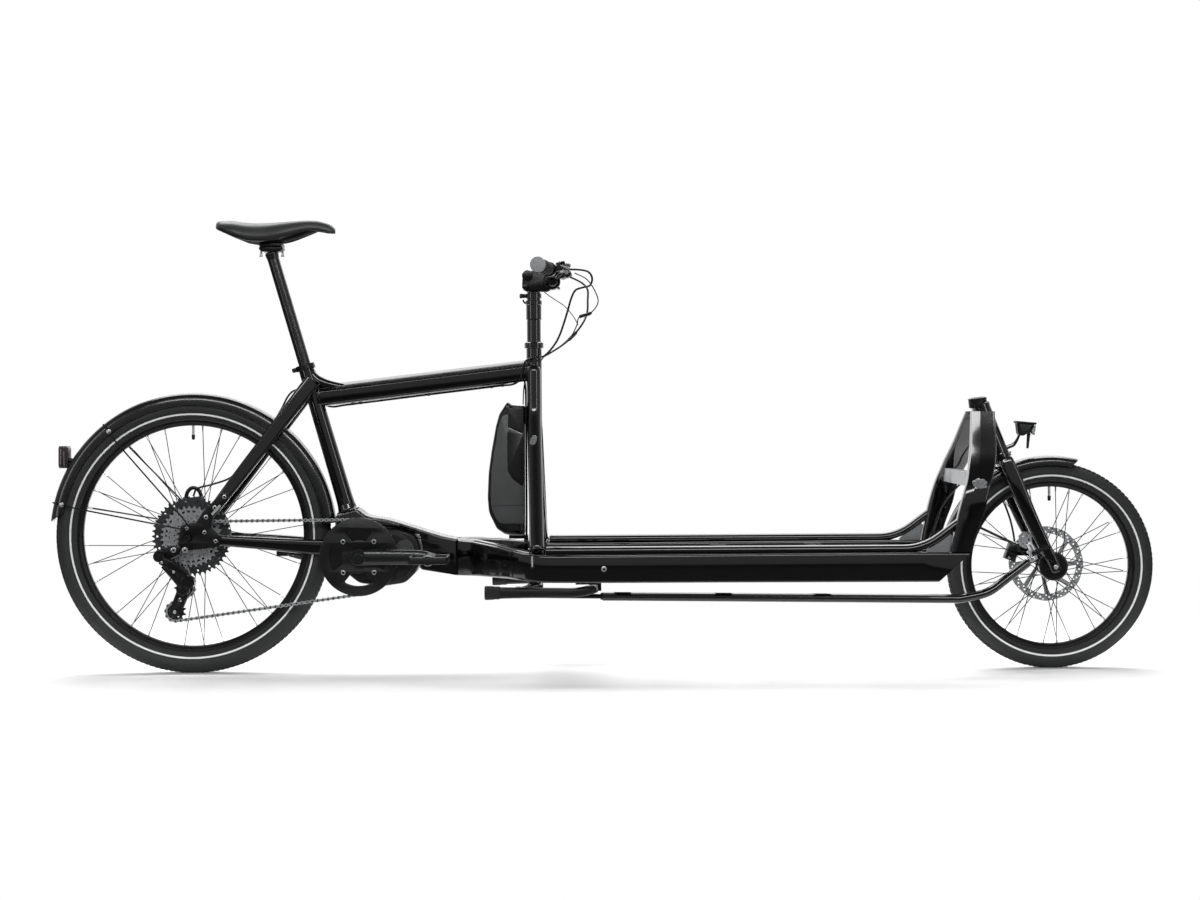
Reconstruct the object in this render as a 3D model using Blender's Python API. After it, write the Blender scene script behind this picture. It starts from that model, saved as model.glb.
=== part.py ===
"""Electric cargo bike: a long-john frame with a low deck between the rider and a small front wheel.

World frame in metres: +X is forward, -Y is the drive side, +Z is up. The ground is z = 0 and the
origin is at mid-length. The bike stands upright with its stand folded and its wheels straight.
"""
import bmesh
import bpy
from math import acos, asin, atan2, cos, hypot, pi, radians, sin, sqrt, tan
from mathutils import Matrix, Vector

# Clearances
GAP = 0.0003                    # between pieces that are welded, bolted or seated on each other
RUN = 0.0006                    # between pieces that turn or slide on each other
GUARD_GAP = 0.014               # from the rear tyre's tread to its guard's crown
FRONT_GUARD_GAP = 0.0165
GUARD_TO_TUBE = 0.0098          # from the rear guard to the seat tube
GUARD_TO_SHELL = 0.001          # from the rear guard to the shell over the motor
FLAT = radians(0.05)            # faces that turn less than this are one face

# Wheels: both stand on the ground, the rear one close behind the seat tube
REAR_TYRE_R = 0.330
REAR_TYRE_DEPTH = 0.0505        # from the tread to the rim's bead
REAR_BEAD_R = REAR_TYRE_R - REAR_TYRE_DEPTH
FRONT_TYRE_R = 0.247
FRONT_TYRE_DEPTH = 0.044
FRONT_BEAD_R = FRONT_TYRE_R - FRONT_TYRE_DEPTH
FRONT_TYRE_REAR_X = 0.832    # rearmost point of the front tyre
FRONT_HUB = Vector((FRONT_TYRE_REAR_X + FRONT_TYRE_R, 0.0, FRONT_TYRE_R))
GUARD_R = REAR_TYRE_R + GUARD_GAP
GUARD_WALL = 0.0022
STAY_WIRE_R = 0.0018
FRONT_GUARD_R = FRONT_TYRE_R + FRONT_GUARD_GAP
TYRE_WIDTH = 0.047
BEAD_HALF = 0.0118
HUB_TURN = radians(4.5)
RIM_TURN = radians(0.625)       # keeps the rim's facet edges off the spokes
RIM_WIDTH = 0.025
RIM_DEPTH = 0.0145
RIM_HOOK = 0.004                # the rim's wall stands this far into the tyre
SPOKES = 32
SPOKE_R = 0.0010
AXLE_R = 0.006
REAR_SPACING = 0.1434           # between the inner faces of the rear dropouts
ROTOR_THICK = 0.0018
REAR_ROTOR_R = 0.080
FRONT_ROTOR_R = 0.090
REAR_ROTOR_Y = 0.0565
FRONT_ROTOR_Y = 0.0400

# Seat tube, and the rear hub's place behind it
SEAT_TUBE_FOOT = Vector((-0.6095, 0.0, 0.386))
SEAT_TUBE_TOP = Vector((-0.7125, 0.0, 0.7400))
SEAT_TUBE_OD = 0.036
SEAT_TUBE_FOOT_R = 0.020
SEAT_TUBE_MID_R = 0.0195
SEAT_TUBE_LINE = (SEAT_TUBE_TOP - SEAT_TUBE_FOOT).normalized()
REAR_HUB_BEHIND = GUARD_R + GUARD_TO_TUBE + SEAT_TUBE_MID_R     # square to the seat tube's axis
REAR_HUB = Vector((SEAT_TUBE_FOOT.x - (REAR_HUB_BEHIND - (REAR_TYRE_R - SEAT_TUBE_FOOT.z) * SEAT_TUBE_LINE.x)
                   / SEAT_TUBE_LINE.z, 0.0, REAR_TYRE_R))

# Drive
BOTTOM_BRACKET = Vector((-0.579, 0.0, 0.280))
CRANK_LENGTH = 0.175
CHAIN_PITCH = 0.0127
CHAIN_Y = -0.053
RING_TEETH = 44
COG_TEETH = (46, 36, 27, 18, 13)
CHAIN_COG = 3
COG_SPACING = 0.0078
JOCKEY_TEETH = 11
GUIDE_JOCKEY = REAR_HUB + Vector((-0.012, CHAIN_Y, -0.121))
TENSION_JOCKEY = REAR_HUB + Vector((-0.035, CHAIN_Y, -0.178))
SPROCKET_THICK = 0.0018
PLATE_IN = 0.0013
PLATE_OUT_INNER = 0.0024
PLATE_OUT_OUTER = 0.0033
SPINDLE_R = 0.0095
PEDAL_LENGTH = 0.092
PEDAL_WIDTH = 0.098
PEDAL_THICK = 0.018

# Rear frame
SEAT_POST_OD = 0.0286
POST_IN_TUBE = 0.115            # length of the seat post inside the seat tube
TOP_TUBE_H = 0.052
TOP_TUBE_W = 0.040
TOP_TUBE_REAR_Z = 0.668
TOP_TUBE_FRONT_Z = 0.7245
STAY_OUT_Y = 0.0717
DROPOUT_THICK = 0.0063
SHELL_REAR_X = REAR_HUB.x + GUARD_R + GUARD_TO_SHELL    # rear face of the shell over the motor
SHELL_FRONT_X = -0.345          # front face, where the two deck beams start

# Steering
STEER_X = -0.160
HEAD_TUBE_OD = 0.037
COLUMN_OD = 0.0286
HEAD_TUBE_TOP_Z = 0.776
HEAD_TUBE_FOOT_Z = 0.585
LEG_OD = 0.034
HEAD_ANGLE = radians(68.5)
FORK_HEAD_OD = 0.046
STEERER_OD = 0.0286
FORK_HEAD_LENGTH = 0.138
CROWN_DROP = FORK_HEAD_LENGTH + 0.0085
CROWN_HALF = 0.0185
CROWN_TO_GUARD = 0.01184        # from the front guard up to the middle of the fork's crown
FORK_RAKE = 0.01225             # the front hub lies this far ahead of the steering axis
STEER_DOWN = Vector((cos(HEAD_ANGLE), 0.0, -sin(HEAD_ANGLE)))
STEER_AHEAD = Vector((sin(HEAD_ANGLE), 0.0, cos(HEAD_ANGLE)))
FORK_TOP = (FRONT_HUB - STEER_DOWN * (CROWN_DROP + CROWN_TO_GUARD + FRONT_GUARD_R)
            - STEER_AHEAD * FORK_RAKE)
ARM_Z = 0.2005
COLUMN_ARM = Vector((-0.038, -0.107))
ROD_FRONT = FRONT_HUB + Vector((-0.069, -0.112, 0.034))
ROD_OD = 0.021
ROD_Y = -0.142

# Deck
DECK_Y = 0.2125
BEAM_W = 0.034
BEAM_BOTTOM_Z = 0.230
BEAM_TOP_Z = 0.2935
RAIL_OD = 0.020
UPRIGHT_FOOT = Vector((0.803, 0.0, BEAM_TOP_Z + 0.0023))
DECK_FOOT_X = 0.774
DECK_NOSE_X = 0.850

# Lights
LAMP_ANGLE = radians(148.3)

# Looks: colour, roughness, metallic
GLOSS_PAINT = (0x0B0B0C, 0.12, 0.0)
ANODISED = (0x17181A, 0.35, 0.6)
RUBBER = (0x1B1C1E, 0.75, 0.0)
MOULDED = (0x1D1E20, 0.45, 0.0)
BRIGHT_STEEL = (0xB4B6B8, 0.30, 1.0)
ALUMINIUM = (0xC6C8CA, 0.35, 1.0)
BATTERY_GREY = (0x3A3C3E, 0.50, 0.0)
RED_LENS = (0x5A0D10, 0.25, 0.0)

# Cockpit and seat
STEM_TOP_Z = 0.963
STEM_FOOT_Z = 0.912
BAR_CENTRE = Vector((-0.116, 0.0, 0.937))
GRIP_END = Vector((-0.142, -0.310, 0.958))
BAR_OD = 0.022
GRIP_OD = 0.033
GRIP_LENGTH = 0.130
LEVER_AHEAD = Vector((1, 0, 0.12)).normalized()     # from the bar towards its levers
POST_HEAD = Vector((-0.790, 0.0, 1.006))
HOSE_OD = 0.005


def srgb(hex_colour):
    """Linear colour from an sRGB hex value."""
    values = []
    for shift in (16, 8, 0):
        c = ((hex_colour >> shift) & 255) / 255
        values.append(c / 12.92 if c <= 0.04045 else ((c + 0.055) / 1.055) ** 2.4)
    return (*values, 1.0)


def material(name, look):
    """A piece's own Principled finish from a (colour, roughness, metallic) look."""
    hex_colour, roughness, metallic = look
    finish = bpy.data.materials.new(name + "_finish")
    finish.use_nodes = True
    shader = finish.node_tree.nodes["Principled BSDF"]
    shader.inputs["Base Color"].default_value = srgb(hex_colour)
    shader.inputs["Roughness"].default_value = roughness
    shader.inputs["Metallic"].default_value = metallic
    return finish


# Mesh tools: each gives a closed bmesh, and build_piece makes the named object from one or more of them

def turned(profile, origin, axis, segments=24, turn=0.0):
    """Spin a closed (radius, height) outline round an axis through origin."""
    bm = bmesh.new()
    axis = Vector(axis).normalized()
    side = axis.orthogonal().normalized()
    side = Matrix.Rotation(turn, 3, axis) @ side
    origin = Vector(origin)
    verts = [bm.verts.new(origin + side * r + axis * h) for r, h in profile]
    edges = []
    for i, vert in enumerate(verts):
        other = verts[(i + 1) % len(verts)]
        on_axis = profile[i][0] < 1e-6 and profile[(i + 1) % len(verts)][0] < 1e-6
        if not on_axis:
            edges.append(bm.edges.new((vert, other)))
    bmesh.ops.spin(bm, geom=edges, cent=origin, axis=axis, angle=2 * pi, steps=segments, use_merge=True)
    bmesh.ops.remove_doubles(bm, verts=bm.verts, dist=1e-6)
    return finished(bm)


def finished(bm):
    """Faces outwards on a closed mesh."""
    bmesh.ops.recalc_face_normals(bm, faces=bm.faces)
    if bm.calc_volume(signed=True) < 0:
        bmesh.ops.reverse_faces(bm, faces=bm.faces)
    return bm


def lofted(rings, closed=False):
    """Skin rings of equally many points one after another, with flat ends unless it closes on itself."""
    bm = bmesh.new()
    loops = [[bm.verts.new(p) for p in ring] for ring in rings]
    count = len(loops)
    for i in range(count if closed else count - 1):
        a, b = loops[i], loops[(i + 1) % count]
        for j in range(len(a)):
            k = (j + 1) % len(a)
            bm.faces.new((a[j], a[k], b[k], b[j]))
    if not closed:
        bm.faces.new(loops[0])
        bm.faces.new(list(reversed(loops[-1])))
    return finished(bm)


def extruded(outline, y_from, y_to):
    """Raise an (x, z) outline from one y to another."""
    bm = bmesh.new()
    face = bm.faces.new([bm.verts.new((x, y_from, z)) for x, z in outline])
    moved = bmesh.ops.extrude_face_region(bm, geom=[face])
    raised = [v for v in moved["geom"] if isinstance(v, bmesh.types.BMVert)]
    bmesh.ops.translate(bm, verts=raised, vec=(0.0, y_to - y_from, 0.0))
    return finished(bm)


def slab(outline, z_from, z_to):
    """Raise an (x, y) outline from one z to another."""
    return lofted([[(x, y, z) for x, y in outline] for z in (z_from, z_to)])


def block(low, high):
    """A box between two corners."""
    return slab([(low[0], low[1]), (high[0], low[1]), (high[0], high[1]), (low[0], high[1])], low[2], high[2])


def ring_points(centre, direction, radius, sides, turn=0.0, side=None):
    """Points round a circle square to a direction."""
    direction = Vector(direction).normalized()
    side = (side or direction.orthogonal()).normalized()
    other = direction.cross(side).normalized()
    angles = [turn + 2 * pi * i / sides for i in range(sides)]
    return [Vector(centre) + (side * cos(a) + other * sin(a)) * radius for a in angles]


def rod(start, end, radius, sides=12, end_radius=None):
    """A straight round bar, or a cone when its end has another radius."""
    start, end = Vector(start), Vector(end)
    along = end - start
    far = radius if end_radius is None else end_radius
    side = along.orthogonal()
    return lofted([ring_points(start, along, radius, sides, pi / sides, side),
                   ring_points(end, along, far, sides, pi / sides, side)])


def hollow(start, end, radius, bore, sides=16):
    """A straight round tube, open at both ends."""
    start, end = Vector(start), Vector(end)
    length = (end - start).length
    return turned([(bore, 0.0), (radius, 0.0), (radius, length), (bore, length)], start, end - start, sides)


def rounded_path(points, radius, steps=4):
    """Points of a path whose inner corners are arcs of the given radius."""
    points = [Vector(p) for p in points]
    path = [points[0]]
    for before, corner, after in zip(points, points[1:], points[2:]):
        a, b = (before - corner).normalized(), (after - corner).normalized()
        half = acos(max(-1.0, min(1.0, a.dot(b)))) / 2
        reach = min(radius / tan(half), 0.45 * (before - corner).length, 0.45 * (after - corner).length)
        r = reach * tan(half)
        middle = corner + (a + b).normalized() * (r / sin(half))
        first = corner + a * reach - middle
        last = corner + b * reach - middle
        sweep = first.angle(last)
        for i in range(steps + 1):
            t = i / steps
            arm = (first * sin((1 - t) * sweep) + last * sin(t * sweep)) / sin(sweep)
            path.append(middle + arm)
    path.append(points[-1])
    return path


def swept(path, section, up=(0.0, 0.0, 1.0)):
    """Carry a section along a path; section(i, t) gives its (side, up) points at each stop."""
    path = [Vector(p) for p in path]
    rings = []
    last = len(path) - 1
    for i, point in enumerate(path):
        along = (path[min(i + 1, last)] - path[max(i - 1, 0)]).normalized()
        side = along.cross(Vector(up)).normalized()
        top = side.cross(along).normalized()
        rings.append([point + side * s + top * h for s, h in section(i, i / last)])
    return lofted(rings)


def round_section(radius, sides):
    """A section function for a round tube."""
    points = [(radius * cos(2 * pi * (j + 0.5) / sides), radius * sin(2 * pi * (j + 0.5) / sides))
              for j in range(sides)]
    return lambda i, t: points


def pipe(path, radius, sides=8, up=(0.0, 0.0, 1.0)):
    """A round bar along a path."""
    return swept(path, round_section(radius, sides), up)


def soft_box(half_w, half_h, corner):
    """The eight points of a rectangle with cut corners."""
    w, h, c = half_w, half_h, corner
    return [(w, -h + c), (w, h - c), (w - c, h), (-w + c, h), (-w, h - c), (-w, -h + c), (-w + c, -h),
            (w - c, -h)]


def tapered_box(sizes, corner):
    """A section function for a cut-corner box whose half sizes are read between (t, half_w, half_h) stops."""
    def section(i, t):
        for (t0, w0, h0), (t1, w1, h1) in zip(sizes, sizes[1:]):
            if t <= t1:
                k = (t - t0) / (t1 - t0)
                return soft_box(w0 + (w1 - w0) * k, h0 + (h1 - h0) * k, corner)
        return soft_box(sizes[-1][1], sizes[-1][2], corner)
    return section


def arc(centre, radius, start, end, steps):
    """(x, z) points of an arc between two angles in radians."""
    return [(centre[0] + radius * cos(start + (end - start) * i / steps),
             centre[1] + radius * sin(start + (end - start) * i / steps)) for i in range(steps + 1)]


def object_from(bm, name):
    """Hand a bmesh over to a new object in the scene."""
    mesh = bpy.data.meshes.new(name)
    bm.to_mesh(mesh)
    bm.free()
    obj = bpy.data.objects.new(name, mesh)
    bpy.context.scene.collection.objects.link(obj)
    return obj


def weld(mesh):
    """Merge the doubled points that a Boolean leaves and drop faces without area."""
    bm = bmesh.new()
    bm.from_mesh(mesh)
    bmesh.ops.remove_doubles(bm, verts=bm.verts, dist=2e-6)
    bmesh.ops.dissolve_degenerate(bm, edges=bm.edges, dist=2e-6)
    bmesh.ops.triangulate(bm, faces=[f for f in bm.faces if len(f.verts) > 4])
    bm.to_mesh(mesh)
    bm.free()


def combined(obj, tools, operation):
    """Run Boolean modifiers with each tool in turn and keep the result as the object's mesh."""
    for tool in tools:
        cutter = object_from(tool, "tool")
        modifier = obj.modifiers.new("combine", "BOOLEAN")
        modifier.operation = operation
        modifier.solver = "EXACT"
        modifier.object = cutter
        graph = bpy.context.evaluated_depsgraph_get()
        result = bpy.data.meshes.new_from_object(obj.evaluated_get(graph))
        obj.modifiers.clear()
        obj.data = result
        bpy.data.objects.remove(cutter)
        weld(result)


def build_piece(name, finish, solids, cuts=(), pivot=None, smooth=35):
    """Fuse solids, cut holes, and name, finish and place the piece with its origin on its pivot."""
    obj = object_from(solids[0], name)
    combined(obj, solids[1:], "UNION")
    combined(obj, cuts, "DIFFERENCE")
    mesh = obj.data
    bm = bmesh.new()
    bm.from_mesh(mesh)
    bmesh.ops.dissolve_limit(bm, angle_limit=FLAT, verts=bm.verts, edges=bm.edges)
    bmesh.ops.triangulate(bm, faces=[f for f in bm.faces if len(f.verts) > 4])
    if pivot is not None:
        bmesh.ops.translate(bm, verts=bm.verts, vec=-Vector(pivot))
        obj.location = pivot
    bm.to_mesh(mesh)
    bm.free()
    mesh.name = name
    mesh.materials.clear()
    mesh.materials.append(material(name, finish))
    mesh.shade_smooth()
    mesh.set_sharp_from_angle(angle=radians(smooth))
    return obj


def carry(parent, children):
    """Let pieces follow the piece that carries them, where they are."""
    bpy.context.view_layer.update()
    for child in children:
        child.parent = parent
        child.matrix_parent_inverse = parent.matrix_world.inverted()


# Wheels

def tyre(name, hub, radius, bead, segments, finish):
    """A tyre with a crowned tread, full side walls and its beads on the rim."""
    half = TYRE_WIDTH / 2
    seat = bead + RIM_HOOK
    wall, shoulder, tread_half = radius - 0.0250, radius - 0.0055, 0.0140
    profile = [(seat, -BEAD_HALF), (seat, BEAD_HALF), (wall, half), (shoulder, tread_half), (radius, 0.0),
               (shoulder, -tread_half), (wall, -half)]
    return build_piece(name, finish, [turned(profile, hub, (0, 1, 0), segments, RIM_TURN)], pivot=hub)


def rim(hub, bead, segments):
    """The rim's box section."""
    seat = bead + RIM_HOOK - GAP
    half, well_half, lip = RIM_WIDTH / 2, RIM_WIDTH / 5, bead - 0.002
    profile = [(seat, -BEAD_HALF), (seat, BEAD_HALF), (lip, half), (bead - RIM_DEPTH, well_half),
               (bead - RIM_DEPTH, -well_half), (lip, -half)]
    return turned(profile, hub, (0, 1, 0), segments, RIM_TURN)


def laced_spokes(hub, flange_r, flanges, rim_r, crossings):
    """Tangent spokes: each flange sends alternate spokes forward and back, crossing three others."""
    per_flange = SPOKES // 2
    step = 2 * pi / per_flange
    swing = crossings * step
    spokes = []
    for side, flange_y in enumerate(flanges):
        for j in range(per_flange):
            lead = 1 if j % 2 else -1
            start = (j + side / 2) * step
            finish = start + lead * swing
            apart = lead * SPOKE_R * 1.15
            at_rim = 0.002 if flange_y > 0 else -0.002
            inner = Vector((flange_r * cos(start), flange_y + apart, flange_r * sin(start)))
            outer = Vector((rim_r * cos(finish), at_rim + apart, rim_r * sin(finish)))
            along = outer - inner
            across = Vector((0, 1, 0)).cross(along)
            spokes.append(lofted([ring_points(hub + end, along, SPOKE_R, 3, pi / 3,
                                              across) for end in (inner, outer)]))
    return spokes


def wheel(name, hub, bead, segments, hub_profile, flange_r, flanges, finish):
    """Rim, hub shell and laced spokes."""
    solids = [rim(hub, bead, segments)]
    solids.append(turned(hub_profile, hub, (0, 1, 0), 12, HUB_TURN))
    solids += laced_spokes(hub, flange_r - 0.003, flanges, bead - RIM_DEPTH + 0.003, 3)
    return build_wheel(name, finish, solids, hub)


def build_wheel(name, finish, solids, hub):
    """Join hub and spokes in one set, so that one Boolean makes the wheel a single solid."""
    ring, shell, *spokes = solids
    laced = bmesh.new()
    for spoke in spokes:
        mesh = bpy.data.meshes.new("spoke")
        spoke.to_mesh(mesh)
        laced.from_mesh(mesh)
        bpy.data.meshes.remove(mesh)
        spoke.free()
    return build_piece(name, finish, [laced, shell, ring], pivot=hub)


def rotor(name, hub, y, radius, inner, count, finish):
    """A brake disc: braking band, swept arms and carrier ring."""
    half = ROTOR_THICK / 2
    centre = hub + Vector((0, y, 0))
    disc = turned([(inner, -half), (radius, -half), (radius, half), (inner, half)], centre, (0, 1, 0), 24)
    windows = []
    for i in range(count):
        start = 2 * pi * i / count
        r_in, r_out = inner + 0.009, radius - 0.017
        outline = [(hub.x + r * cos(a), hub.z + r * sin(a)) for r, a in (
            (r_in, start + 0.30), (r_out, start + 0.02), (r_out, start + 0.78), (r_in, start + 1.03))]
        windows.append(extruded(outline, hub.y + y - 0.003, hub.y + y + 0.003))
    return build_piece(name, finish, [disc], windows, pivot=hub)


# Chain and sprockets

def pitch_radius(teeth):
    """Radius of the circle through the chain pins on a sprocket."""
    return CHAIN_PITCH / (2 * sin(pi / teeth))


def sprocket(centre, teeth, y, thickness, phase=0.0):
    """A toothed disc with pointed teeth between the chain's rollers."""
    r = pitch_radius(teeth)
    outline = []
    for i in range(teeth):
        a = phase + 2 * pi * i / teeth
        outline.append((centre.x + (r - 0.0036) * cos(a), centre.z + (r - 0.0036) * sin(a)))
        a += pi / teeth
        outline.append((centre.x + (r + 0.0030) * cos(a), centre.z + (r + 0.0030) * sin(a)))
    return extruded(outline, y - thickness / 2, y + thickness / 2)


def chain_circles():
    """Centre, radius and turning sense of each wheel that the chain runs on, in the chain's order."""
    ring_r = pitch_radius(RING_TEETH)
    cog_r = pitch_radius(COG_TEETH[CHAIN_COG])
    jockey_r = pitch_radius(JOCKEY_TEETH)
    return [(BOTTOM_BRACKET, ring_r, 1), (REAR_HUB, cog_r, 1), (GUIDE_JOCKEY, jockey_r, -1),
            (TENSION_JOCKEY, jockey_r, 1)]


def chain_path():
    """Arcs round the wheels and straight runs between them: (kind, start, end, centre, radius, angles)."""
    circles = chain_circles()
    runs = []
    for (c1, r1, s1), (c2, r2, s2) in zip(circles, circles[1:] + circles[:1]):
        dx, dz = c2.x - c1.x, c2.z - c1.z
        heading = atan2(dz, dx) + asin((r1 * s1 - r2 * s2) / hypot(dx, dz))
        m = Vector((sin(heading), 0, -cos(heading)))
        runs.append((Vector((c1.x, 0, c1.z)) + m * (r1 * s1), Vector((c2.x, 0, c2.z)) + m * (r2 * s2)))
    path = []
    for i, (centre, r, sense) in enumerate(circles):
        arrive, leave = runs[i - 1][1], runs[i][0]
        a0 = atan2(arrive.z - centre.z, arrive.x - centre.x)
        a1 = atan2(leave.z - centre.z, leave.x - centre.x)
        sweep = (a1 - a0) * sense % (2 * pi)
        path.append(("arc", r * sweep, centre, r, a0, sense))
        path.append(("line", (runs[i][1] - runs[i][0]).length, runs[i][0], runs[i][1]))
    return path


def chain_stop(path, distance):
    """Point, direction and reach into the nearest toothed wheel's zone at a distance along the chain."""
    total = sum(part[1] for part in path)
    distance %= total
    for i, part in enumerate(path):
        if distance <= part[1]:
            break
        distance -= part[1]
    if part[0] == "arc":
        _, _, centre, r, a0, sense = part
        a = a0 + sense * distance / r
        point = Vector((centre.x + r * cos(a), 0, centre.z + r * sin(a)))
        return point, Vector((-sin(a) * sense, 0, cos(a) * sense)), True
    _, length, start, end = part
    along = (end - start).normalized()
    before = path[i - 1][3]
    after = path[(i + 1) % len(path)][3]
    on_teeth = distance < tooth_reach(before) or length - distance < tooth_reach(after)
    return start + along * distance, along, on_teeth


def tooth_reach(r):
    """How far past its tangent point a sprocket's teeth still stand between the chain's plates."""
    return sqrt((r + 0.0038) ** 2 - (r - 0.0044) ** 2)


def chain_solids():
    """Link plates: two plain rows where teeth pass between, one bar with a waist at mid-pitch elsewhere."""
    path = chain_path()
    total = sum(part[1] for part in path)
    pins = 2 * round(total / CHAIN_PITCH / 2)
    half_pitch = total / (2 * pins)
    near_teeth = [chain_stop(path, half_pitch * i)[2] for i in range(2 * pins)]
    shortest = 6
    toothed = [any(near_teeth[(i + k) % (2 * pins)] for k in range(shortest))
               and any(near_teeth[i - k] for k in range(shortest)) for i in range(2 * pins)]
    first = next(i for i in range(2 * pins) if toothed[i] and not toothed[i - 1])
    order = [(first + i) % (2 * pins) for i in range(2 * pins)]
    stretches = []
    for i in order:
        if not stretches or toothed[i] != stretches[-1][0]:
            stretches.append((toothed[i], []))
        stretches[-1][1].append(i)
    solids = []
    for on_teeth, indices in stretches:
        if on_teeth:
            seen = [i for i in indices if i % 2 == 0 and (i % 4 == 0 or not under_guard(path,
                                                                                        half_pitch * i))]
            reach = [indices[0] - 1.4, indices[0] - 1] + seen + [indices[-1] + 1, indices[-1] + 1.4]
            for side in (-1, 1):
                solids.append(link_bar(path, half_pitch, reach, lambda w: (side * PLATE_IN, side * w), 0.0))
        else:
            reach = [indices[0] - 0.5] + indices + [indices[-1] + 0.5]
            solids.append(link_bar(path, half_pitch, reach, lambda w: (-w + 0.0002, w - 0.0002), 0.0003))
    return solids


def under_guard(path, distance):
    """Whether this stop of the chain lies on the chainring."""
    point, _, _ = chain_stop(path, distance)
    return hypot(point.x - BOTTOM_BRACKET.x, point.z - BOTTOM_BRACKET.z) < pitch_radius(RING_TEETH) + 0.001


def link_bar(path, half_pitch, positions, edges, shy):
    """One bar of link plates through the given positions, counted in half pitches."""
    rings = []
    for i in positions:
        point, along, _ = chain_stop(path, half_pitch * i)
        normal = Vector((-along.z, 0, along.x))
        half_h = (0.0042 if i % 2 == 0 else 0.0027) - shy
        wide = PLATE_OUT_OUTER if i % 4 != 3 else PLATE_OUT_INNER
        low, high = edges(wide)
        base = Vector((point.x, CHAIN_Y, point.z))
        rings.append([base + Vector((0, low, 0)) - normal * half_h,
                      base + Vector((0, high, 0)) - normal * half_h,
                      base + Vector((0, high, 0)) + normal * half_h,
                      base + Vector((0, low, 0)) + normal * half_h])
    return lofted(rings)


# Frame

def tube_cut(start, end, radius):
    """A long rod a gap larger than the tube that a neighbour is mitred to."""
    return rod(start, end, radius + 2 * GAP, 16)


def seat_tube(finish):
    """Tapered seat tube, bored for the seat post."""
    axis = SEAT_TUBE_TOP - SEAT_TUBE_FOOT
    bore = SEAT_POST_OD / 2 + RUN
    profile = [(bore, 0.0), (SEAT_TUBE_FOOT_R, 0.0), (SEAT_TUBE_MID_R, 0.12), (SEAT_TUBE_OD / 2, axis.length),
               (bore, axis.length)]
    return build_piece("seat_tube", finish, [turned(profile, SEAT_TUBE_FOOT, axis, 16)])


def seat_tube_point(z):
    """Point of the seat tube's axis at a height."""
    axis = SEAT_TUBE_TOP - SEAT_TUBE_FOOT
    return SEAT_TUBE_FOOT + axis * ((z - SEAT_TUBE_FOOT.z) / axis.z)


def seat_tube_solid(extra):
    """The seat tube's outside, grown by a gap, for cutting its neighbours."""
    longer = SEAT_TUBE_LINE * 0.02
    return rod(SEAT_TUBE_FOOT - longer, SEAT_TUBE_TOP + longer, SEAT_TUBE_FOOT_R + GAP + extra, 16,
               SEAT_TUBE_OD / 2 + extra)


def seat_collar(finish):
    """Clamp ring round the seat tube's top with its bolt ears at the back."""
    axis = SEAT_TUBE_LINE
    foot = SEAT_TUBE_TOP - axis * 0.013
    bore = SEAT_TUBE_OD / 2 + 2 * GAP + 0.0002
    ring = turned([(bore, 0.0), (0.0225, 0.0), (0.0225, 0.0128), (bore, 0.0128)], foot, axis, 16)
    back = Vector((-axis.z, 0, axis.x))
    ears = swept([foot + back * 0.0205 + axis * 0.0065, foot + back * 0.0315 + axis * 0.0065],
                 lambda i, t: soft_box(0.0085, 0.0055, 0.0015))
    bolt = rod(foot + back * 0.027 + axis * 0.0065 + Vector((0, -0.0125, 0)),
               foot + back * 0.027 + axis * 0.0065 + Vector((0, 0.0125, 0)), 0.0036, 8)
    slot = swept([foot + back * 0.012 + axis * 0.006, foot + back * 0.0235 + axis * 0.006],
                 lambda i, t: soft_box(0.0008, 0.012, 0.0002))
    return build_piece("seat_collar", finish, [ring, ears, bolt], [slot])


def top_tube_ends():
    """Rear and front end of the top tube's axis, inside the tubes that it is mitred to."""
    rear = Vector((seat_tube_point(TOP_TUBE_REAR_Z).x + 0.004, 0, TOP_TUBE_REAR_Z - 0.005))
    return rear, Vector((STEER_X - 0.004, 0, TOP_TUBE_FRONT_Z))


def top_tube_body(grow):
    """The top tube's outside, grown by a gap where it cuts its neighbours."""
    rear, front = top_tube_ends()
    half_w, half_h = TOP_TUBE_W / 2 + grow, TOP_TUBE_H / 2 + grow
    longer = (front - rear).normalized() * grow
    return swept([rear - longer, front + longer], lambda i, t: soft_box(half_w, half_h, 0.013))


def top_tube(finish):
    """Top tube with rounded flanks, its gusset on the seat tube and cable guides below."""
    rear, front = top_tube_ends()
    body = top_tube_body(0.0)
    gusset = pipe(rounded_path([(-0.700, 0, 0.7190), (-0.655, 0, 0.692), (-0.600, 0, 0.686)], 0.08, 3),
                  0.013, 8,
                  (0, 1, 0))
    along = (front - rear).normalized()
    under = Vector((along.z, 0, -along.x)) * (TOP_TUBE_H / 2)
    guides = []
    for x in (-0.600, -0.583, -0.418, -0.266, -0.240):
        at = rear + along * ((x - rear.x) / along.x) + under
        guides.append(rod(at - Vector((0, 0.006, 0)), at + Vector((0, 0.006, 0)), 0.0045, 6))
    leg_line = [Vector((STEER_X, 0.0362 * side, z)) for side in (-1, 1) for z in (0.6, 0.8)]
    cuts = [seat_tube_solid(GAP), tube_cut((STEER_X, 0, 0.5), (STEER_X, 0, 0.9), HEAD_TUBE_OD / 2),
            tube_cut(leg_line[0], leg_line[1], LEG_OD / 2), tube_cut(leg_line[2], leg_line[3], LEG_OD / 2)]
    return build_piece("top_tube", finish, [body, gusset] + guides, cuts)


def head_tube(finish):
    """Upper bearing tube of the steering column with the battery's latch block on its back."""
    tube = hollow((STEER_X, 0, HEAD_TUBE_FOOT_Z), (STEER_X, 0, HEAD_TUBE_TOP_Z), HEAD_TUBE_OD / 2,
                  COLUMN_OD / 2 + RUN, 16)
    latch = block((-0.1836, -0.020, 0.594), (-0.1765, 0.020, 0.636))
    return build_piece("head_tube", finish, [tube, latch])


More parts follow.
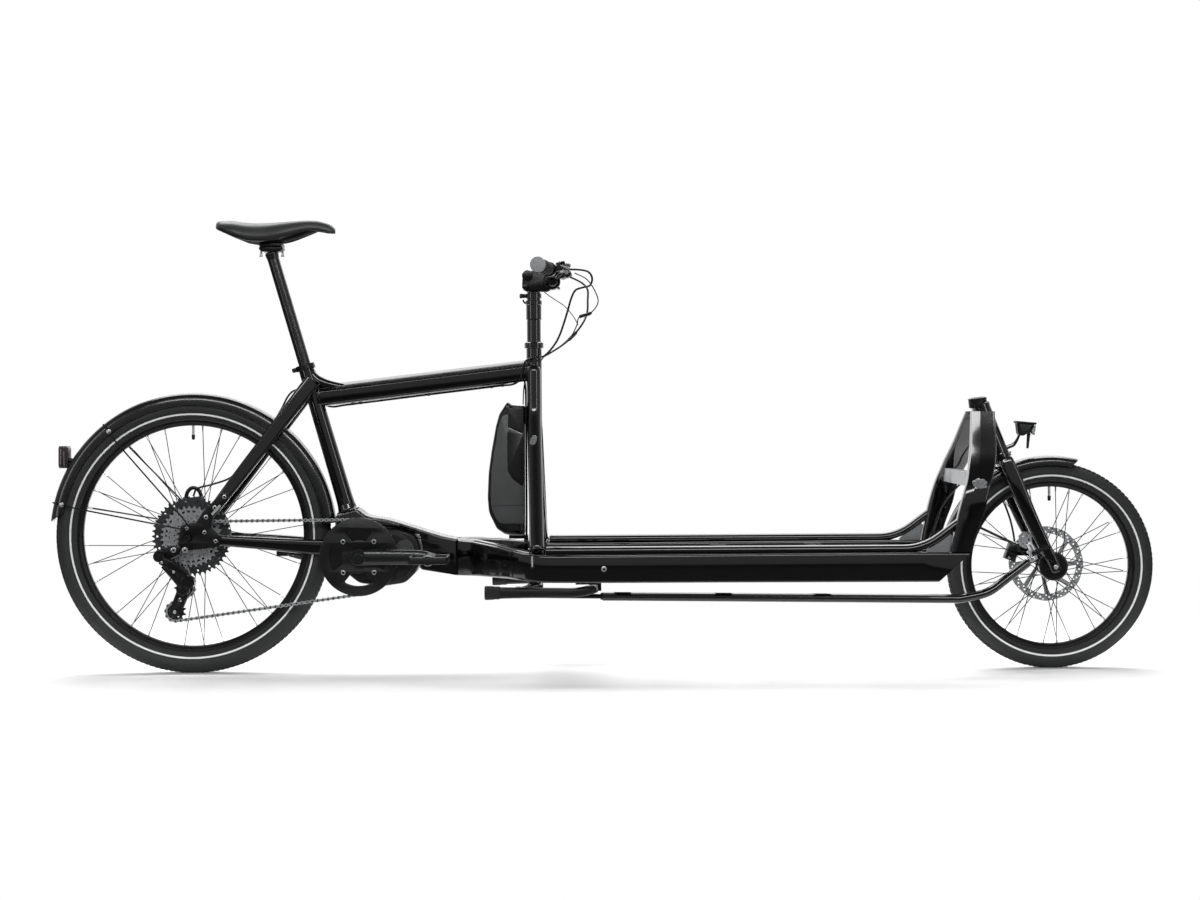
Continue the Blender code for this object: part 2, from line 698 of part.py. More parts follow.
def leg_path(side):
    """Centre line of one leg of the column frame."""
    return rounded_path([(STEER_X, side * 0.0362, 0.742), (STEER_X, side * 0.0362, 0.622),
                         (-0.150, side * 0.2075, 0.300)], 0.09, 3)


def leg(name, side, finish):
    """A leg from the head tube's side down and out to the deck beam."""
    body = pipe(leg_path(side), LEG_OD / 2, 12, (1, 0, 0))
    cuts = [tube_cut((STEER_X, 0, 0.5), (STEER_X, 0, 0.9), HEAD_TUBE_OD / 2), deck_beam_body(side, GAP),
            rail_body(side, GAP)]
    return build_piece(name, finish, [body], cuts)


def deck_beam_body(side, grow=0.0):
    """Box beam: splits off the centre beam, turns out beside the column and runs to a slanted nose."""
    half = BEAM_W / 2 + grow
    stations = [(SHELL_FRONT_X + GAP, 0.0215, 0.2330, 0.3175, 0.0185, 0.0),
                (-0.300, 0.050, 0.2335, 0.3155, 0.0180, 0.9),
                (-0.225, 0.133, 0.2355, 0.3060, half, 0.90), (-0.190, 0.176, 0.2350, 0.3000, half, 0.75),
                (-0.160, 0.2020, 0.2325, 0.2960, half, 0.40),
                (-0.120, DECK_Y, BEAM_BOTTOM_Z, BEAM_TOP_Z, half, 0)]
    rings = []
    for x, y, low, high, w, turn in stations:
        across = Vector((-sin(turn), cos(turn), 0))
        centre = Vector((x, y, 0))
        rings.append(box_ring(centre, across * w, low - grow, high + grow, side))
    rings.append(slant_ring(DECK_FOOT_X, DECK_NOSE_X, half, grow, side))
    return lofted(rings)


def box_ring(centre, across, low, high, side):
    """Four corners of a beam's section with its lower edges cut."""
    cut = 0.006
    inward = across.normalized() * cut
    corners = [(centre - across, high), (centre - across, low + cut), (centre - across + inward, low),
               (centre + across - inward, low), (centre + across, low + cut), (centre + across, high)]
    return [(p.x, p.y * side, z) for p, z in corners]


def slant_ring(foot_x, nose_x, half, grow, side):
    """The beam's front end, cut on a slant from its lower to its upper edge."""
    low, high = BEAM_BOTTOM_Z - 0.003 - grow, BEAM_TOP_Z + 0.002 + grow
    cut = 0.006
    foot = foot_x + cut * (nose_x - foot_x) / (high - low)
    y0, y1 = DECK_Y - half, DECK_Y + half
    corners = [(nose_x, y0, high), (foot, y0, low + cut), (foot_x, y0 + cut, low), (foot_x, y1 - cut, low),
               (foot, y1, low + cut), (nose_x, y1, high)]
    return [(x, y * side, z) for x, y, z in corners]


def rail_body(side, grow=0.0):
    """Round rail on the beam that lifts off at the front and curves up to the upright."""
    y = side * DECK_Y
    path = rounded_path([(-0.130, y, 0.3025), (0.742, y, 0.3025), (0.836, y, 0.372)], 0.14, 4)
    return pipe(path, RAIL_OD / 2 + grow, 8, (0, 1, 0))


def deck_beam(name, side, finish):
    """Beam, rail, the web under the rail's rise and the side bolt."""
    y = side * DECK_Y
    web = extruded([(0.735, 0.290), (0.800, 0.290), (0.812, 0.344), (0.770, 0.314)], y - 0.003, y + 0.003)
    bolt = rod((0.004, y, 0.262), (0.004, side * (DECK_Y + BEAM_W / 2 + 0.004), 0.262), 0.0065, 8)
    return build_piece(name, finish, [deck_beam_body(side), rail_body(side), web, bolt],
                       [upright_body(side, GAP)])


def main_beam(finish):
    """Shell over the motor that runs on into the centre beam, hollowed for the motor."""
    slope = (SEAT_TUBE_TOP.x - SEAT_TUBE_FOOT.x) / (SEAT_TUBE_FOOT.z - SEAT_TUBE_TOP.z)
    rest = SEAT_TUBE_FOOT.z - GAP * 1.2
    outline = [(SHELL_REAR_X, 0.285), (-0.6290, 0.285), (-0.6290, 0.345), (-0.612, 0.3500), (-0.560, 0.3515),
               (-0.480, 0.3500), (-0.436, 0.337), (-0.4285, 0.300), (-0.437, 0.248), (SHELL_FRONT_X, 0.233),
               (SHELL_FRONT_X, 0.3178), (-0.391, 0.328), (-0.453, 0.348), (-0.512, 0.366), (-0.563, 0.3745),
               (-0.588, rest + slope * (-0.588 - SEAT_TUBE_FOOT.x)),
               (-0.6340, rest + slope * (-0.6340 - SEAT_TUBE_FOOT.x)), (SHELL_REAR_X, 0.372)]
    rings = [[(x, y, z) for x, z in outline] for y in (-0.0400, 0.0400)]
    return build_piece("main_beam", finish, [lofted(rings)])


def cross_member(name, x, finish):
    """Flat-topped cross tube between the deck beams."""
    body = block((x - 0.020, -0.1951, 0.262), (x + 0.020, 0.1951, 0.2900))
    bore = block((x - 0.0165, -0.25, 0.2655), (x + 0.0165, 0.25, 0.2865))
    return build_piece(name, finish, [body], [bore])


def column_bridge(finish):
    """Cross tube with the column's lower bearing, and the battery's foot plate on it."""
    tube = rod((STEER_X, -0.195, 0.266), (STEER_X, 0.195, 0.266), 0.017, 12)
    boss = rod((STEER_X, 0, 0.239), (STEER_X, 0, 0.293), 0.024, 16)
    foot = extruded([(-0.176, 0.282), (-0.176, 0.3275), (-0.222, 0.3275), (-0.222, 0.3195), (-0.186, 0.3195),
                     (-0.186, 0.270)], -0.026, 0.026)
    bore = rod((STEER_X, 0, 0.20), (STEER_X, 0, 0.40), COLUMN_OD / 2 + RUN, 16)
    return build_piece("column_bridge", finish, [tube, boss, foot],
                       [bore, deck_beam_body(1, GAP), deck_beam_body(-1, GAP)])


def upright_point(t, ahead=0.0, y=0.0, above=0.0):
    """Point near the line from the uprights' feet to the fork's top, which t runs along."""
    return UPRIGHT_FOOT.lerp(FORK_TOP, t) + Vector((ahead, y, above))


def upright_body(side, grow=0.0):
    """Front upright: stands on the beam's nose, then leans in to the fork's head tube."""
    stations = [(0, 0, 0.0470, DECK_Y, 0.0150), (0.2630, -0.0099, 0.0491, DECK_Y, 0.0150),
                (0.4605, -0.0117, 0.0453, 0.204, 0.0165), (0.6020, -0.0132, 0.0468, 0.164, 0.0200),
                (0.7199, -0.0142, 0.0448, 0.120, 0.0200), (0.9410, -0.0215, 0.0340, 0.038, 0.0165)]
    cut = 0.007
    rings = []
    for t, behind, ahead, y, half in stations:
        z = upright_point(t).z
        half += grow
        rear, front = upright_point(t, behind - grow).x, upright_point(t, ahead + grow).x
        outline = [(rear, y - half + cut), (rear + cut, y - half), (front - cut, y - half),
                   (front, y - half + cut),
                   (front, y + half - cut), (front - cut, y + half), (rear + cut, y + half),
                   (rear, y + half - cut)]
        rings.append([(px, py * side, z) for px, py in outline])
    return lofted(rings)


def upright(name, side, finish):
    """One front upright, mitred to the fork's head tube."""
    cut = rod(steer_point(-0.1), steer_point(0.3), FORK_HEAD_OD / 2 + 2 * GAP, 16)
    return build_piece(name, finish, [upright_body(side)], [cut])


def steer_point(distance):
    """Point of the fork's steering axis below its top."""
    return FORK_TOP + STEER_DOWN * distance


def fork_head_tube(finish):
    """The fork's bearing tube with its top cap."""
    tube = hollow(steer_point(0.0), steer_point(FORK_HEAD_LENGTH), FORK_HEAD_OD / 2, STEERER_OD / 2 + RUN, 12)
    return build_piece("fork_head_tube", finish, [tube])


def cross_plate(finish):
    """Bar between the uprights where they start to lean in."""
    bar = block(upright_point(0.4827, 0.0, -0.200, -0.0165), upright_point(0.4827, 0.0220, 0.200, 0.0165))
    return build_piece("cross_plate", finish, [bar], [upright_body(1, GAP), upright_body(-1, GAP)])


def near_rear_hub(points):
    """(x, z) points counted from the rear hub's centre, in the world."""
    return [(REAR_HUB.x + x, REAR_HUB.z + z) for x, z in points]


def chainstay(name, side, finish):
    """Chainstay squeezed between tyre and chainring, with the dropout plate at its end."""
    out = STAY_OUT_Y + 0.0015
    root = Vector((SHELL_REAR_X + 0.007, 0, 0.302))
    end = REAR_HUB + Vector((0.052, 0, -0.0065))
    path = []
    for t, y, sag in ((0, 0.0385, 0), (0.2, 0.0385, 0.0028), (0.3833, 0.0520, 0.0017),
                      (0.5667, 0.0605, 0.0007),
                      (1, out - 0.0070, 0)):
        path.append(root.lerp(end, t) + Vector((0, side * y, -sag)))
    body = swept(path, tapered_box([(0, 0.0072, 0.0185), (0.25, 0.0072, 0.0175), (0.75, 0.0085, 0.0150),
                                    (1, 0.0070, 0.0120)], 0.003))
    lug = [(0.042, 0.062), (0.020, 0.036), (-0.016, 0.022)]
    if side > 0:                # the far plate rises to the caliper's mount
        lug = [(0.042, 0.062), (0.020, 0.072), (-0.016, 0.072)]
    plate = near_rear_hub([(-0.024, -0.016), (-0.008, -0.032), (0.037, -0.030), (0.077, -0.018),
                           (0.077, 0.004),
                           (0.060, 0.020), (0.064, 0.050)] + lug)
    dropout = extruded(plate, side * (STAY_OUT_Y + GAP), side * (STAY_OUT_Y + DROPOUT_THICK))
    bolts = [rod((x, side * (STAY_OUT_Y + 0.005), z), (x, side * (STAY_OUT_Y + 0.0085), z), 0.0045, 6)
             for x, z in near_rear_hub([(0.044, 0.044), (0.052, 0.015), (0.066, -0.009)])]
    hole = rod((REAR_HUB.x, -0.2, REAR_HUB.z), (REAR_HUB.x, 0.2, REAR_HUB.z), AXLE_R + GAP, 16)
    shell = block((SHELL_REAR_X - GAP, -0.1, 0.2), (SHELL_REAR_X + 0.1, 0.1, 0.4))
    return build_piece(name, finish, [body, dropout] + bolts, [hole, shell])


def seatstay_point(t, y, above=0.0):
    """Point on, or square above, a seat stay's straight line, which t runs up along."""
    foot = REAR_HUB + Vector((0.039, 0, 0.0375))
    top = Vector((-0.694, 0, 0.696))
    along = (top - foot).normalized()
    return foot.lerp(top, t) + Vector((-along.z * above, y, along.x * above))


def seatstay(name, side, finish):
    """Seat stay from the dropout up to the seat tube, growing taller as it rises."""
    end_y = STAY_OUT_Y - 0.0067
    path = [seatstay_point(t, side * y) for t, y in
            ((0, end_y), (0.1727, end_y - 0.001), (0.5743, 0.0455), (0.9116, 0.0310), (1, 0.0250))]
    body = swept(path, tapered_box([(0, 0.0066, 0.0115), (0.3, 0.0070, 0.0155), (1, 0.0085, 0.0195)], 0.003))
    return build_piece(name, finish, [body], [seat_tube_solid(GAP), top_tube_body(GAP)])


# Motor and battery

def motor(finish):
    """Mid motor casing with a round cover on each side and the spindle's bore."""
    outline = [(-0.6275, 0.300), (-0.618, 0.332), (-0.600, 0.3430), (-0.560, 0.3480), (-0.490, 0.3465),
               (-0.446, 0.334), (-0.4335, 0.300), (-0.4400, 0.245), (-0.470, 0.216), (-0.520, 0.209),
               (-0.580, 0.216), (-0.615, 0.244)]
    middle = (-0.530, 0.280)
    rings = []
    for y, k in ((-0.0455, 0.93), (-0.0415, 1.0), (0.050, 1.0), (0.057, 0.90)):
        rings.append([(middle[0] + (x - middle[0]) * k, y, middle[1] + (z - middle[1]) * k) for x,
                      z in outline])
    cover = rod((-0.505, -0.030, 0.280), (-0.505, -0.0485, 0.280), 0.062, 16)
    far_cover = rod((-0.530, 0.040, 0.280), (-0.530, 0.0620, 0.280), 0.058, 16)
    boss = rod(BOTTOM_BRACKET + Vector((0, -0.0488, 0)), BOTTOM_BRACKET + Vector((0, 0.0638, 0)), 0.021, 12)
    bore = rod(BOTTOM_BRACKET + Vector((0, -0.2, 0)), BOTTOM_BRACKET + Vector((0, 0.2, 0)), SPINDLE_R + RUN,
               12)
    return build_piece("motor", finish, [lofted(rings), cover, far_cover, boss], [bore])


def battery(finish):
    """Battery pack: slanted top, chamfered flanks and a rounded foot."""
    outline = [(-0.1840, 0.638), (-0.2140, 0.640), (-0.2225, 0.648), (-0.2420, 0.618), (-0.2510, 0.590),
               (-0.2680, 0.480), (-0.2715, 0.420), (-0.2680, 0.382), (-0.2480, 0.344), (-0.2250, 0.3305),
               (-0.2126, 0.3280), (-0.1845, 0.3280)]
    middle = (-0.205, 0.480)
    rings = []
    for y, dx, kz in ((-0.050, 0.86, 0.975), (-0.040, 1.0, 1.0), (0.040, 1.0, 1.0), (0.050, 0.86, 0.975)):
        rings.append([(middle[0] + (x - middle[0]) * dx, y, middle[1] + (z - middle[1]) * kz) for x,
                      z in outline])
    return build_piece("battery", finish, [lofted(rings)])


# Mudguards and lights

def mudguard_shell(hub, radius, start, end, steps, width):
    """A curved strip round a wheel with turned-down edges."""
    half, wall, drop = width / 2, GUARD_WALL, 0.009
    section = [(-half, -drop), (-half * 0.62, 0.0), (half * 0.62, 0.0), (half, -drop),
               (half - wall, -drop - wall * 0.3), (half * 0.56, -wall), (-half * 0.56, -wall),
               (-half + wall, -drop - wall * 0.3)]
    rings = []
    for i in range(steps + 1):
        a = start + (end - start) * i / steps
        rings.append([hub + Vector(((radius + h) * cos(a), y, (radius + h) * sin(a))) for y, h in section])
    return lofted(rings)


def on_circle(hub, radius, degrees, y):
    """Point on a circle round a hub, at an angle from straight ahead."""
    a = radians(degrees)
    return hub + Vector((radius * cos(a), y, radius * sin(a)))


def rear_mudguard(finish):
    """Rear guard from the seat tube's foot over the wheel, with its wire stays."""
    shell = mudguard_shell(REAR_HUB, GUARD_R, radians(5), radians(174), 22, 0.056)
    solids = [shell]
    for side in (-1, 1):
        for angle, dx, dz in ((166, -0.014, 0.017), (128, 0.006, 0.029)):
            start = REAR_HUB + Vector((dx, side * 0.0806, dz))
            near = on_circle(REAR_HUB, GUARD_R - 0.044, angle, side * 0.0400)
            rim_point = on_circle(REAR_HUB, GUARD_R - 0.0025, angle, side * 0.0268)
            outer = on_circle(REAR_HUB, GUARD_R - 0.0030, angle, side * 0.0240)
            beyond = start.lerp(near, 0.17)
            beyond.y = start.y
            solids.append(pipe([start, beyond, near, rim_point, outer], STAY_WIRE_R, 4, (0, 1, 0)))
    return build_piece("rear_mudguard", finish, solids)


def rear_light(finish):
    """Tall rear lamp that stands upright on a short foot behind the guard."""
    out = Vector((cos(LAMP_ANGLE), 0, sin(LAMP_ANGLE)))
    foot = rod(REAR_HUB + out * (GUARD_R + GAP), REAR_HUB + out * (GUARD_R + 0.018), 0.007, 8)
    centre = REAR_HUB + out * (GUARD_R + 0.020)
    rings = []
    for x, rise, w, h in ((0.0080, 0.009, 0.012, 0.010), (0.0035, 0.002, 0.018, 0.024),
                          (-0.0075, 0.0, 0.018, 0.027), (-0.0120, 0.0, 0.014, 0.023)):
        rings.append([centre + Vector((x, w * a, rise + h * b)) for a, b in
                      ((-1, -0.6), (-0.6, -1), (0.6, -1), (1, -0.6), (1, 0.6), (0.6, 1), (-0.6, 1),
                       (-1, 0.6))])
    return build_piece("rear_light", finish, [lofted(rings), foot])


def headlight(finish):
    """Front lamp with a visor on a bent wire arm from the fork's crown."""
    centre = FORK_TOP + Vector((0.109, 0, -0.062))
    aim = Vector((0.94, 0, -0.34)).normalized()
    shell = turned([(0.0, -0.020), (0.010, -0.019), (0.020, -0.008), (0.023, 0.006), (0.022, 0.016),
                    (0.0, 0.017)],
                   centre, aim, 12)
    visor = extruded([(centre.x + x, centre.z + z) for x, z in
                      ((-0.020, 0.019), (0.030, 0.017), (0.030, 0.014), (-0.018, 0.012))], -0.018, 0.018)
    root = steer_point(CROWN_DROP - 0.004) + STEER_AHEAD * (FORK_HEAD_OD / 2 + GAP)
    arm = pipe(rounded_path([root, root + STEER_AHEAD * 0.010, centre + Vector((-0.014, 0, -0.028)),
                             centre + Vector((-0.004, 0, -0.013))], 0.01, 2), 0.0026, 6, (0, 1, 0))
    return build_piece("headlight", finish, [shell, visor, arm], pivot=FORK_TOP)


# Drive

def crank_arm(side, reach):
    """Forged arm from the spindle boss to the pedal eye; reach is +1 forward or -1 back."""
    y0, y1 = side * 0.0700, side * 0.0790
    bb = BOTTOM_BRACKET
    stations = [(-0.006, y0, 0.0055, 0.0150), (0.030, y0 + side * 0.001, 0.0060, 0.0165),
                (0.110, y0 + side * 0.006, 0.0055, 0.0125), (CRANK_LENGTH - 0.006, y1, 0.0062, 0.0115),
                (CRANK_LENGTH + 0.012, y1, 0.0060, 0.0070)]
    rings = []
    for x, y, w, h in stations:
        rings.append([Vector((bb.x + reach * x, y + s, bb.z + t)) for s, t in soft_box(w, h, 0.0025)])
    return lofted(rings)


def crank_right(finish):
    """Drive-side crank: boss, spider, toothed ring, guard ring, arm and pedal axle."""
    bb = BOTTOM_BRACKET
    bore = SPINDLE_R + GAP
    boss = rod(bb + Vector((0, -0.0500, 0)), bb + Vector((0, -0.0770, 0)), 0.0205, 14)
    teeth = sprocket(bb, RING_TEETH, CHAIN_Y, SPROCKET_THICK, pi / RING_TEETH)
    spider = turned([(0.0, 0.0530), (0.0720, 0.0530), (0.0720, 0.0572), (0.0935, 0.0572), (0.0935, 0.0602),
                     (0.0660, 0.0602), (0.0650, 0.0590), (0.0, 0.0590)], bb, (0, -1, 0), 24)
    arm = crank_arm(-1, 1)
    eye = Vector((bb.x + CRANK_LENGTH, 0, bb.z))
    axle = rod(eye + Vector((0, -0.075, 0)), eye + Vector((0, -0.186, 0)), 0.0055, 8)
    windows = []
    for i in range(4):
        middle = pi / 4 + i * pi / 2
        low, high = 0.034, 0.0625
        outline = (arc((bb.x, bb.z), high, middle - 0.52, middle + 0.52, 4)
                   + arc((bb.x, bb.z), low, middle + 0.36, middle - 0.36, 2))
        windows.append(extruded(outline, -0.045, -0.064))
    plate = combine_now([spider, teeth], windows)
    return build_piece("crank_right", finish, [plate, boss, arm, axle],
                       [rod(bb + Vector((0, -0.040, 0)), bb + Vector((0, -0.0800, 0)), bore, 12)], pivot=bb)


def combine_now(solids, cuts):
    """Fuse and cut solids ahead of the rest of their piece."""
    obj = object_from(solids[0], "stage")
    combined(obj, solids[1:], "UNION")
    combined(obj, cuts, "DIFFERENCE")
    bm = bmesh.new()
    bm.from_mesh(obj.data)
    bpy.data.objects.remove(obj)
    return bm


def crank_left(finish):
    """Far-side crank with the spindle that runs through the motor."""
    bb = BOTTOM_BRACKET
    spindle = rod(bb + Vector((0, 0.070, 0)), bb + Vector((0, -0.0768, 0)), SPINDLE_R, 12)
    boss = rod(bb + Vector((0, 0.0644, 0)), bb + Vector((0, 0.0780, 0)), 0.0195, 14)
    eye = Vector((bb.x - CRANK_LENGTH, 0, bb.z))
    axle = rod(eye + Vector((0, 0.075, 0)), eye + Vector((0, 0.186, 0)), 0.0055, 8)
    return build_piece("crank_left", finish, [spindle, boss, crank_arm(1, -1), axle], pivot=bb)


def pedal(name, side, reach, finish):
    """Cage pedal: barrel round the axle, two toothed rails and end bars."""
    eye = BOTTOM_BRACKET + Vector((reach * CRANK_LENGTH, side * 0.0980, 0))
    inner, outer = 0.0980, 0.0980 + PEDAL_WIDTH
    half, thick = PEDAL_LENGTH / 2, PEDAL_THICK / 2
    low_y, high_y = sorted((side * inner, side * outer))
    frame = slab([(eye.x - half, low_y + 0.008), (eye.x - half + 0.010, low_y), (eye.x + half - 0.010, low_y),
                  (eye.x + half, low_y + 0.008), (eye.x + half, high_y - 0.008),
                  (eye.x + half - 0.010, high_y),
                  (eye.x - half + 0.010, high_y), (eye.x - half, high_y - 0.008)], eye.z - thick,
                 eye.z + thick)
    windows = []
    for sx in (-1, 1):
        x0, x1 = sorted((eye.x + sx * 0.0125, eye.x + sx * (half - 0.007)))
        windows.append(block((x0, low_y + 0.009, 0.2), (x1, high_y - 0.009, 0.4)))
    bore = rod((eye.x, side * (inner - 0.01), eye.z), (eye.x, side * 0.188, eye.z), 0.0055 + RUN, 8)
    return build_piece(name, finish, [frame], windows + [bore], pivot=Vector((eye.x, 0, eye.z)))


def cassette(finish):
    """Freehub with a toothed cog for each number of teeth, largest inboard."""
    bore = AXLE_R + RUN
    right, left = 0.0640, 0.0252
    core = rod(REAR_HUB + Vector((0, -left, 0)), REAR_HUB + Vector((0, -right, 0)), 0.0175, 10)
    cogs = []
    for i, teeth in enumerate(COG_TEETH):
        y = CHAIN_Y + (CHAIN_COG - i) * COG_SPACING
        cogs.append(sprocket(REAR_HUB, teeth, y, SPROCKET_THICK))
    bored = rod(REAR_HUB + Vector((0, -0.1, 0)), REAR_HUB + Vector((0, 0.1, 0)), bore, 10)
    return build_piece("cassette", finish, [core] + cogs, [bored], pivot=REAR_HUB)


def jockey(name, centre, finish):
    """Toothed pulley of the derailleur on a thicker hub."""
    wheel_disc = sprocket(centre, JOCKEY_TEETH, CHAIN_Y, SPROCKET_THICK, 0.3)
    core = rod(centre + Vector((0, -0.0060, 0)), centre + Vector((0, 0.0060, 0)), 0.0085, 10)
    bore = rod(centre + Vector((0, -0.02, 0)), centre + Vector((0, 0.02, 0)), 0.0025 + RUN, 8)
    return build_piece(name, finish, [wheel_disc, core], [bore], pivot=centre)


def derailleur(finish):
    """Hanger, parallelogram body and the cage plates that hold both pulleys."""
    hanger = extruded(near_rear_hub([(-0.014, -0.022), (-0.040, -0.018), (-0.070, -0.032), (-0.068, -0.054),
                                     (-0.048, -0.054), (-0.018, -0.038)]), -0.0835, -STAY_OUT_Y - 0.0066)
    knuckle = REAR_HUB + Vector((-0.059, 0, -0.043))
    upper = rod(knuckle + Vector((0, -0.0965, 0)), knuckle + Vector((0, -0.0800, 0)), 0.0145, 10)
    rings = []
    for x, y, z, w, d in ((-0.052, -0.089, -0.042, 0.011, 0.0065), (-0.032, -0.084, -0.080, 0.013, 0.0075),
                          (-0.014, -0.076, -0.125, 0.013, 0.0080)):
        centre = REAR_HUB + Vector((x, y, z))
        rings.append([centre + Vector((a, b, 0)) for a, b in ((-w, -d), (w, -d), (w, d), (-w, d))])
    link = lofted(rings)
    lower_at = GUIDE_JOCKEY - Vector((0, CHAIN_Y, 0.0005))
    lower = rod(lower_at + Vector((0, -0.0850, 0)), lower_at + Vector((0, -0.0625, 0)), 0.0160, 10)
    plates = []
    gx, gz, tx, tz = GUIDE_JOCKEY.x, GUIDE_JOCKEY.z, TENSION_JOCKEY.x, TENSION_JOCKEY.z
    lean = atan2(tz - gz, tx - gx)
    outline = (arc((gx, gz), 0.0150, lean + pi / 2, lean + 3 * pi / 2, 5)
               + arc((tx, tz), 0.0130, lean - pi / 2, lean + pi / 2, 5))
    for y in (CHAIN_Y - 0.0095, CHAIN_Y + 0.0070):
        plates.append(extruded(outline, y, y + 0.0025))
    pins = [rod(c + Vector((0, -0.0085, 0)), c + Vector((0, 0.0085, 0)), 0.0025, 8)
            for c in (GUIDE_JOCKEY, TENSION_JOCKEY)]
    return build_piece("derailleur", finish, [hanger, upper, link, lower] + plates + pins)


def chain(finish):
    """The roller chain as one closed run."""
    solids = chain_solids()
    return build_piece("chain", finish, solids)


def rear_axle(finish):
    """Through axle with its end caps between hub and dropouts."""
    face, cap = REAR_SPACING / 2 - GAP, 0.0085
    profile = [(0.0, -0.0866), (0.0085, -0.0866), (0.0085, -0.0784), (AXLE_R, -0.0784), (AXLE_R, -face),
               (cap, -face), (cap, -0.0645), (AXLE_R, -0.0645), (AXLE_R, 0.0615), (cap, 0.0615), (cap, face),
               (AXLE_R, face), (AXLE_R, 0.0784), (0.0085, 0.0784), (0.0085, 0.0830), (0.0, 0.0830)]
    return build_piece("rear_axle", finish, [turned(profile, REAR_HUB, (0, 1, 0), 8)])


def caliper(name, hub, rotor_y, rotor_r, angle, foot, seats, finish, pivot=None):
    """Two-piston caliper over the rotor's edge with a foot that is cut to what carries it."""
    a = radians(angle)
    out = Vector((cos(a), 0, sin(a)))
    tangent = Vector((-sin(a), 0, cos(a)))
    centre = hub + Vector((0, rotor_y, 0)) + out * (rotor_r - 0.002)
    body = lofted([[centre + tangent * t + Vector((0, y, 0)) + out * o for t, y in
                    ((-0.022, -0.012), (-0.016, -0.015), (0.016, -0.015), (0.022, -0.012), (0.022, 0.012),
                     (0.016, 0.015), (-0.016, 0.015), (-0.022, 0.012))] for o in (-0.013, 0.013)])
    slot = lofted([[centre + tangent * t + Vector((0, y, 0)) + out * o for t, y in
                    ((-0.03, -0.0020), (0.03, -0.0020), (0.03, 0.0020), (-0.03, 0.0020))] for o in (-0.02,
                                                                                                    0.0045)])
    return build_piece(name, finish, [body, foot], [slot] + seats, pivot=pivot)


# Stand

def stand_bracket(finish):
    """Plate under the frame with the stand's pivot ears."""
    plate = block((-0.140, -0.060, 0.2180), (-0.030, 0.060, 0.2265))
    arms = block((-0.060, -0.197, 0.2235), (-0.036, 0.197, 0.2295))
    ears = [block((-0.030, y - 0.008, 0.2050), (-0.002, y + 0.008, 0.2255)) for y in (-0.150, 0.150)]
    hub = [block((-0.062, y - 0.008, 0.2200), (-0.004, y + 0.008, 0.2260)) for y in (-0.150, 0.150)]
    bore = rod((-0.016, -0.3, 0.2145), (-0.016, 0.3, 0.2145), 0.0060 + RUN, 8)
    cuts = [bore, deck_beam_body(1, GAP), deck_beam_body(-1, GAP), column_bridge_boss()]
    return build_piece("stand_bracket", finish, [plate, arms] + ears + hub, cuts)


def column_bridge_boss():
    """Room round the column's foot."""
    return rod((STEER_X, 0, 0.19), (STEER_X, 0, 0.24), 0.060, 16)


def kickstand(finish):
    """Two-legged stand on one cross shaft, folded back under the deck."""
    shaft = rod((-0.016, -0.196, 0.2145), (-0.016, 0.196, 0.2145), 0.0060, 8)
    solids = [shaft]
    for side in (-1, 1):
        y = side * 0.1905
        path = rounded_path([(-0.016, y, 0.2125), (-0.060, y, 0.2035), (-0.110, y, 0.205),
                             (-0.262, y, 0.205)], 0.05, 2)
        solids.append(swept(path, tapered_box([(0, 0.010, 0.0100), (0.4, 0.012, 0.0125),
                                               (1, 0.012, 0.0125)], 0.005)))
        solids.append(rod((-0.236, y, 0.205), (-0.273, y, 0.205), 0.0150, 10, 0.0165))
    return build_piece("kickstand", finish, solids, pivot=Vector((-0.016, 0, 0.2145)))


# Steering

def steering_column(finish):
    """Column from the arm under the deck to the telescope clamp below the stem."""
    r = COLUMN_OD / 2
    profile = [(0.0, 0.1900), (0.0125, 0.1900), (0.0125, 0.1940), (0.0200, 0.1940), (0.0200, 0.2080),
               (0.0160, 0.2100), (0.0160, 0.2380), (r, 0.2380), (r, 0.7763), (0.0230, 0.7763),
               (0.0230, 0.7900),
               (0.0165, 0.7900), (0.0165, 0.8450), (0.0185, 0.8450), (0.0185, 0.8780), (0.0175, 0.8780),
               (0.0175, 0.8915), (0.0195, 0.8915), (0.0195, 0.9110), (0.0118, 0.9110), (0.0118, 0.7000),
               (0.0, 0.7000)]
    tube = turned(profile, (STEER_X, 0, 0), (0, 0, 1), 12)
    ball = Vector((STEER_X + COLUMN_ARM.x, COLUMN_ARM.y, ARM_Z))
    foot = Vector((STEER_X, 0, ARM_Z))
    arm = swept([foot + (ball - foot) * 0.1, foot + (ball - foot) * 0.6, ball],
                tapered_box([(0, 0.0150, 0.0060), (0.6, 0.0110, 0.0055), (1, 0.0095, 0.0045)], 0.002))
    pin = rod(ball + Vector((0, 0, -0.0165)), ball, 0.0045, 10)
    lever = swept([(-0.176, 0, 0.902), (-0.196, 0, 0.902), (-0.204, 0.012, 0.902)],
                  lambda i, t: soft_box(0.0060, 0.0060, 0.0015), (0, 0, 1))
    hook = pipe([(-0.174, 0, 0.884), (-0.186, 0, 0.884), (-0.190, 0, 0.890)], 0.0025, 6, (0, 1, 0))
    return build_piece("steering_column", finish, [tube, arm, pin, lever, hook],
                       pivot=Vector((STEER_X, 0, 0)))


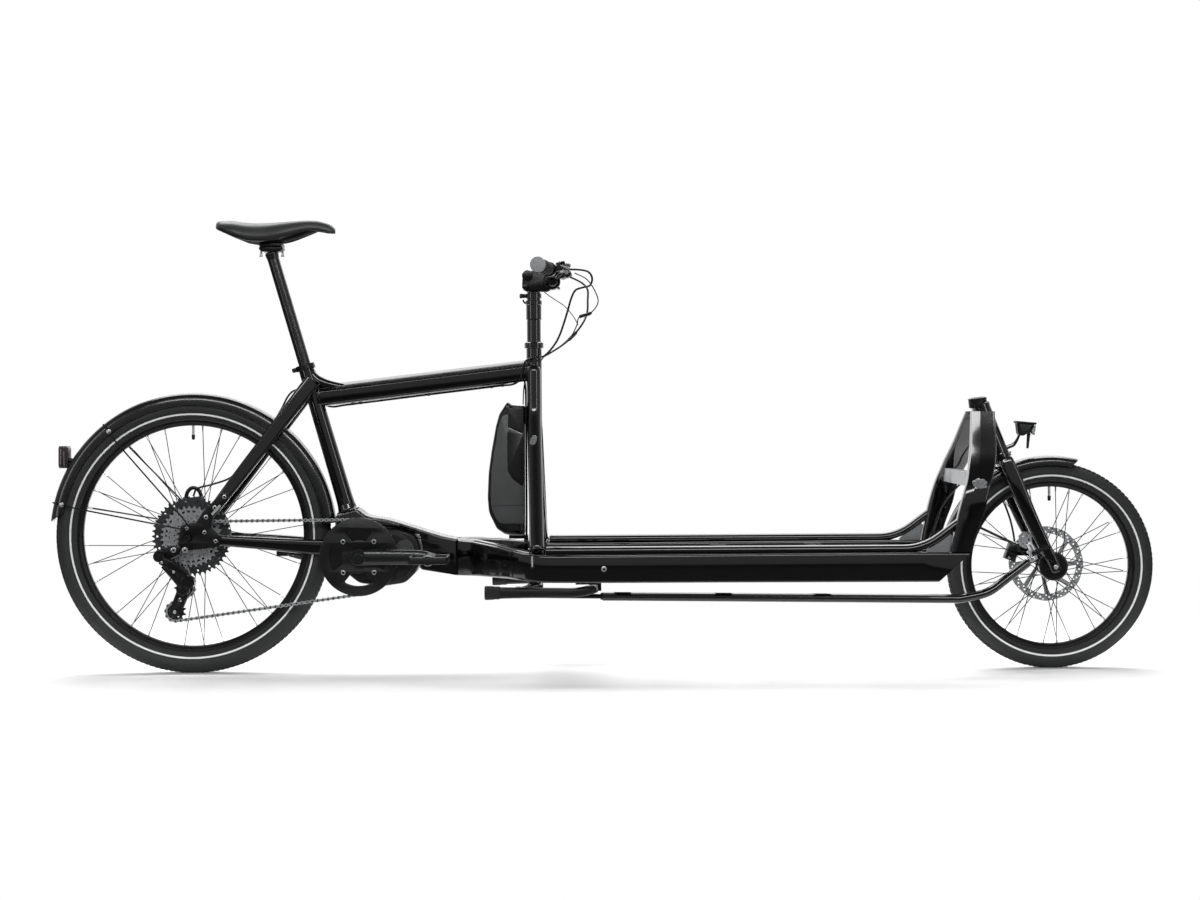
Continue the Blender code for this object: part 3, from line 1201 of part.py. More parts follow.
def stem(finish):
    """Telescope post and forward stem that clamps the bar."""
    post = rod((STEER_X, 0, 0.715), (STEER_X, 0, 0.935), 0.0118 - RUN, 12)
    cap = rod((STEER_X, 0, STEM_FOOT_Z + GAP), (STEER_X, 0, STEM_TOP_Z), 0.0185, 12)
    neck = swept([(STEER_X + 0.005, 0, 0.937), BAR_CENTRE],
                 tapered_box([(0, 0.0160, 0.0190), (1, 0.0190, 0.0170)],
                                                                       0.005))
    ring = rod(BAR_CENTRE + Vector((0, -0.022, 0)), BAR_CENTRE + Vector((0, 0.022, 0)), 0.0205, 12)
    bore = rod(BAR_CENTRE + Vector((0, -0.05, 0)), BAR_CENTRE + Vector((0, 0.05, 0)), 0.0159 + GAP, 12)
    return build_piece("stem", finish, [post, cap, neck, ring], [bore],
                       pivot=Vector((STEER_X, 0, STEM_FOOT_Z)))


def bar_path(side):
    """Centre line of one half of the handlebar."""
    return rounded_path([BAR_CENTRE, BAR_CENTRE + Vector((0, side * 0.060, 0)),
                         BAR_CENTRE + Vector((0.004, side * 0.110, 0.019)),
                         (GRIP_END.x, side * -GRIP_END.y, GRIP_END.z)], 0.06, 2)


def bar_body(grow):
    """The bar without its clamp zone, grown by a gap where it cuts what is clamped on it."""
    path = list(reversed(bar_path(-1)))[:-1] + bar_path(1)
    return pipe(path, BAR_OD / 2 + grow, 8, (0, 0, 1))


def handlebar(finish):
    """Swept bar with a thick clamp zone; both grips are fused on."""
    left, right = bar_path(1), bar_path(-1)
    bar = bar_body(0.0)
    clamp = rod(BAR_CENTRE + Vector((0, -0.030, 0)), BAR_CENTRE + Vector((0, 0.030, 0)), 0.0159, 12)
    grips = []
    for half in (left, right):
        end, start = half[-1], half[-2]
        along = (end - start).normalized()
        grips.append(rod(end - along * GRIP_LENGTH, end + along * 0.002, GRIP_OD / 2 - 0.001, 12,
                         GRIP_OD / 2))
    return build_piece("handlebar", finish, [bar, clamp] + grips, pivot=Vector((STEER_X, 0, STEM_FOOT_Z)))


def bar_point(side, distance):
    """Point of the handlebar's centre line at a distance in from its end, and its direction."""
    path = bar_path(side)
    along = (path[-1] - path[-2]).normalized()
    return path[-1] - along * distance, along


def brake_control(name, side, finish):
    """Master cylinder clamped on the bar, with its reservoir and the display or shifter beside it."""
    at, along = bar_point(side, 0.158)
    ahead = LEVER_AHEAD
    ring = rod(at - along * 0.008, at + along * 0.008, 0.0170, 10)
    body = swept([at + ahead * 0.026 - along * 0.036, at + ahead * 0.028 + along * 0.020],
                 tapered_box([(0, 0.0085, 0.0090), (1, 0.0115, 0.0110)], 0.003), (0, 0, 1))
    bridge = swept([at + ahead * 0.010, at + ahead * 0.030], lambda i, t: soft_box(0.0085, 0.0075, 0.002))
    pod_at, _ = bar_point(side, 0.205)
    pod = swept([pod_at + ahead * 0.004, pod_at + ahead * 0.034],
                tapered_box([(0, 0.011, 0.014), (1, 0.014, 0.010)],
                                                                             0.003))
    pivot = lever_pivot(side)
    above = ahead.cross(Vector((0, 1, 0)))
    ears = [swept([pivot - ahead * 0.014 + above * up, pivot + ahead * 0.005 + above * up],
                  lambda i, t: soft_box(0.0055, 0.0011, 0.0005)) for up in (0.0073, -0.0073)]
    return build_piece(name, finish, [body, bridge, ring, pod, pod_link(side)] + ears, [bar_body(GAP)],
                       pivot=Vector((STEER_X, 0, STEM_FOOT_Z)))


def pod_link(side):
    """Short arm between the brake clamp and the pod beside it."""
    at, _ = bar_point(side, 0.150)
    pod_at, _ = bar_point(side, 0.205)
    ahead = LEVER_AHEAD
    return swept([at + ahead * 0.024, pod_at + ahead * 0.022], lambda i, t: soft_box(0.004, 0.005, 0.001))


def lever_pivot(side):
    """Where a brake lever turns on its master cylinder."""
    at, along = bar_point(side, 0.140)
    return at + LEVER_AHEAD * 0.0475 + along * 0.004


def brake_lever(name, side, finish):
    """Two-finger brake lever."""
    pivot = lever_pivot(side)
    _, along = bar_point(side, 0.1)
    ahead = LEVER_AHEAD
    path = rounded_path([pivot - along * 0.004, pivot + along * 0.025 + ahead * 0.004,
                         pivot + along * 0.070 - ahead * 0.004, pivot + along * 0.092 + ahead * 0.004],
                        0.05, 3)
    blade = swept(path, tapered_box([(0, 0.0060, 0.0044), (0.3, 0.0048, 0.0054), (1, 0.0040, 0.0055)],
                                    0.0015))
    return build_piece(name, finish, [blade], pivot=pivot)


def fork_blade(side, grow=0.0):
    """One fork blade, curved forward to the axle; grown by a gap where it cuts what is bolted to it."""
    hub_drop = (FRONT_HUB - FORK_TOP).dot(STEER_DOWN)
    stations = [(CROWN_DROP - 0.0065, 0.0, 0.0530, 0.0085, 0.0160),
                (CROWN_DROP + 0.0385, 0.0, 0.0590, 0.0095, 0.0180),
                (hub_drop - 0.1218, 0.002, 0.0600, 0.0090, 0.0170),
                (hub_drop - 0.0368, FORK_RAKE - 0.003, 0.0580, 0.0065, 0.0130),
                (hub_drop + 0.0120, FORK_RAKE, 0.0565, 0.0060, 0.0120)]
    rings = []
    for drop, forward, y, w, h in stations:
        centre = steer_point(drop) + STEER_AHEAD * forward + Vector((0, side * y, 0))
        rings.append([centre + Vector((0, a, 0)) + STEER_AHEAD * b
                      for a, b in soft_box(w + grow, h + grow, 0.003)])
    return lofted(rings)


def fork(finish):
    """Rigid fork: steerer, crown, two blades, axle and the steering arm on the drive side."""
    steerer = rod(steer_point(-0.0165), steer_point(FORK_HEAD_LENGTH + 0.008), STEERER_OD / 2, 12)
    cap = rod(steer_point(-0.0150), steer_point(-GAP), FORK_HEAD_OD / 2 + 0.0015, 12)
    seat = rod(steer_point(FORK_HEAD_LENGTH + GAP), steer_point(FORK_HEAD_LENGTH + 0.009), FORK_HEAD_OD / 2,
               12)
    crown_at = steer_point(CROWN_DROP)
    crown = swept([crown_at + Vector((0, -0.060, 0)), crown_at + Vector((0, 0.060, 0))],
                  lambda i, t: soft_box(CROWN_HALF, 0.0075, 0.003), -STEER_DOWN)
    solids = [steerer, cap, seat, crown, fork_blade(-1), fork_blade(1)]
    solids.append(rod(FRONT_HUB + Vector((0, -0.0660, 0)), FRONT_HUB + Vector((0, 0.0660, 0)), AXLE_R, 10))
    solids.append(rod(FRONT_HUB + Vector((0, -0.0700, 0)), FRONT_HUB + Vector((0, -0.0600, 0)), 0.0085, 8))
    eye = ROD_FRONT
    arm_start = steer_point((eye - FORK_TOP).dot(STEER_DOWN)) + STEER_AHEAD * 0.006 + Vector((0, -0.058, 0))
    solids.append(swept([arm_start, arm_start + (eye - arm_start) * 0.5, eye],
                        tapered_box([(0, 0.0120, 0.0060), (1, 0.0085, 0.0045)], 0.002), -STEER_DOWN))
    solids.append(rod(eye + STEER_DOWN * 0.0165, eye, 0.0040, 10))
    return build_piece("fork", finish, solids, pivot=FORK_TOP)


def tie_rod(finish):
    """Steering rod under the deck: thin rear shank, main tube, and a rise to the fork's arm."""
    rear = Vector((STEER_X + COLUMN_ARM.x, COLUMN_ARM.y, ARM_Z - 0.0105))
    front = ROD_FRONT + STEER_DOWN * 0.0105
    shank = pipe(rounded_path([rear + Vector((0.006, 0, 0)), (-0.150, -0.113, rear.z + 0.0005),
                               (-0.055, ROD_Y, 0.1915),
                               (0.010, ROD_Y, 0.1910)], 0.05, 2), 0.0055, 6)
    rise = Vector((ROD_FRONT.x - 0.105, ROD_FRONT.y - 0.026, 0.1930))
    path = rounded_path([(0.000, ROD_Y, 0.1910), (ROD_FRONT.x - 0.172, ROD_Y, 0.1800), rise,
                         front + (rise - front).normalized() * 0.030], 0.10, 3)
    path.append(front + (path[-1] - front).normalized() * 0.007)
    full = round_section(ROD_OD / 2, 8)(0, 0)
    swaged = [(a * 0.42, b * 0.42) for a, b in full]
    tube = swept(path, lambda i, t: swaged if i == len(path) - 1 else full)
    rear_eye = rod(rear + Vector((0, 0, -0.0050)), rear + Vector((0, 0, 0.0050)), 0.0110, 10)
    front_eye = rod(front - STEER_DOWN * 0.0050, front + STEER_DOWN * 0.0050, 0.0120, 10)
    cuts = [rod(rear + Vector((0, 0, -0.02)), rear + Vector((0, 0, 0.02)), 0.0045 + RUN, 8),
            rod(front - STEER_DOWN * 0.02, front + STEER_DOWN * 0.02, 0.0064, 8)]
    return build_piece("tie_rod", finish, [tube, shank, rear_eye, front_eye], cuts, pivot=rear)


def front_mudguard(finish):
    """Front guard from ahead of the fork to behind the wheel, with a wire stay on each side."""
    shell = mudguard_shell(FRONT_HUB, FRONT_GUARD_R, radians(74), radians(172), 13, 0.054)
    solids = [shell]
    for side in (-1, 1):
        start = FRONT_HUB + Vector((-0.004, side * 0.0672, 0.011))
        behind = FRONT_HUB + Vector((-0.035, side * 0.0680, 0.027))
        near = on_circle(FRONT_HUB, FRONT_GUARD_R - 0.0275, 152, side * 0.0400)
        tip = on_circle(FRONT_HUB, FRONT_GUARD_R - 0.0070, 152, side * 0.0235)
        solids.append(pipe([start, behind, near, tip], STAY_WIRE_R, 4, (0, 1, 0)))
    return build_piece("front_mudguard", finish, solids, pivot=FORK_TOP)


# Seat

def seat_post(finish):
    """Seat post with its two-bolt head under the saddle."""
    foot = SEAT_TUBE_TOP - SEAT_TUBE_LINE * POST_IN_TUBE
    post = rod(foot, POST_HEAD, SEAT_POST_OD / 2, 12)
    head = swept([POST_HEAD + Vector((-0.022, 0, 0.006)), POST_HEAD + Vector((0.022, 0, 0.006))],
                 lambda i, t: soft_box(0.0205, 0.0085, 0.003))
    ear = [rod(POST_HEAD + Vector((dx, 0, 0.020)), POST_HEAD + Vector((dx, 0, -0.012)), 0.0035, 8) for dx in
           (-0.026, 0.026)]
    top = swept([POST_HEAD + Vector((-0.030, 0, 0.0215)), POST_HEAD + Vector((0.030, 0, 0.0215))],
                lambda i, t: soft_box(0.0270, 0.0040, 0.0015))
    link = swept([POST_HEAD + Vector((-0.030, 0, 0.006)), POST_HEAD + Vector((0.030, 0, 0.006))],
                 lambda i, t: soft_box(0.0070, 0.0060, 0.002))
    return build_piece("seat_post", finish, [post, head, link, top] + ear, pivot=SEAT_TUBE_TOP)


def saddle(finish):
    """Sport saddle: wide tail, waist and nose, hollow below, with its two rails."""
    stations = [(-0.9190, 1.0800, 0.030, 0.012), (-0.9050, 1.0845, 0.060, 0.022),
                (-0.8700, 1.0855, 0.0725, 0.030),
                (-0.8220, 1.0815, 0.0650, 0.033), (-0.7750, 1.0830, 0.0420, 0.030),
                (-0.7300, 1.0870, 0.0270, 0.026),
                (-0.6900, 1.0875, 0.0205, 0.024), (-0.6550, 1.0800, 0.0175, 0.022),
                (-0.6380, 1.0680, 0.0120, 0.014)]
    rings = []
    for x, top, w, depth in stations:
        rings.append([Vector((x, w * a, top - depth * b)) for a, b in
                      ((0, 0.0), (0.55, 0.06), (0.88, 0.35), (1.0, 0.85), (0.90, 1.0), (0.45, 0.42),
                       (0, 0.36),
                       (-0.45, 0.42), (-0.90, 1.0), (-1.0, 0.85), (-0.88, 0.35), (-0.55, 0.06))])
    solids = [lofted(rings)]
    for side in (-1, 1):
        path = rounded_path([(-0.880, side * 0.034, 1.072), (-0.862, side * 0.030, 1.046),
                             (-0.835, side * 0.0220, POST_HEAD.z + 0.0310),
                             (-0.760, side * 0.0220, POST_HEAD.z + 0.0310),
                             (-0.700, side * 0.014, 1.056), (-0.664, side * 0.006, 1.072)], 0.02, 2)
        solids.append(pipe(path, 0.0035, 6))
    return build_piece("saddle", finish, solids, pivot=SEAT_TUBE_TOP)


# Hoses

def smooth_route(points):
    """Points of a smooth curve through a hose's own points, halved where they lie close."""
    points = [Vector(p) for p in points]
    route = []
    for i in range(len(points) - 1):
        p0, p1 = points[max(i - 1, 0)], points[i]
        p2, p3 = points[i + 1], points[min(i + 2, len(points) - 1)]
        reach = min(1.0, 2 * (p2 - p1).length / max((p2 - p0).length, 1e-9))
        lead = min(1.0, 2 * (p2 - p1).length / max((p3 - p1).length, 1e-9))
        m1, m2 = (p2 - p0) * 0.5 * reach, (p3 - p1) * 0.5 * lead
        steps = 2 if (p2 - p1).length < 0.08 else 1
        for k in range(steps):
            t = k / steps
            route.append(p1 * (2 * t ** 3 - 3 * t ** 2 + 1) + m1 * (t ** 3 - 2 * t ** 2 + t)
                         + p2 * (3 * t ** 2 - 2 * t ** 3) + m2 * (t ** 3 - t ** 2))
    return route + [points[-1]]


def hose(name, points, finish):
    """A brake hose as a bevelled curve with filled ends."""
    curve = bpy.data.curves.new(name, "CURVE")
    curve.dimensions = "3D"
    curve.bevel_depth = HOSE_OD / 2
    curve.bevel_resolution = 1
    curve.use_fill_caps = True
    spline = curve.splines.new("POLY")
    route = smooth_route(points)
    spline.points.add(len(route) - 1)
    for point, place in zip(spline.points, route):
        point.co = (*place, 1.0)
    spline.use_smooth = True
    curve.materials.append(material(name, finish))
    obj = bpy.data.objects.new(name, curve)
    bpy.context.scene.collection.objects.link(obj)
    return obj


def control_outlet(side):
    """Where a hose leaves the front of its master cylinder, and a point straight ahead of it."""
    at, along = bar_point(side, 0.158)
    ahead = LEVER_AHEAD
    start = at - along * 0.028 + ahead * 0.0370
    return [start, start + ahead * 0.016]


def beside_head_tube(side):
    """Round the head tube, over the leg's top and down beside the top tube."""
    return [(-0.1340, side * 0.0140, 0.7580), (-0.1480, side * 0.0225, 0.7545),
            (-0.1640, side * 0.0265, 0.7525),
            (-0.1800, side * 0.0265, 0.7440), (-0.1860, side * 0.0255, 0.7250)]


def rear_brake_hose(finish):
    """From the right lever under the top tube, round the seat tube and down the far seat stay."""
    points = control_outlet(-1)
    points += [(-0.0420, -0.0980, 0.9560), (-0.0360, -0.0640, 0.9080), (-0.0560, -0.0340, 0.8360),
               (-0.0960, -0.0180, 0.7800)]
    points += beside_head_tube(-1)
    points += [(-0.1915, -0.0235, 0.7040), (-0.2080, -0.0140, 0.6870), (-0.2400, -0.0040, 0.6812),
               (-0.4200, 0.0000, 0.6600), (-0.6180, 0.0040, 0.6366), (-0.6520, 0.0180, 0.6345),
               (-0.6840, 0.0475, 0.6520)]
    points += [seatstay_point(t, y, above) for t, y, above in
               ((0.9388, 0.0500, 0.0035), (0.9090, 0.0420, 0.0230), (0.7741, 0.0400, 0.0235),
                (0.5747, 0.0465, 0.0227),
                (0.3394, 0.0570, 0.0232), (0.2461, 0.0600, 0.0292))]
    points += [REAR_HUB + Vector(p) for p in ((0.0320, 0.0600, 0.1200), (-0.0030, 0.0570, 0.1100),
                                              (-0.0120, 0.0565, 0.0920))]
    return hose("brake_hose_rear", points, finish)


def front_brake_hose(finish):
    """From the left lever down behind the column, under the deck and over to the fork."""
    points = control_outlet(1)
    points += [(-0.0380, 0.1000, 0.9650), (-0.0260, 0.0720, 0.9300), (-0.0420, 0.0400, 0.8600),
               (-0.0840, 0.0200, 0.7920)]
    points += beside_head_tube(1)
    points += [(-0.1820, 0.0255, 0.6800), (-0.1808, 0.0250, 0.6300), (-0.1808, 0.0250, 0.4000),
               (-0.1815, 0.0310, 0.3300), (-0.1825, 0.0330, 0.2700), (-0.1740, 0.0345, 0.2420),
               (-0.1400, 0.0390, 0.2380), (-0.0600, 0.0800, 0.2390), (0.0300, 0.1500, 0.2430),
               (0.1100, 0.1870, 0.2460), (0.7200, 0.1870, 0.2460), (0.7900, 0.1880, 0.2640)]
    points += [upright_point(t, ahead, y) for t, ahead, y in
               ((0.0420, 0.0174, 0.1900), (0.2187, 0.0209, 0.1890), (0.3661, 0.0367, 0.1740),
                (0.4487, 0.0596, 0.1380))]
    points += [FRONT_HUB + Vector(p) for p in
               ((-0.1310, 0.0880, 0.1950), (-0.1030, 0.0600, 0.1580), (-0.0860, 0.0500, 0.1130),
                (-0.0780, 0.0475, 0.0780), (-0.0742, 0.0475, 0.0530))]
    return hose("brake_hose_front", points, finish)


# Assembly

CARRIED = (("rear_wheel", ("rear_tyre", "rear_rotor")),
           ("front_wheel", ("front_tyre", "front_rotor")),
           ("crank_right", ("crank_left", "pedal_right")),
           ("crank_left", ("pedal_left",)),
           ("fork", ("front_wheel", "front_mudguard", "headlight", "front_caliper")),
           ("steering_column", ("stem", "tie_rod")),
           ("stem", ("handlebar", "brake_control_right", "brake_control_left")),
           ("brake_control_right", ("brake_lever_right",)),
           ("brake_control_left", ("brake_lever_left",)),
           ("seat_post", ("saddle",)))


def hang_together():
    """Parent each moving piece to the one that carries it."""
    for parent, children in CARRIED:
        carry(bpy.data.objects[parent], [bpy.data.objects[child] for child in children])


def build_bike():
    """Make every piece and hang it on what carries it."""
    for obj in list(bpy.data.objects):
        bpy.data.objects.remove(obj)
    seat_tube(GLOSS_PAINT)
    seat_collar(ANODISED)
    top_tube(GLOSS_PAINT)
    head_tube(GLOSS_PAINT)
    for side, word in ((-1, "right"), (1, "left")):
        leg("column_leg_" + word, side, GLOSS_PAINT)
        deck_beam("deck_beam_" + word, side, GLOSS_PAINT)
        upright("upright_" + word, side, GLOSS_PAINT)
        chainstay("chainstay_" + word, side, GLOSS_PAINT)
        seatstay("seatstay_" + word, side, GLOSS_PAINT)
    main_beam(GLOSS_PAINT)
    for place, x in (("rear", 0.050), ("middle", 0.290), ("front", 0.525)):
        cross_member("cross_member_" + place, x, GLOSS_PAINT)
    column_bridge(GLOSS_PAINT)
    cross_plate(ALUMINIUM)
    fork_head_tube(GLOSS_PAINT)
    motor(MOULDED)
    battery(BATTERY_GREY)
    rear_mudguard(MOULDED)
    rear_light(RED_LENS)
    chain(BRIGHT_STEEL)
    derailleur(ANODISED)
    rear_axle(BRIGHT_STEEL)
    stand_bracket(ANODISED)

    rear_hub_profile = [(AXLE_R + RUN, -0.0248), (0.018, -0.0248), (0.018, -0.0226), (0.029, -0.0229),
                        (0.029, -0.0181), (0.015, -0.0160), (0.015, 0.0290), (0.029, 0.0311), (0.029, 0.0359),
                        (0.021, 0.0380), (0.021, REAR_ROTOR_Y - ROTOR_THICK / 2 - GAP),
                        (0.0150, REAR_ROTOR_Y - ROTOR_THICK / 2 - GAP), (0.0150, 0.0610),
                        (AXLE_R + RUN, 0.0610)]
    front_hub_profile = [(AXLE_R + RUN, -0.0490), (0.030, -0.0490), (0.0345, -0.0460), (0.0345, -0.0270),
                         (0.026, -0.0210), (0.020, -0.0190), (0.020, 0.0190), (0.029, 0.0211),
                         (0.029, 0.0259),
                         (0.021, 0.0280), (0.021, FRONT_ROTOR_Y - ROTOR_THICK / 2 - GAP),
                         (0.0150, FRONT_ROTOR_Y - ROTOR_THICK / 2 - GAP), (0.0150, 0.0480),
                         (AXLE_R + RUN, 0.0480)]
    tyre("rear_tyre", REAR_HUB, REAR_TYRE_R, REAR_BEAD_R, 36, RUBBER)
    wheel("rear_wheel", REAR_HUB, REAR_BEAD_R, 36, rear_hub_profile, 0.029, (-0.0205, 0.0335), ANODISED)
    rotor("rear_rotor", REAR_HUB, REAR_ROTOR_Y, REAR_ROTOR_R, 0.0154, 0, BRIGHT_STEEL)
    cassette(BRIGHT_STEEL)
    tyre("front_tyre", FRONT_HUB, FRONT_TYRE_R, FRONT_BEAD_R, 36, RUBBER)
    wheel("front_wheel", FRONT_HUB, FRONT_BEAD_R, 36, front_hub_profile, 0.029, (-0.0235, 0.0235), ANODISED)
    rotor("front_rotor", FRONT_HUB, FRONT_ROTOR_Y, FRONT_ROTOR_R, 0.0154, 6, BRIGHT_STEEL)

    crank_right(ANODISED)
    crank_left(ANODISED)
    pedal("pedal_right", -1, 1, ANODISED)
    pedal("pedal_left", 1, -1, ANODISED)
    jockey("jockey_guide", GUIDE_JOCKEY, MOULDED)
    jockey("jockey_tension", TENSION_JOCKEY, MOULDED)

    rear_foot = block(REAR_HUB + Vector((-0.015, REAR_ROTOR_Y + 0.006, 0.052)),
                      REAR_HUB + Vector((0.016, STAY_OUT_Y, 0.070)))
    caliper("rear_caliper", REAR_HUB, REAR_ROTOR_Y, REAR_ROTOR_R, 97, rear_foot, [], ANODISED)
    front_foot = block(FRONT_HUB + Vector((-0.075, FRONT_ROTOR_Y + 0.006, 0.019)),
                       FRONT_HUB + Vector((-0.019, FRONT_ROTOR_Y + 0.016, 0.043)))
    caliper("front_caliper", FRONT_HUB, FRONT_ROTOR_Y, FRONT_ROTOR_R, 160, front_foot, [fork_blade(1, GAP)],
            ANODISED,
            FORK_TOP)

    steering_column(ANODISED)
    stem(ANODISED)
    handlebar(ANODISED)
    for side, word in ((-1, "right"), (1, "left")):
        brake_control("brake_control_" + word, side, MOULDED)
        brake_lever("brake_lever_" + word, side, ANODISED)
    fork(GLOSS_PAINT)
    front_mudguard(MOULDED)
    headlight(MOULDED)
    tie_rod(GLOSS_PAINT)
    kickstand(MOULDED)
    seat_post(ANODISED)
    saddle(MOULDED)
    rear_brake_hose(MOULDED)
    front_brake_hose(MOULDED)
    hang_together()


build_bike()
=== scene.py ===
"""Electric cargo bike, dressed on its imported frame: metres, +X forwards, -Y the chain side, +Z up.

Shapes are grids and outlines worked out as numpy arrays. A shell is (points, quads, triangles); piece() joins
shells of one or more finishes into one object that rides on a body of the frame. Tables in mm() are in
millimetres.
"""

import math

import bpy
import numpy as np
from mathutils.geometry import tessellate_polygon
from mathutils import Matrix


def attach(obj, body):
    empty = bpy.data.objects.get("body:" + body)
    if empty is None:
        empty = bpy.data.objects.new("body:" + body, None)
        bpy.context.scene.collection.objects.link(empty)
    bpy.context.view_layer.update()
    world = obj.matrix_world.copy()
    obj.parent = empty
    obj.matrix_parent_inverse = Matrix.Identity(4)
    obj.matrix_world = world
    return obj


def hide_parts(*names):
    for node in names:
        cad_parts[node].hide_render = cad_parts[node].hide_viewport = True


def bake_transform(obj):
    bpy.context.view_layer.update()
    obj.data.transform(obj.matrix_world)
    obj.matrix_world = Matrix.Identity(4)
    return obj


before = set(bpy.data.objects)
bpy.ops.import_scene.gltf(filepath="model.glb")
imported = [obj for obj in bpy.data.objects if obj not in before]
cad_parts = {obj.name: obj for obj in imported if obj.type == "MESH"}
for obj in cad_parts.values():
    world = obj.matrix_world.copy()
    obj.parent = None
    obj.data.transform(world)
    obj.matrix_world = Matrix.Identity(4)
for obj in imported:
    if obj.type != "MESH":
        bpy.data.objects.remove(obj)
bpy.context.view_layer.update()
TAU = 2 * math.pi
scene = bpy.context.scene
scene.view_settings.view_transform = "Standard"

# Where the frame has its hubs, axes and pivots, as in the part
REAR = np.array([-0.982, 0.0, 0.33])
FRONT = np.array([1.079, 0.0, 0.247])
BOTTOM = np.array([-0.579, 0.0, 0.28])
GUIDE = np.array([-0.994, -0.053, 0.209])
TENSION = np.array([-1.017, -0.053, 0.152])
CHAIN_Y = -0.053
PITCH = 0.0127
STEER_X = -0.16
HEAD = np.array([0.913, 0.0, 0.635])
LEAN = math.radians(68.5)
DOWN = np.array([math.cos(LEAN), 0.0, -math.sin(LEAN)])
AHEAD = np.array([math.sin(LEAN), 0.0, math.cos(LEAN)])
SEAT_FOOT = np.array([-0.6095, 0.0, 0.386])
SEAT_TOP = np.array([-0.7125, 0.0, 0.74])
POST_HEAD = np.array([-0.79, 0.0, 1.006])
BAR = np.array([-0.116, 0.0, 0.937])
GRIP_END = np.array([-0.142, 0.31, 0.958])
REACH = np.array([1.0, 0.0, 0.12]) / math.hypot(1.0, 0.12)
LEVER_CLAMP = 0.158
BALL = np.array([1.01, -0.112, 0.281])


# Camera, at the photograph's place: level, five metres to the chain side

def make_camera():
    """Camera with the photograph's focal length, a slight roll and a small shift of its centre."""
    data = bpy.data.cameras.new("camera")
    cam = bpy.data.objects.new("camera", data)
    scene.collection.objects.link(cam)
    cam.location = (-0.0234, -5.0, 0.6507)
    cam.rotation_euler = (math.radians(90), math.radians(0.348), 0)
    data.sensor_width = 36
    data.lens = 36 * 2075 / 1200
    data.shift_x = 9 / 1200
    data.shift_y = -50 / 1200
    data.clip_start, data.clip_end = 0.1, 100
    scene.camera = cam


make_camera()


# Finishes

def linear(code):
    """Linear colour of an sRGB hex value."""
    c = np.array([code >> 16 & 255, code >> 8 & 255, code & 255]) / 255
    return (*np.where(c <= 0.04045, c / 12.92, ((c + 0.055) / 1.055) ** 2.4), 1.0)


def add(tree, kind, links=None, **settings):
    """Add one node, set its properties and sockets, and link the sockets given as other nodes or outputs."""
    item = tree.nodes.new("ShaderNode" + kind)
    for key, value in settings.items():
        setattr(item, key, value)
    for socket, value in (links or {}).items():
        if isinstance(value, bpy.types.Node):
            value = value.outputs[0]
        if isinstance(value, bpy.types.NodeSocket):
            tree.links.new(value, item.inputs[socket])
        else:
            item.inputs[socket].default_value = value
    return item


def finish(name, code, rough, metal=0.0, coat=0.0, grain=0.0015, depth=0.0, spread=0.0, second=None,
           patch=0.05, stretch=(1, 1, 1), **sockets):
    """Principled finish: grain in metres, its bump depth, patches of a second colour, uneven roughness."""
    made = bpy.data.materials.new(name)
    made.use_nodes = True
    tree = made.node_tree
    shader = tree.nodes["Principled BSDF"]
    shader.inputs["Base Color"].default_value = linear(code)
    shader.inputs["Roughness"].default_value = rough
    shader.inputs["Metallic"].default_value = metal
    shader.inputs["Coat Weight"].default_value = coat
    for key, value in sockets.items():
        shader.inputs[key.replace("_", " ")].default_value = value
    place = add(tree, "TexCoord")
    spot = add(tree, "Mapping", {"Vector": place.outputs["Object"], "Scale": stretch})
    blotch = add(tree, "TexNoise", {"Vector": spot, "Scale": 1 / patch, "Detail": 3.0})
    if second is not None:
        mix = add(tree, "Mix", {0: blotch.outputs["Fac"], 6: linear(code), 7: linear(second)},
                  data_type="RGBA")
        tree.links.new(mix.outputs[2], shader.inputs["Base Color"])
    if spread:
        even = add(tree, "MapRange", {"Value": blotch.outputs["Fac"], "From Min": 0.3, "From Max": 0.7,
                                      "To Min": rough - spread, "To Max": rough + spread})
        tree.links.new(even.outputs[0], shader.inputs["Roughness"])
    if depth:
        fine = add(tree, "TexNoise", {"Vector": spot, "Scale": 1 / grain, "Detail": 2.0})
        relief = add(tree, "Bump", {"Height": fine.outputs["Fac"], "Distance": depth, "Strength": 1.0})
        tree.links.new(relief.outputs[0], shader.inputs["Normal"])
    return made


# Powder coat, gloss black: deep wet shine under a clear coat, a little uneven from place to place
PAINT = finish("gloss_powder_coat", 0x040405, 0.1, coat=0.6, spread=0.02, Coat_Roughness=0.06)
# Anodised aluminium, black: satin, slightly brown where it is worn
ANODISED = finish("black_anodised_aluminium", 0x121314, 0.32, metal=0.5, grain=0.0004, depth=0.00001,
                  spread=0.06, second=0x1A1918)
# Tyre rubber: matt and a little uneven where it was moulded and has dust on it
RUBBER = finish("tyre_rubber", 0x1E1F20, 0.66, grain=0.0012, depth=0.00006, spread=0.08, second=0x272829)
# Reflex band on the side wall: fine silver glass beads in a moulded strip
REFLEX = finish("reflex_band", 0xF0F1F1, 0.45, grain=0.0006, depth=0.00002)
# Glass-filled nylon, moulded black: fine spark-eroded grain
NYLON = finish("moulded_black_nylon", 0x0E0F10, 0.42, grain=0.0006, depth=0.00003, spread=0.05,
               second=0x141516, Specular_IOR_Level=0.35)
# Gloss polycarbonate of the mudguards: softer shine than the lacquer's
GUARD = finish("black_polycarbonate", 0x0C0D0E, 0.2, coat=0.3, grain=0.004, depth=0.00002, spread=0.04)
# Stainless steel, ground: bright and finely streaked brake discs and small hardware
STEEL = finish("ground_stainless_steel", 0xC2C4C6, 0.32, metal=0.85, grain=0.0005, depth=0.00001, spread=0.06)
# Nickel-plated steel of chain and cogs, darker between the plates
PLATED = finish("nickel_plated_steel", 0xCACCCE, 0.3, metal=0.6, spread=0.08, second=0x9C9EA0, patch=0.01)
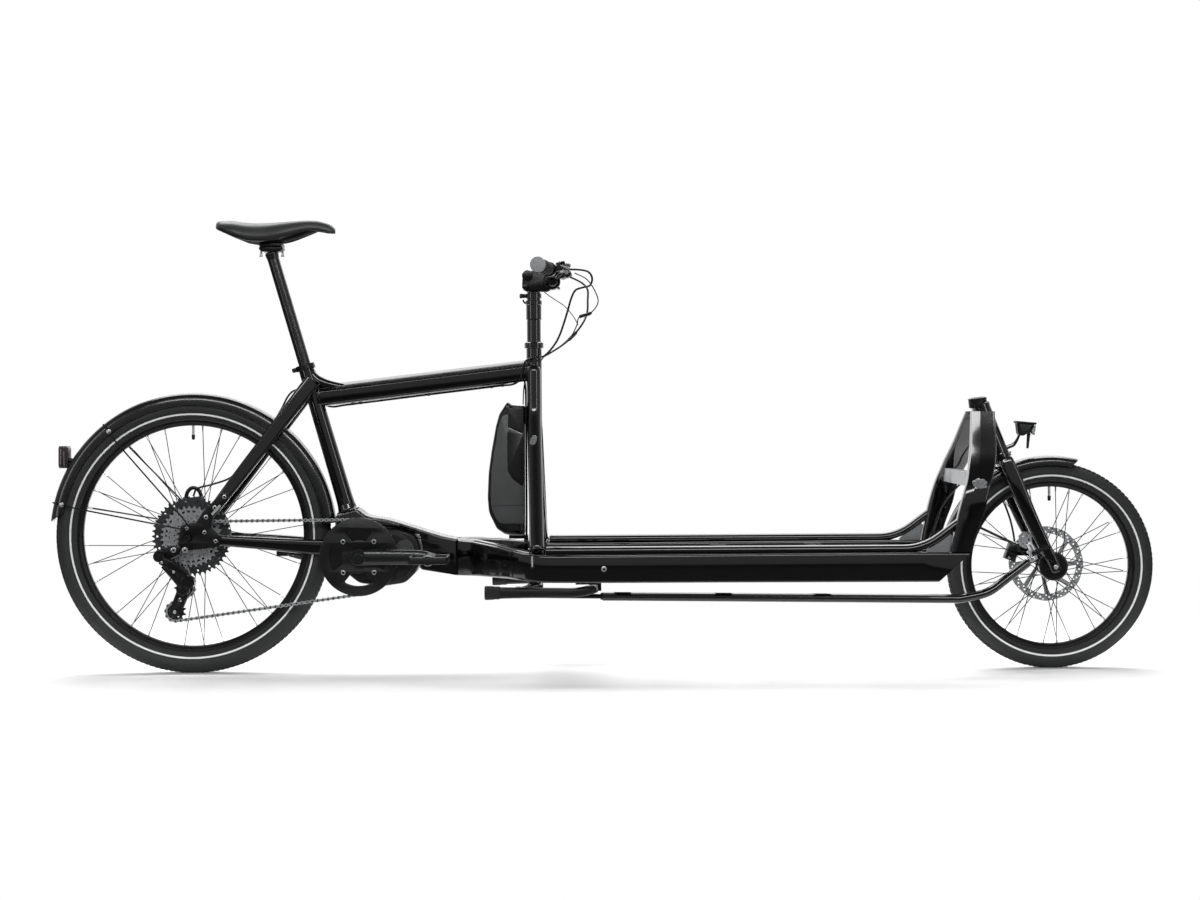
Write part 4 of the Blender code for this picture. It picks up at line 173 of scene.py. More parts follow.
# Large cogs: the same steel, blackened and worn to a dark grey
COG_DARK = finish("phosphated_steel", 0x4A4C4E, 0.4, metal=0.7, spread=0.06, second=0x3A3B3D, patch=0.01)
# Blackened steel of the smallest cogs and of bolts
OXIDE = finish("black_oxide_steel", 0x222325, 0.42, metal=0.8, spread=0.05)
# Bare aluminium, brushed along the bike
ALUMINIUM = finish("brushed_aluminium", 0xCCCED0, 0.34, metal=0.85, grain=0.0008, depth=0.00001, spread=0.08,
                   stretch=(0.2, 1, 1))
# Battery case: grey ABS with a fine leather grain
CASE = finish("grey_battery_abs", 0x444546, 0.4, grain=0.001, depth=0.00004, spread=0.04, second=0x4D4E4F)
# Darker and smoother plastic of the battery's edges and of the guard disc
CASE_DARK = finish("dark_battery_abs", 0x0D0E0F, 0.32, grain=0.001, depth=0.00002, spread=0.05,
                   Specular_IOR_Level=0.4)
# Bare weld metal where the paint was left off: rippled and grey; on the column legs it is a painted glint
WELD = finish("bare_weld_metal_and_painted_glint", 0xA2A4A6, 0.42, metal=0.4, grain=0.004, depth=0.0008, spread=0.1,
              second=0x6E7072)
# Saddle cover: dull synthetic leather with a pebbled grain of a millimetre
COVER = finish("synthetic_leather", 0x2B2C2D, 0.4, grain=0.001, depth=0.00005, spread=0.06, second=0x313233)
# Soft sheen of cranks and seat post, wider and greyer than the lacquer's
SATIN = finish("satin_black_anodising", 0x191A1B, 0.25, metal=0.2, coat=0.35, grain=0.0006, depth=0.00001,
               spread=0.04)
# Grip rubber: soft and dull
GRIP = finish("grip_rubber", 0x151617, 0.78, grain=0.0009, depth=0.00008)
# Hose jacket: smooth black plastic
JACKET = finish("hose_jacket", 0x0B0B0C, 0.3, spread=0.05)
# Rear lamp's cover: smoky plastic with a hint of red over its prisms
LENS_RED = finish("smoked_red_lens", 0x2E2526, 0.14, coat=0.5, grain=0.003, depth=0.0002)
# Clear lens in front of a bright reflector
LENS = finish("clear_lens", 0xC9CDD0, 0.12, metal=0.7, grain=0.003, depth=0.0002)
# Cover glass of the small display: pale and mirror-smooth
SCREEN = finish("display_glass", 0x9EA3A6, 0.1, coat=1.0, spread=0.02)
# Light grey caps on the grips' ends and small light parts: dull plastic; also the rear lamp's painted
# highlights
CAP_GREY_AND_GLINT = finish("grey_cap_nylon_and_painted_glint", 0x97999B, 0.5, grain=0.0006, depth=0.00001, spread=0.04)


# Shells

def faces_of(rows, cols, wrap_rows, wrap_cols):
    """Quads between neighbouring points of a grid, row by row."""
    a, b = np.meshgrid(np.arange(rows if wrap_rows else rows - 1), np.arange(cols if wrap_cols else cols - 1),
                       indexing="ij")
    a, b = a.ravel(), b.ravel()
    c, d = (a + 1) % rows, (b + 1) % cols
    return np.stack([a * cols + b, a * cols + d, c * cols + d, c * cols + b], 1)


def outwards(points, quads, tris):
    """The same shell with its faces turned out: the sum of its faces' signed volumes is made positive."""
    all_tris = np.concatenate([tris, quads[:, [0, 1, 2]], quads[:, [0, 2, 3]]])
    p = points - points.mean(0)
    a, b, c = p[all_tris[:, 0]], p[all_tris[:, 1]], p[all_tris[:, 2]]
    if np.einsum("ij,ij->i", a, np.cross(b, c)).sum() < 0:
        quads, tris = quads[:, ::-1], tris[:, ::-1]
    return points, quads, tris


def skin(rings, ring=False):
    """Closed skin over rows of points, each row a loop; its ends are closed by fans, or it joins itself."""
    rings = np.asarray(rings, float)
    rows, cols = rings.shape[:2]
    points = rings.reshape(-1, 3)
    quads = faces_of(rows, cols, ring, True)
    tris = np.zeros((0, 3), int)
    if not ring:
        j = np.arange(cols)
        k = (j + 1) % cols
        first, last = len(points), len(points) + 1
        points = np.concatenate([points, rings[0].mean(0)[None], rings[-1].mean(0)[None]])
        base = (rows - 1) * cols
        tris = np.concatenate([np.stack([k, j, np.full(cols, first)], 1),
                               np.stack([base + j, base + k, np.full(cols, last)], 1)])
    return outwards(points, quads, tris)


def unit(v):
    """Vectors of length one."""
    v = np.asarray(v, float)
    return v / np.linalg.norm(v, axis=-1, keepdims=True)


def square_to(axis):
    """Two directions square to an axis and to each other."""
    axis = unit(axis)
    first = unit(np.cross(axis, (0, 0, 1) if abs(axis[2]) < 0.9 else (1, 0, 0)))
    return first, np.cross(axis, first)


def revolve(profile, centre, axis=(0, 1, 0), n=48, ring=False):
    """Turn a (radius, height) profile about an axis: point = centre + axis * h + (u cos t + w sin t) * r.

    Long runs of the profile get a row just inside each end, so that an edge leaves the wall's shading alone.
    """
    profile = np.asarray(profile, float)
    run = np.diff(profile, axis=0)
    length = np.linalg.norm(run, axis=1)
    inset = run * (0.0008 / np.maximum(length, 0.0008))[:, None]
    rows = np.stack([profile[:-1] + inset, profile[1:] - inset, profile[1:]], 1)
    wanted = np.stack([length > 0.004, length > 0.004, length > -1], 1)
    profile = np.concatenate([profile[:1], rows[wanted]])
    u, w = square_to(axis)
    t = np.arange(n) * TAU / n
    turn = np.cos(t)[:, None] * u + np.sin(t)[:, None] * w
    rings = (np.asarray(centre, float) + profile[:, 1, None, None] * unit(axis)
             + profile[:, 0, None, None] * turn[None])
    return skin(rings, ring)


def curve(points, n=8):
    """Smooth path through points, n steps between two: Catmull-Rom, its tangents cut to the gap."""
    p = np.asarray(points, float)
    tangent = np.zeros_like(p)
    tangent[1:-1] = unit(p[2:] - p[:-2])
    tangent[0], tangent[-1] = unit(p[1] - p[0]), unit(p[-1] - p[-2])
    gap = np.linalg.norm(np.diff(p, axis=0), axis=1)[:, None, None]
    t = (np.arange(n) / n)[None, :, None]
    a, b = p[:-1, None], p[1:, None]
    ta, tb = tangent[:-1, None] * gap, tangent[1:, None] * gap
    path = (a * (2 * t ** 3 - 3 * t ** 2 + 1) + ta * (t ** 3 - 2 * t ** 2 + t) + b * (3 * t ** 2 - 2 * t ** 3)
            + tb * (t ** 3 - t ** 2))
    return np.concatenate([path.reshape(-1, 3), p[-1:]])


def arc_at(before, corner, after, radius, n, share, straight=2.0):
    """Arc in place of a corner, its centre on the corner's bisector; share of a side that it may take."""
    a, b = unit(before - corner), unit(after - corner)
    half = math.acos(float(np.clip(a @ b, -1, 1))) / 2
    reach = min(radius / math.tan(half), share * np.linalg.norm(before - corner),
                share * np.linalg.norm(after - corner))
    if half > straight or reach < 1e-6:
        return [corner]
    middle = corner + unit(a + b) * (reach / math.cos(half))
    first, last = corner + a * reach - middle, corner + b * reach - middle
    sweep = math.pi - 2 * half
    return [middle + (first * math.sin((1 - t) * sweep) + last * math.sin(t * sweep)) / math.sin(sweep)
            for t in np.linspace(0, 1, n + 1)]


def rounded(points, radius, n=8):
    """Straight runs of a path with an arc at each corner."""
    p = [np.asarray(q, float) for q in points]
    arcs = [arc_at(*three, radius, n, 0.48) for three in zip(p, p[1:], p[2:])]
    return np.array([p[0], *(q for arc in arcs for q in arc), p[-1]])


def mm(*rows):
    """Rows of millimetres as a list of rows of metres."""
    return [tuple(round(v / 1000, 6) for v in row) for row in rows]


def circle(n=24):
    """A round section of radius one."""
    t = (np.arange(n) + 0.5) * TAU / n
    return np.stack([np.cos(t), np.sin(t)], 1)


def box_section(w, h, r, n=5):
    """A rectangle of half sizes w and h with its corners rounded to radius r."""
    t = np.linspace(0, math.pi / 2, n)
    corner = np.stack([np.cos(t), np.sin(t)], 1) * r
    turns = []
    for k, (sx, sy) in enumerate(((1, 1), (-1, 1), (-1, -1), (1, -1))):
        c, s = math.cos(k * math.pi / 2), math.sin(k * math.pi / 2)
        turned = corner @ np.array([[c, s], [-s, c]])
        turns.append(turned + (sx * (w - r), sy * (h - r)))
    return np.concatenate(turns)


def sweep(path, section, up=(0, 0, 1), ring=False):
    """Carry sections along a path: each point = path + side * a + top * b, with top kept towards up."""
    path = np.asarray(path, float)
    section = np.asarray(section, float)
    if ring:
        along = unit(np.roll(path, -1, 0) - np.roll(path, 1, 0))
    else:
        along = unit(np.gradient(path, axis=0))
    side = unit(np.cross(along, np.asarray(up, float)))
    top = np.cross(side, along)
    if section.ndim == 2:
        section = np.broadcast_to(section, (len(path), *section.shape))
    rings = path[:, None] + side[:, None] * section[..., :1] + top[:, None] * section[..., 1:]
    return skin(rings, ring)


def tube(path, radius, n=20, up=(0, 0, 1), end=0.0):
    """A round bar along a path, with its radius given once or at each point; end rounds both ends off."""
    path = np.asarray(path, float)
    radius = np.broadcast_to(np.asarray(radius, float), (len(path),))
    if end:
        first, last = unit(path[1] - path[0]), unit(path[-1] - path[-2])
        t = np.linspace(0, 1, 4)[:-1]
        lift = end * np.sqrt(1 - (1 - t) ** 2)
        start = path[0] + first * (t * end)[:, None]
        stop = path[-1] - last * (t[::-1] * end)[:, None]
        path = np.concatenate([start, path[0] + first * np.array([[end], [end + 0.0005]]), path[1:-1],
                               path[-1] - last * np.array([[end + 0.0005], [end]]), stop])
        radius = np.concatenate([radius[0] - end + lift, radius[[0, 0]], radius[1:-1], radius[[-1, -1]],
                                 radius[-1] - end + lift[::-1]])
    return sweep(path, circle(n)[None] * radius[:, None, None], up)


def rod(start, stop, radius, stop_radius=None, n=24, end=0.0006):
    """A straight round bar or cone with rounded edges."""
    start, stop = np.asarray(start, float), np.asarray(stop, float)
    along = stop - start
    length = np.linalg.norm(along)
    far = radius if stop_radius is None else stop_radius
    e = min(end, 0.45 * length, 0.8 * radius, 0.8 * far)
    profile = [(radius - e, 0), (radius - 0.3 * e, 0.3 * e), (radius, e), (far, length - e),
               (far - 0.3 * e, length - 0.3 * e), (far - e, length)]
    return revolve(profile, start, along, n)


def corners(outline, radius, n=5):
    """A closed (a, b) outline with an arc at each corner; nearly straight corners stay points."""
    p = np.asarray(outline, float)
    radius = np.broadcast_to(np.asarray(radius, float), (len(p),))
    arcs = [arc_at(*four, n, 0.47, 1.54) for four in zip(np.roll(p, 1, 0), p, np.roll(p, -1, 0), radius)]
    return np.array([q for arc in arcs for q in arc])


def plate(loops, low, high, edge=0.0004, steps=1, centre=(0, 0, 0), axes=((1, 0, 0), (0, 1, 0), (0, 0, 1))):
    """A flat plate with holes: loops are (a, b) outlines, the first outside; low to high is along axes[1].

    Each outline becomes rows that follow a quarter circle of the edge's radius at both faces.
    """
    a_axis, thick, b_axis = (np.asarray(v, float) for v in axes)
    low, high = sorted((low, high))
    centre = np.asarray(centre, float)
    turn = np.linspace(0, math.pi / 2, steps + 1)
    rows = [(edge * (1 - math.sin(t)), low + edge * (1 - math.cos(t))) for t in turn]
    rows += [(inset, low + high - level) for inset, level in reversed(rows)]
    points, quads, rims = [], [], []
    offset = 0
    for number, loop in enumerate(loops):
        loop = np.asarray(loop, float)
        area = 0.5 * np.sum(loop[:, 0] * np.roll(loop[:, 1], -1) - np.roll(loop[:, 0], -1) * loop[:, 1])
        if (area < 0) == (number == 0):
            loop = loop[::-1]
        step = unit(np.roll(loop, -1, 0) - np.roll(loop, 1, 0))
        inwards = np.stack([-step[:, 1], step[:, 0]], 1)
        for inset, level in rows:
            flat = loop + inwards * inset
            points.append(centre + flat[:, :1] * a_axis + level * thick + flat[:, 1:] * b_axis)
        quads.append(faces_of(len(rows), len(loop), False, True) + offset)
        rims.append((loop + inwards * rows[0][0], offset, offset + (len(rows) - 1) * len(loop)))
        offset += len(rows) * len(loop)
    flat = np.concatenate([rim for rim, _, _ in rims])
    cut = np.array(tessellate_polygon([[(*q, 0.0) for q in rim] for rim, _, _ in rims]), int)
    t = flat[cut]
    clockwise = ((t[:, 1, 0] - t[:, 0, 0]) * (t[:, 2, 1] - t[:, 0, 1])
                 - (t[:, 1, 1] - t[:, 0, 1]) * (t[:, 2, 0] - t[:, 0, 0])) < 0
    cut[clockwise] = cut[clockwise][:, ::-1]
    front, back = (np.concatenate([np.arange(len(rim[0])) + rim[k] for rim in rims]) for k in (1, 2))
    tris = np.concatenate([front[cut], back[cut][:, ::-1]])
    points, quads = np.concatenate(points), np.concatenate(quads)
    edges = {tuple(e) for e in np.concatenate([tris[:, [0, 1]], tris[:, [1, 2]], tris[:, [2, 0]]])}
    if any(tuple(q[[i, (i + 1) % 4]]) in edges for q in quads[:len(rims[0][0])] for i in range(4)):
        quads = quads[:, ::-1]
    return outwards(points, quads, tris)


def through(rings, n=6):
    """Rows of points made smooth from row to row: each point of a row runs along its own curve."""
    rings = np.asarray(rings, float)
    return np.stack([curve(rings[:, j], n) for j in range(rings.shape[1])], 1)


def repeated(shell, matrices, shifts):
    """Copies of one shell, each turned and shifted: all points at once as p @ M^T + s."""
    points, quads, tris = shell
    matrices, shifts = np.asarray(matrices, float), np.asarray(shifts, float)
    count, size = len(matrices), len(points)
    everything = np.einsum("nij,pj->npi", matrices, points) + shifts[:, None]
    step = (np.arange(count) * size)[:, None, None]
    return everything.reshape(-1, 3), (quads[None] + step).reshape(-1, 4), (tris[None] + step).reshape(-1, 3)


def about_y(angles):
    """Turning matrices about +Y that carry +X towards +Z."""
    c, s = np.cos(angles), np.sin(angles)
    m = np.zeros((len(angles), 3, 3))
    m[:, 0, 0], m[:, 0, 2], m[:, 2, 0], m[:, 2, 2], m[:, 1, 1] = c, -s, s, c, 1
    return m


def piece(name, parts, body, replaces=(), angle=32):
    """One object of (shell, finish) parts; it may ride on a body and may stand for CAD nodes."""
    finishes, points, loops, sizes, kinds = [], [], [], [], []
    offset = 0
    for (p, quads, tris), look in parts:
        if look not in finishes:
            finishes.append(look)
        points.append(p)
        loops += [(quads + offset).ravel(), (tris + offset).ravel()]
        sizes += [np.full(len(quads), 4), np.full(len(tris), 3)]
        kinds.append(np.full(len(quads) + len(tris), finishes.index(look)))
        offset += len(p)
    points, loops, sizes = np.concatenate(points), np.concatenate(loops), np.concatenate(sizes)
    mesh = bpy.data.meshes.new(name)
    mesh.vertices.add(len(points))
    mesh.vertices.foreach_set("co", points.ravel().astype(np.float32))
    mesh.loops.add(len(loops))
    mesh.loops.foreach_set("vertex_index", loops.astype(np.int32))
    mesh.polygons.add(len(sizes))
    mesh.polygons.foreach_set("loop_start", np.concatenate([[0], np.cumsum(sizes)[:-1]]).astype(np.int32))
    mesh.polygons.foreach_set("material_index", np.concatenate(kinds).astype(np.int32))
    mesh.update(calc_edges=True)
    mesh.validate()
    for look in finishes:
        mesh.materials.append(look)
    mesh.shade_smooth()
    mesh.set_sharp_from_angle(angle=math.radians(angle))
    obj = bpy.data.objects.new(name, mesh)
    scene.collection.objects.link(obj)
    if body:
        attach(obj, body)
    if replaces:
        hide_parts(*([replaces] if isinstance(replaces, str) else replaces))
    return obj


def keep(node, look, bevel=0.0):
    """Keep a CAD node's shape: weld its triangles, shade it smooth between its edges and give it a finish."""
    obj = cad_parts[node]
    obj.data.materials.clear()
    obj.data.materials.append(look)
    obj.data.shade_smooth()
    weld = obj.modifiers.new("weld", "WELD")
    weld.merge_threshold = 0.00002
    if bevel:
        soften = obj.modifiers.new("bevel", "BEVEL")
        soften.width, soften.segments, soften.angle_limit = bevel, 2, math.radians(40)
    split = obj.modifiers.new("edges", "EDGE_SPLIT")
    split.split_angle = math.radians(38)


# Wheels

def tyre(name, hub, radius, bead, stripe, body):
    """Tyre turned from a profile of tread, side wall and bead, with its tread blocks and reflex bands."""
    half, edge, sink, height = 0.0235, 0.014, 0.0055, 0.0195
    crown = [(radius - sink * (y / edge) ** 2, y) for y in np.linspace(0, edge, 6)]
    wall = [(radius - sink - height * k, edge + (half - edge) * math.sin(k * math.pi / 2))
            for k in np.linspace(0, 1, 15)[2::2]]
    foot = [(bead + 0.01, half - 0.0035), (bead + 0.0045, 0.015), (bead + 0.002, 0.0128)]
    side = crown + wall + foot
    profile = side + [(bead - 0.001, 0.0118), (bead - 0.001, -0.0118)]
    profile += [(r, -y) for r, y in reversed(side[1:])]
    parts = [(revolve(profile, hub, n=240, ring=True), RUBBER)]
    cut = int(round(TAU * radius / 0.0125))
    for y, w, lift in ((0.0, 0.0042, 0.0), (0.0088, 0.003, 0.5), (-0.0088, 0.003, 0.25)):
        drop = sink * (y / edge) ** 2
        block = plate([box_section(0.0048, w, 0.0012, 3)], -0.001, 0.0007, 0.0004,
                      centre=(radius - drop, y, 0), axes=((0, 0, 1), (1, 0, 0), (0, 1, 0)))
        a = (np.arange(cut) + lift) * TAU / cut
        parts += [(repeated(block, about_y(a), np.broadcast_to(hub, (cut, 3))), RUBBER)]
    for y in (-1, 1):
        k = (radius - sink - stripe) / height
        at = edge + (half - edge) * math.sin(min(k, 1.0) * math.pi / 2) + 0.0002
        band = [(stripe + 0.0022, y * (at - 0.001)), (stripe + 0.002, y * (at + 0.0002)),
                (stripe - 0.002, y * (at + 0.0002)), (stripe - 0.0022, y * (at - 0.0014))]
        parts += [(revolve(band, hub, n=180, ring=True), REFLEX)]
    piece(name, parts, body, name)


def spoked_wheel(name, hub, bead, hub_parts, flange_r, flanges, body, spokes=36):
    """Rim with its hooked wall and well, round spokes laced three cross with nipples, hub and valve."""
    rim = [(bead + 0.003, 0.0118), (bead - 0.0015, 0.0126), (bead - 0.006, 0.012), (bead - 0.012, 0.008),
           (bead - 0.0145, 0.0045), (bead - 0.0145, -0.0045), (bead - 0.012, -0.008), (bead - 0.006, -0.012),
           (bead - 0.0015, -0.0126), (bead + 0.003, -0.0118)]
    parts = [(revolve(rim, hub, n=180, ring=True), ANODISED)]
    lines, caps = [], []
    each = spokes // 2
    inner_r = bead - 0.0145
    for number, y in enumerate(flanges):
        for j in range(each):
            lead = 1 if j % 2 else -1
            start = (j + number / 2) * TAU / each
            stop = start + lead * 3 * TAU / each * 0.92
            at = hub + (flange_r * math.cos(start), y + lead * 0.0012, flange_r * math.sin(start))
            out = hub + (inner_r * math.cos(stop), math.copysign(0.002, y), inner_r * math.sin(stop))
            lines.append((at, out))
            caps.append((out, out + unit(at - out) * 0.012))
    parts += [(rod(a, b, 0.001, n=8, end=0), OXIDE) for a, b in lines]
    parts += [(rod(a, b, 0.0021, 0.0017, n=8, end=0.0003), STEEL) for a, b in caps]
    parts += [(rod(a - (0, 0.0026, 0), a + (0, 0.0026, 0), 0.0021, n=10, end=0.0005), STEEL)
              for a, b in lines]
    valve = hub + (0, 0, inner_r)
    parts += [(rod(valve + (0, 0, 0.003), valve - (0, 0, 0.026), 0.0032, 0.003, 14), ALUMINIUM)]
    parts += [(rod(valve - (0, 0, 0.022), valve - (0, 0, 0.034), 0.0042, 0.0036, 14), NYLON)]
    piece(name, parts + hub_parts, body, name)


def wheels():
    """Both wheels with their hubs."""
    tyre("rear_tyre", REAR, 0.33, 0.2795, 0.2925, "rear_wheel_set")
    tyre("front_tyre", FRONT, 0.247, 0.203, 0.216, "front_wheel_set")
    rear_shell = mm((6.6, -24.8), (17, -24.8), (18, -22.8), (28.2, -22.6), (29, -21.5), (29, -19),
                    (28, -18.2), (18.5, -16.5), (15, -13), (14.2, 6), (15.5, 26), (18.5, 30.8),
                    (28.2, 31.2), (29, 32.2), (29, 35), (28.2, 35.8), (21.5, 38), (20.5, 54.5), (15, 55.3),
                    (15, 60.5), (6.6, 61))
    spoked_wheel("rear_wheel", REAR, 0.2795, [(revolve(rear_shell, REAR, n=48, ring=True), ANODISED)], 0.0265,
                 (-0.0205, 0.0335), "rear_wheel_set")
    drum = mm((6.6, -49), (15, -49), (16, -47.8), (30, -47.8), (33, -46.6), (34.5, -44.5), (34.5, -28.5),
              (33.5, -26.8), (27, -21.5), (21, -19), (19.5, -10), (19.5, 12), (21.5, 20.5), (28.5, 21.2),
              (29, 22.2), (29, 24.8), (28, 25.8), (21.5, 28), (20.5, 38), (15, 38.8), (15, 47.5), (6.6, 48))
    spoked_wheel("front_wheel", FRONT, 0.203, [(revolve(drum, FRONT, n=48, ring=True), ANODISED)], 0.0265,
                 (-0.0235, 0.0235), "front_wheel_set")
    rotor("rear_rotor", REAR, 0.0565, 0.08, "rear_wheel_set")
    rotor("front_rotor", FRONT, 0.04, 0.09, "front_wheel_set")


def rotor(name, hub, y, radius, body):
    """Brake disc: band with rows of slanting holes, swept arms and a carrier ring with six bolts."""
    outer = np.linspace(0, TAU, 144, endpoint=False)
    loops = [np.stack([np.cos(outer), np.sin(outer)], 1) * (radius + 0.0006 * np.cos(outer * 12))[:, None]]
    arms = 8
    for i in range(arms):
        a = i * TAU / arms
        spread = TAU / arms * 0.8
        low, high = 0.0245, radius - 0.0165
        t = np.linspace(0, 1, 7)
        top = [(high, a + 0.42 + spread * (k - 0.5)) for k in t]
        bottom = [(low, a + spread * 0.62 * (0.5 - k)) for k in t]
        loops.append(np.array([(r * math.cos(b), r * math.sin(b)) for r, b in top + bottom]))
    for row, (r, size) in enumerate(((radius - 0.0128, 0.002), (radius - 0.0082, 0.0023),
                                     (radius - 0.0038, 0.0019))):
        count = 24
        for i in range(count):
            b = (i + 0.33 * row) * TAU / count
            loops.append(circle(7) * size + (r * math.cos(b), r * math.sin(b)))
    loops.append(circle(36) * 0.0154)
    disc = plate(loops, y - 0.0009, y + 0.0009, 0.0002, centre=hub)
    bolts = [rod(hub + (0.0215 * math.cos(a), y, 0.0215 * math.sin(a)),
                 hub + (0.0215 * math.cos(a), y + 0.0026, 0.0215 * math.sin(a)), 0.0027, n=14)
             for a in np.arange(6) * TAU / 6]
    piece(name, [(disc, STEEL)] + [(b, OXIDE) for b in bolts], body, name)


# Frame

def bead(centre, axis, radius, size=0.0022, n=40):
    """Weld bead round a tube: a ring whose thickness ripples as the dabs of a weld do."""
    u, w = square_to(axis)
    t = np.arange(n * 4) * TAU / (n * 4)
    ripple = size * (0.85 + 0.15 * np.cos(t * n))
    path = np.asarray(centre, float) + (np.cos(t)[:, None] * u + np.sin(t)[:, None] * w) * radius
    section = circle(8)[None] * ripple[:, None, None]
    return sweep(path, section, up=unit(axis), ring=True)


def painted(node, parts):
    """A lacquered piece of the frame that stands for its CAD node."""
    piece(node + "_paint", parts, "frame", node)


def seat_and_head_tubes():
    """Seat tube with its flared foot, collar, top tube with gusset and guides, and the column's head tube."""
    axis = unit(SEAT_TOP - SEAT_FOOT)
    length = float(np.linalg.norm(SEAT_TOP - SEAT_FOOT))
    bore = 0.015
    profile = [(bore, 0.0), (0.0265, 0.0), (0.0232, 0.007), (0.0212, 0.018), (0.0203, 0.035), (0.0196, 0.12),
               (0.0182, length - 0.02), (0.018, length - 0.001), (0.0175, length), (bore, length)]
    painted("seat_tube", [(revolve(profile, SEAT_FOOT, axis, 64, ring=True), PAINT),
                          (bead(SEAT_FOOT + axis * 0.002, axis, 0.0262), PAINT)])

    back = np.array([-axis[2], 0, axis[0]])
    foot = SEAT_TOP - axis * 0.013
    ring = revolve(mm((18.7, 0.3), (22.2, 0), (22.7, 0.8), (22.7, 12), (22.2, 12.8),
                      (18.7, 12.5)), foot, axis, 48, ring=True)
    parts = [(ring, ANODISED)]
    for side in (-1, 1):
        at = foot + back * 0.0268 + axis * 0.0064 + (0, side * 0.0052, 0)
        parts += [(sweep([at - (0, 0.004, 0), at + (0, 0.004, 0)], box_section(0.0052, 0.0056, 0.003),
                         up=back), ANODISED)]
    at = foot + back * 0.0275 + axis * 0.0064
    parts += [(rod(at - (0, 0.0122, 0), at + (0, 0.0122, 0), 0.0034), STEEL)]
    parts += [(rod(at - (0, 0.0124, 0), at - (0, 0.0092, 0), 0.0046, n=6), OXIDE)]
    piece("seat_collar_clamp", parts, "frame", "seat_collar")

    rear, front = np.array([-0.6815, 0, 0.664]), np.array([STEER_X + 0.002, 0, 0.7247])
    outline = mm((-20, -26), (20, -26), (20, 9), (11.2, 17.2), (1, 25.9), (-1, 25.9), (-11.2, 17.2),
                 (-20, 9))
    shape = corners(outline, (0.012, 0.012, 0.0035, 0.08, 0.0008, 0.0008, 0.08, 0.0035), 8)
    parts = [(sweep(np.linspace(rear, front, 12), shape), PAINT)]
    arch = curve(mm((-704, 0, 732), (-693, 0, 713), (-674, 0, 698.5), (-646, 0, 690), (-606, 0, 683.5)), 8)
    size = np.interp(np.linspace(0, 1, len(arch)), [0, 0.5, 1], [0.012, 0.014, 0.0095])
    parts += [(tube(arch, size, 24, up=(0, 1, 0)), PAINT)]
    along = unit(front - rear)
    under = np.array([along[2], 0, -along[0]]) * 0.0262
    for x in (-0.6, -0.583, -0.418, -0.266, -0.24):
        at = rear + along * ((x - rear[0]) / along[0]) + under
        parts += [(rod(at + (0, 0, 0.003), at - (0, 0, 0.0055), 0.0042, n=12), PAINT)]
        parts += [(rod(at - (0, 0, 0.005), at - (0, 0, 0.0062), 0.0022, n=6), STEEL)]
    parts += [(bead(np.array([-0.676, 0, 0.665]), along, 0.0236, 0.002), PAINT)]
    painted("top_tube", parts)

    head = revolve(mm((15, 585), (18.3, 585), (18.5, 585.5), (18.5, 775.5), (18.3, 776), (15, 776)),
                   (STEER_X, 0, 0), (0, 0, 1), 56, ring=True)
    latch = plate([corners(mm((-183.6, 594), (-176.5, 594), (-176.5, 636), (-183.6, 636)), 0.002)],
                  -0.02, 0.02, 0.001, 2)
    painted("head_tube", [(head, PAINT), (latch, NYLON)])


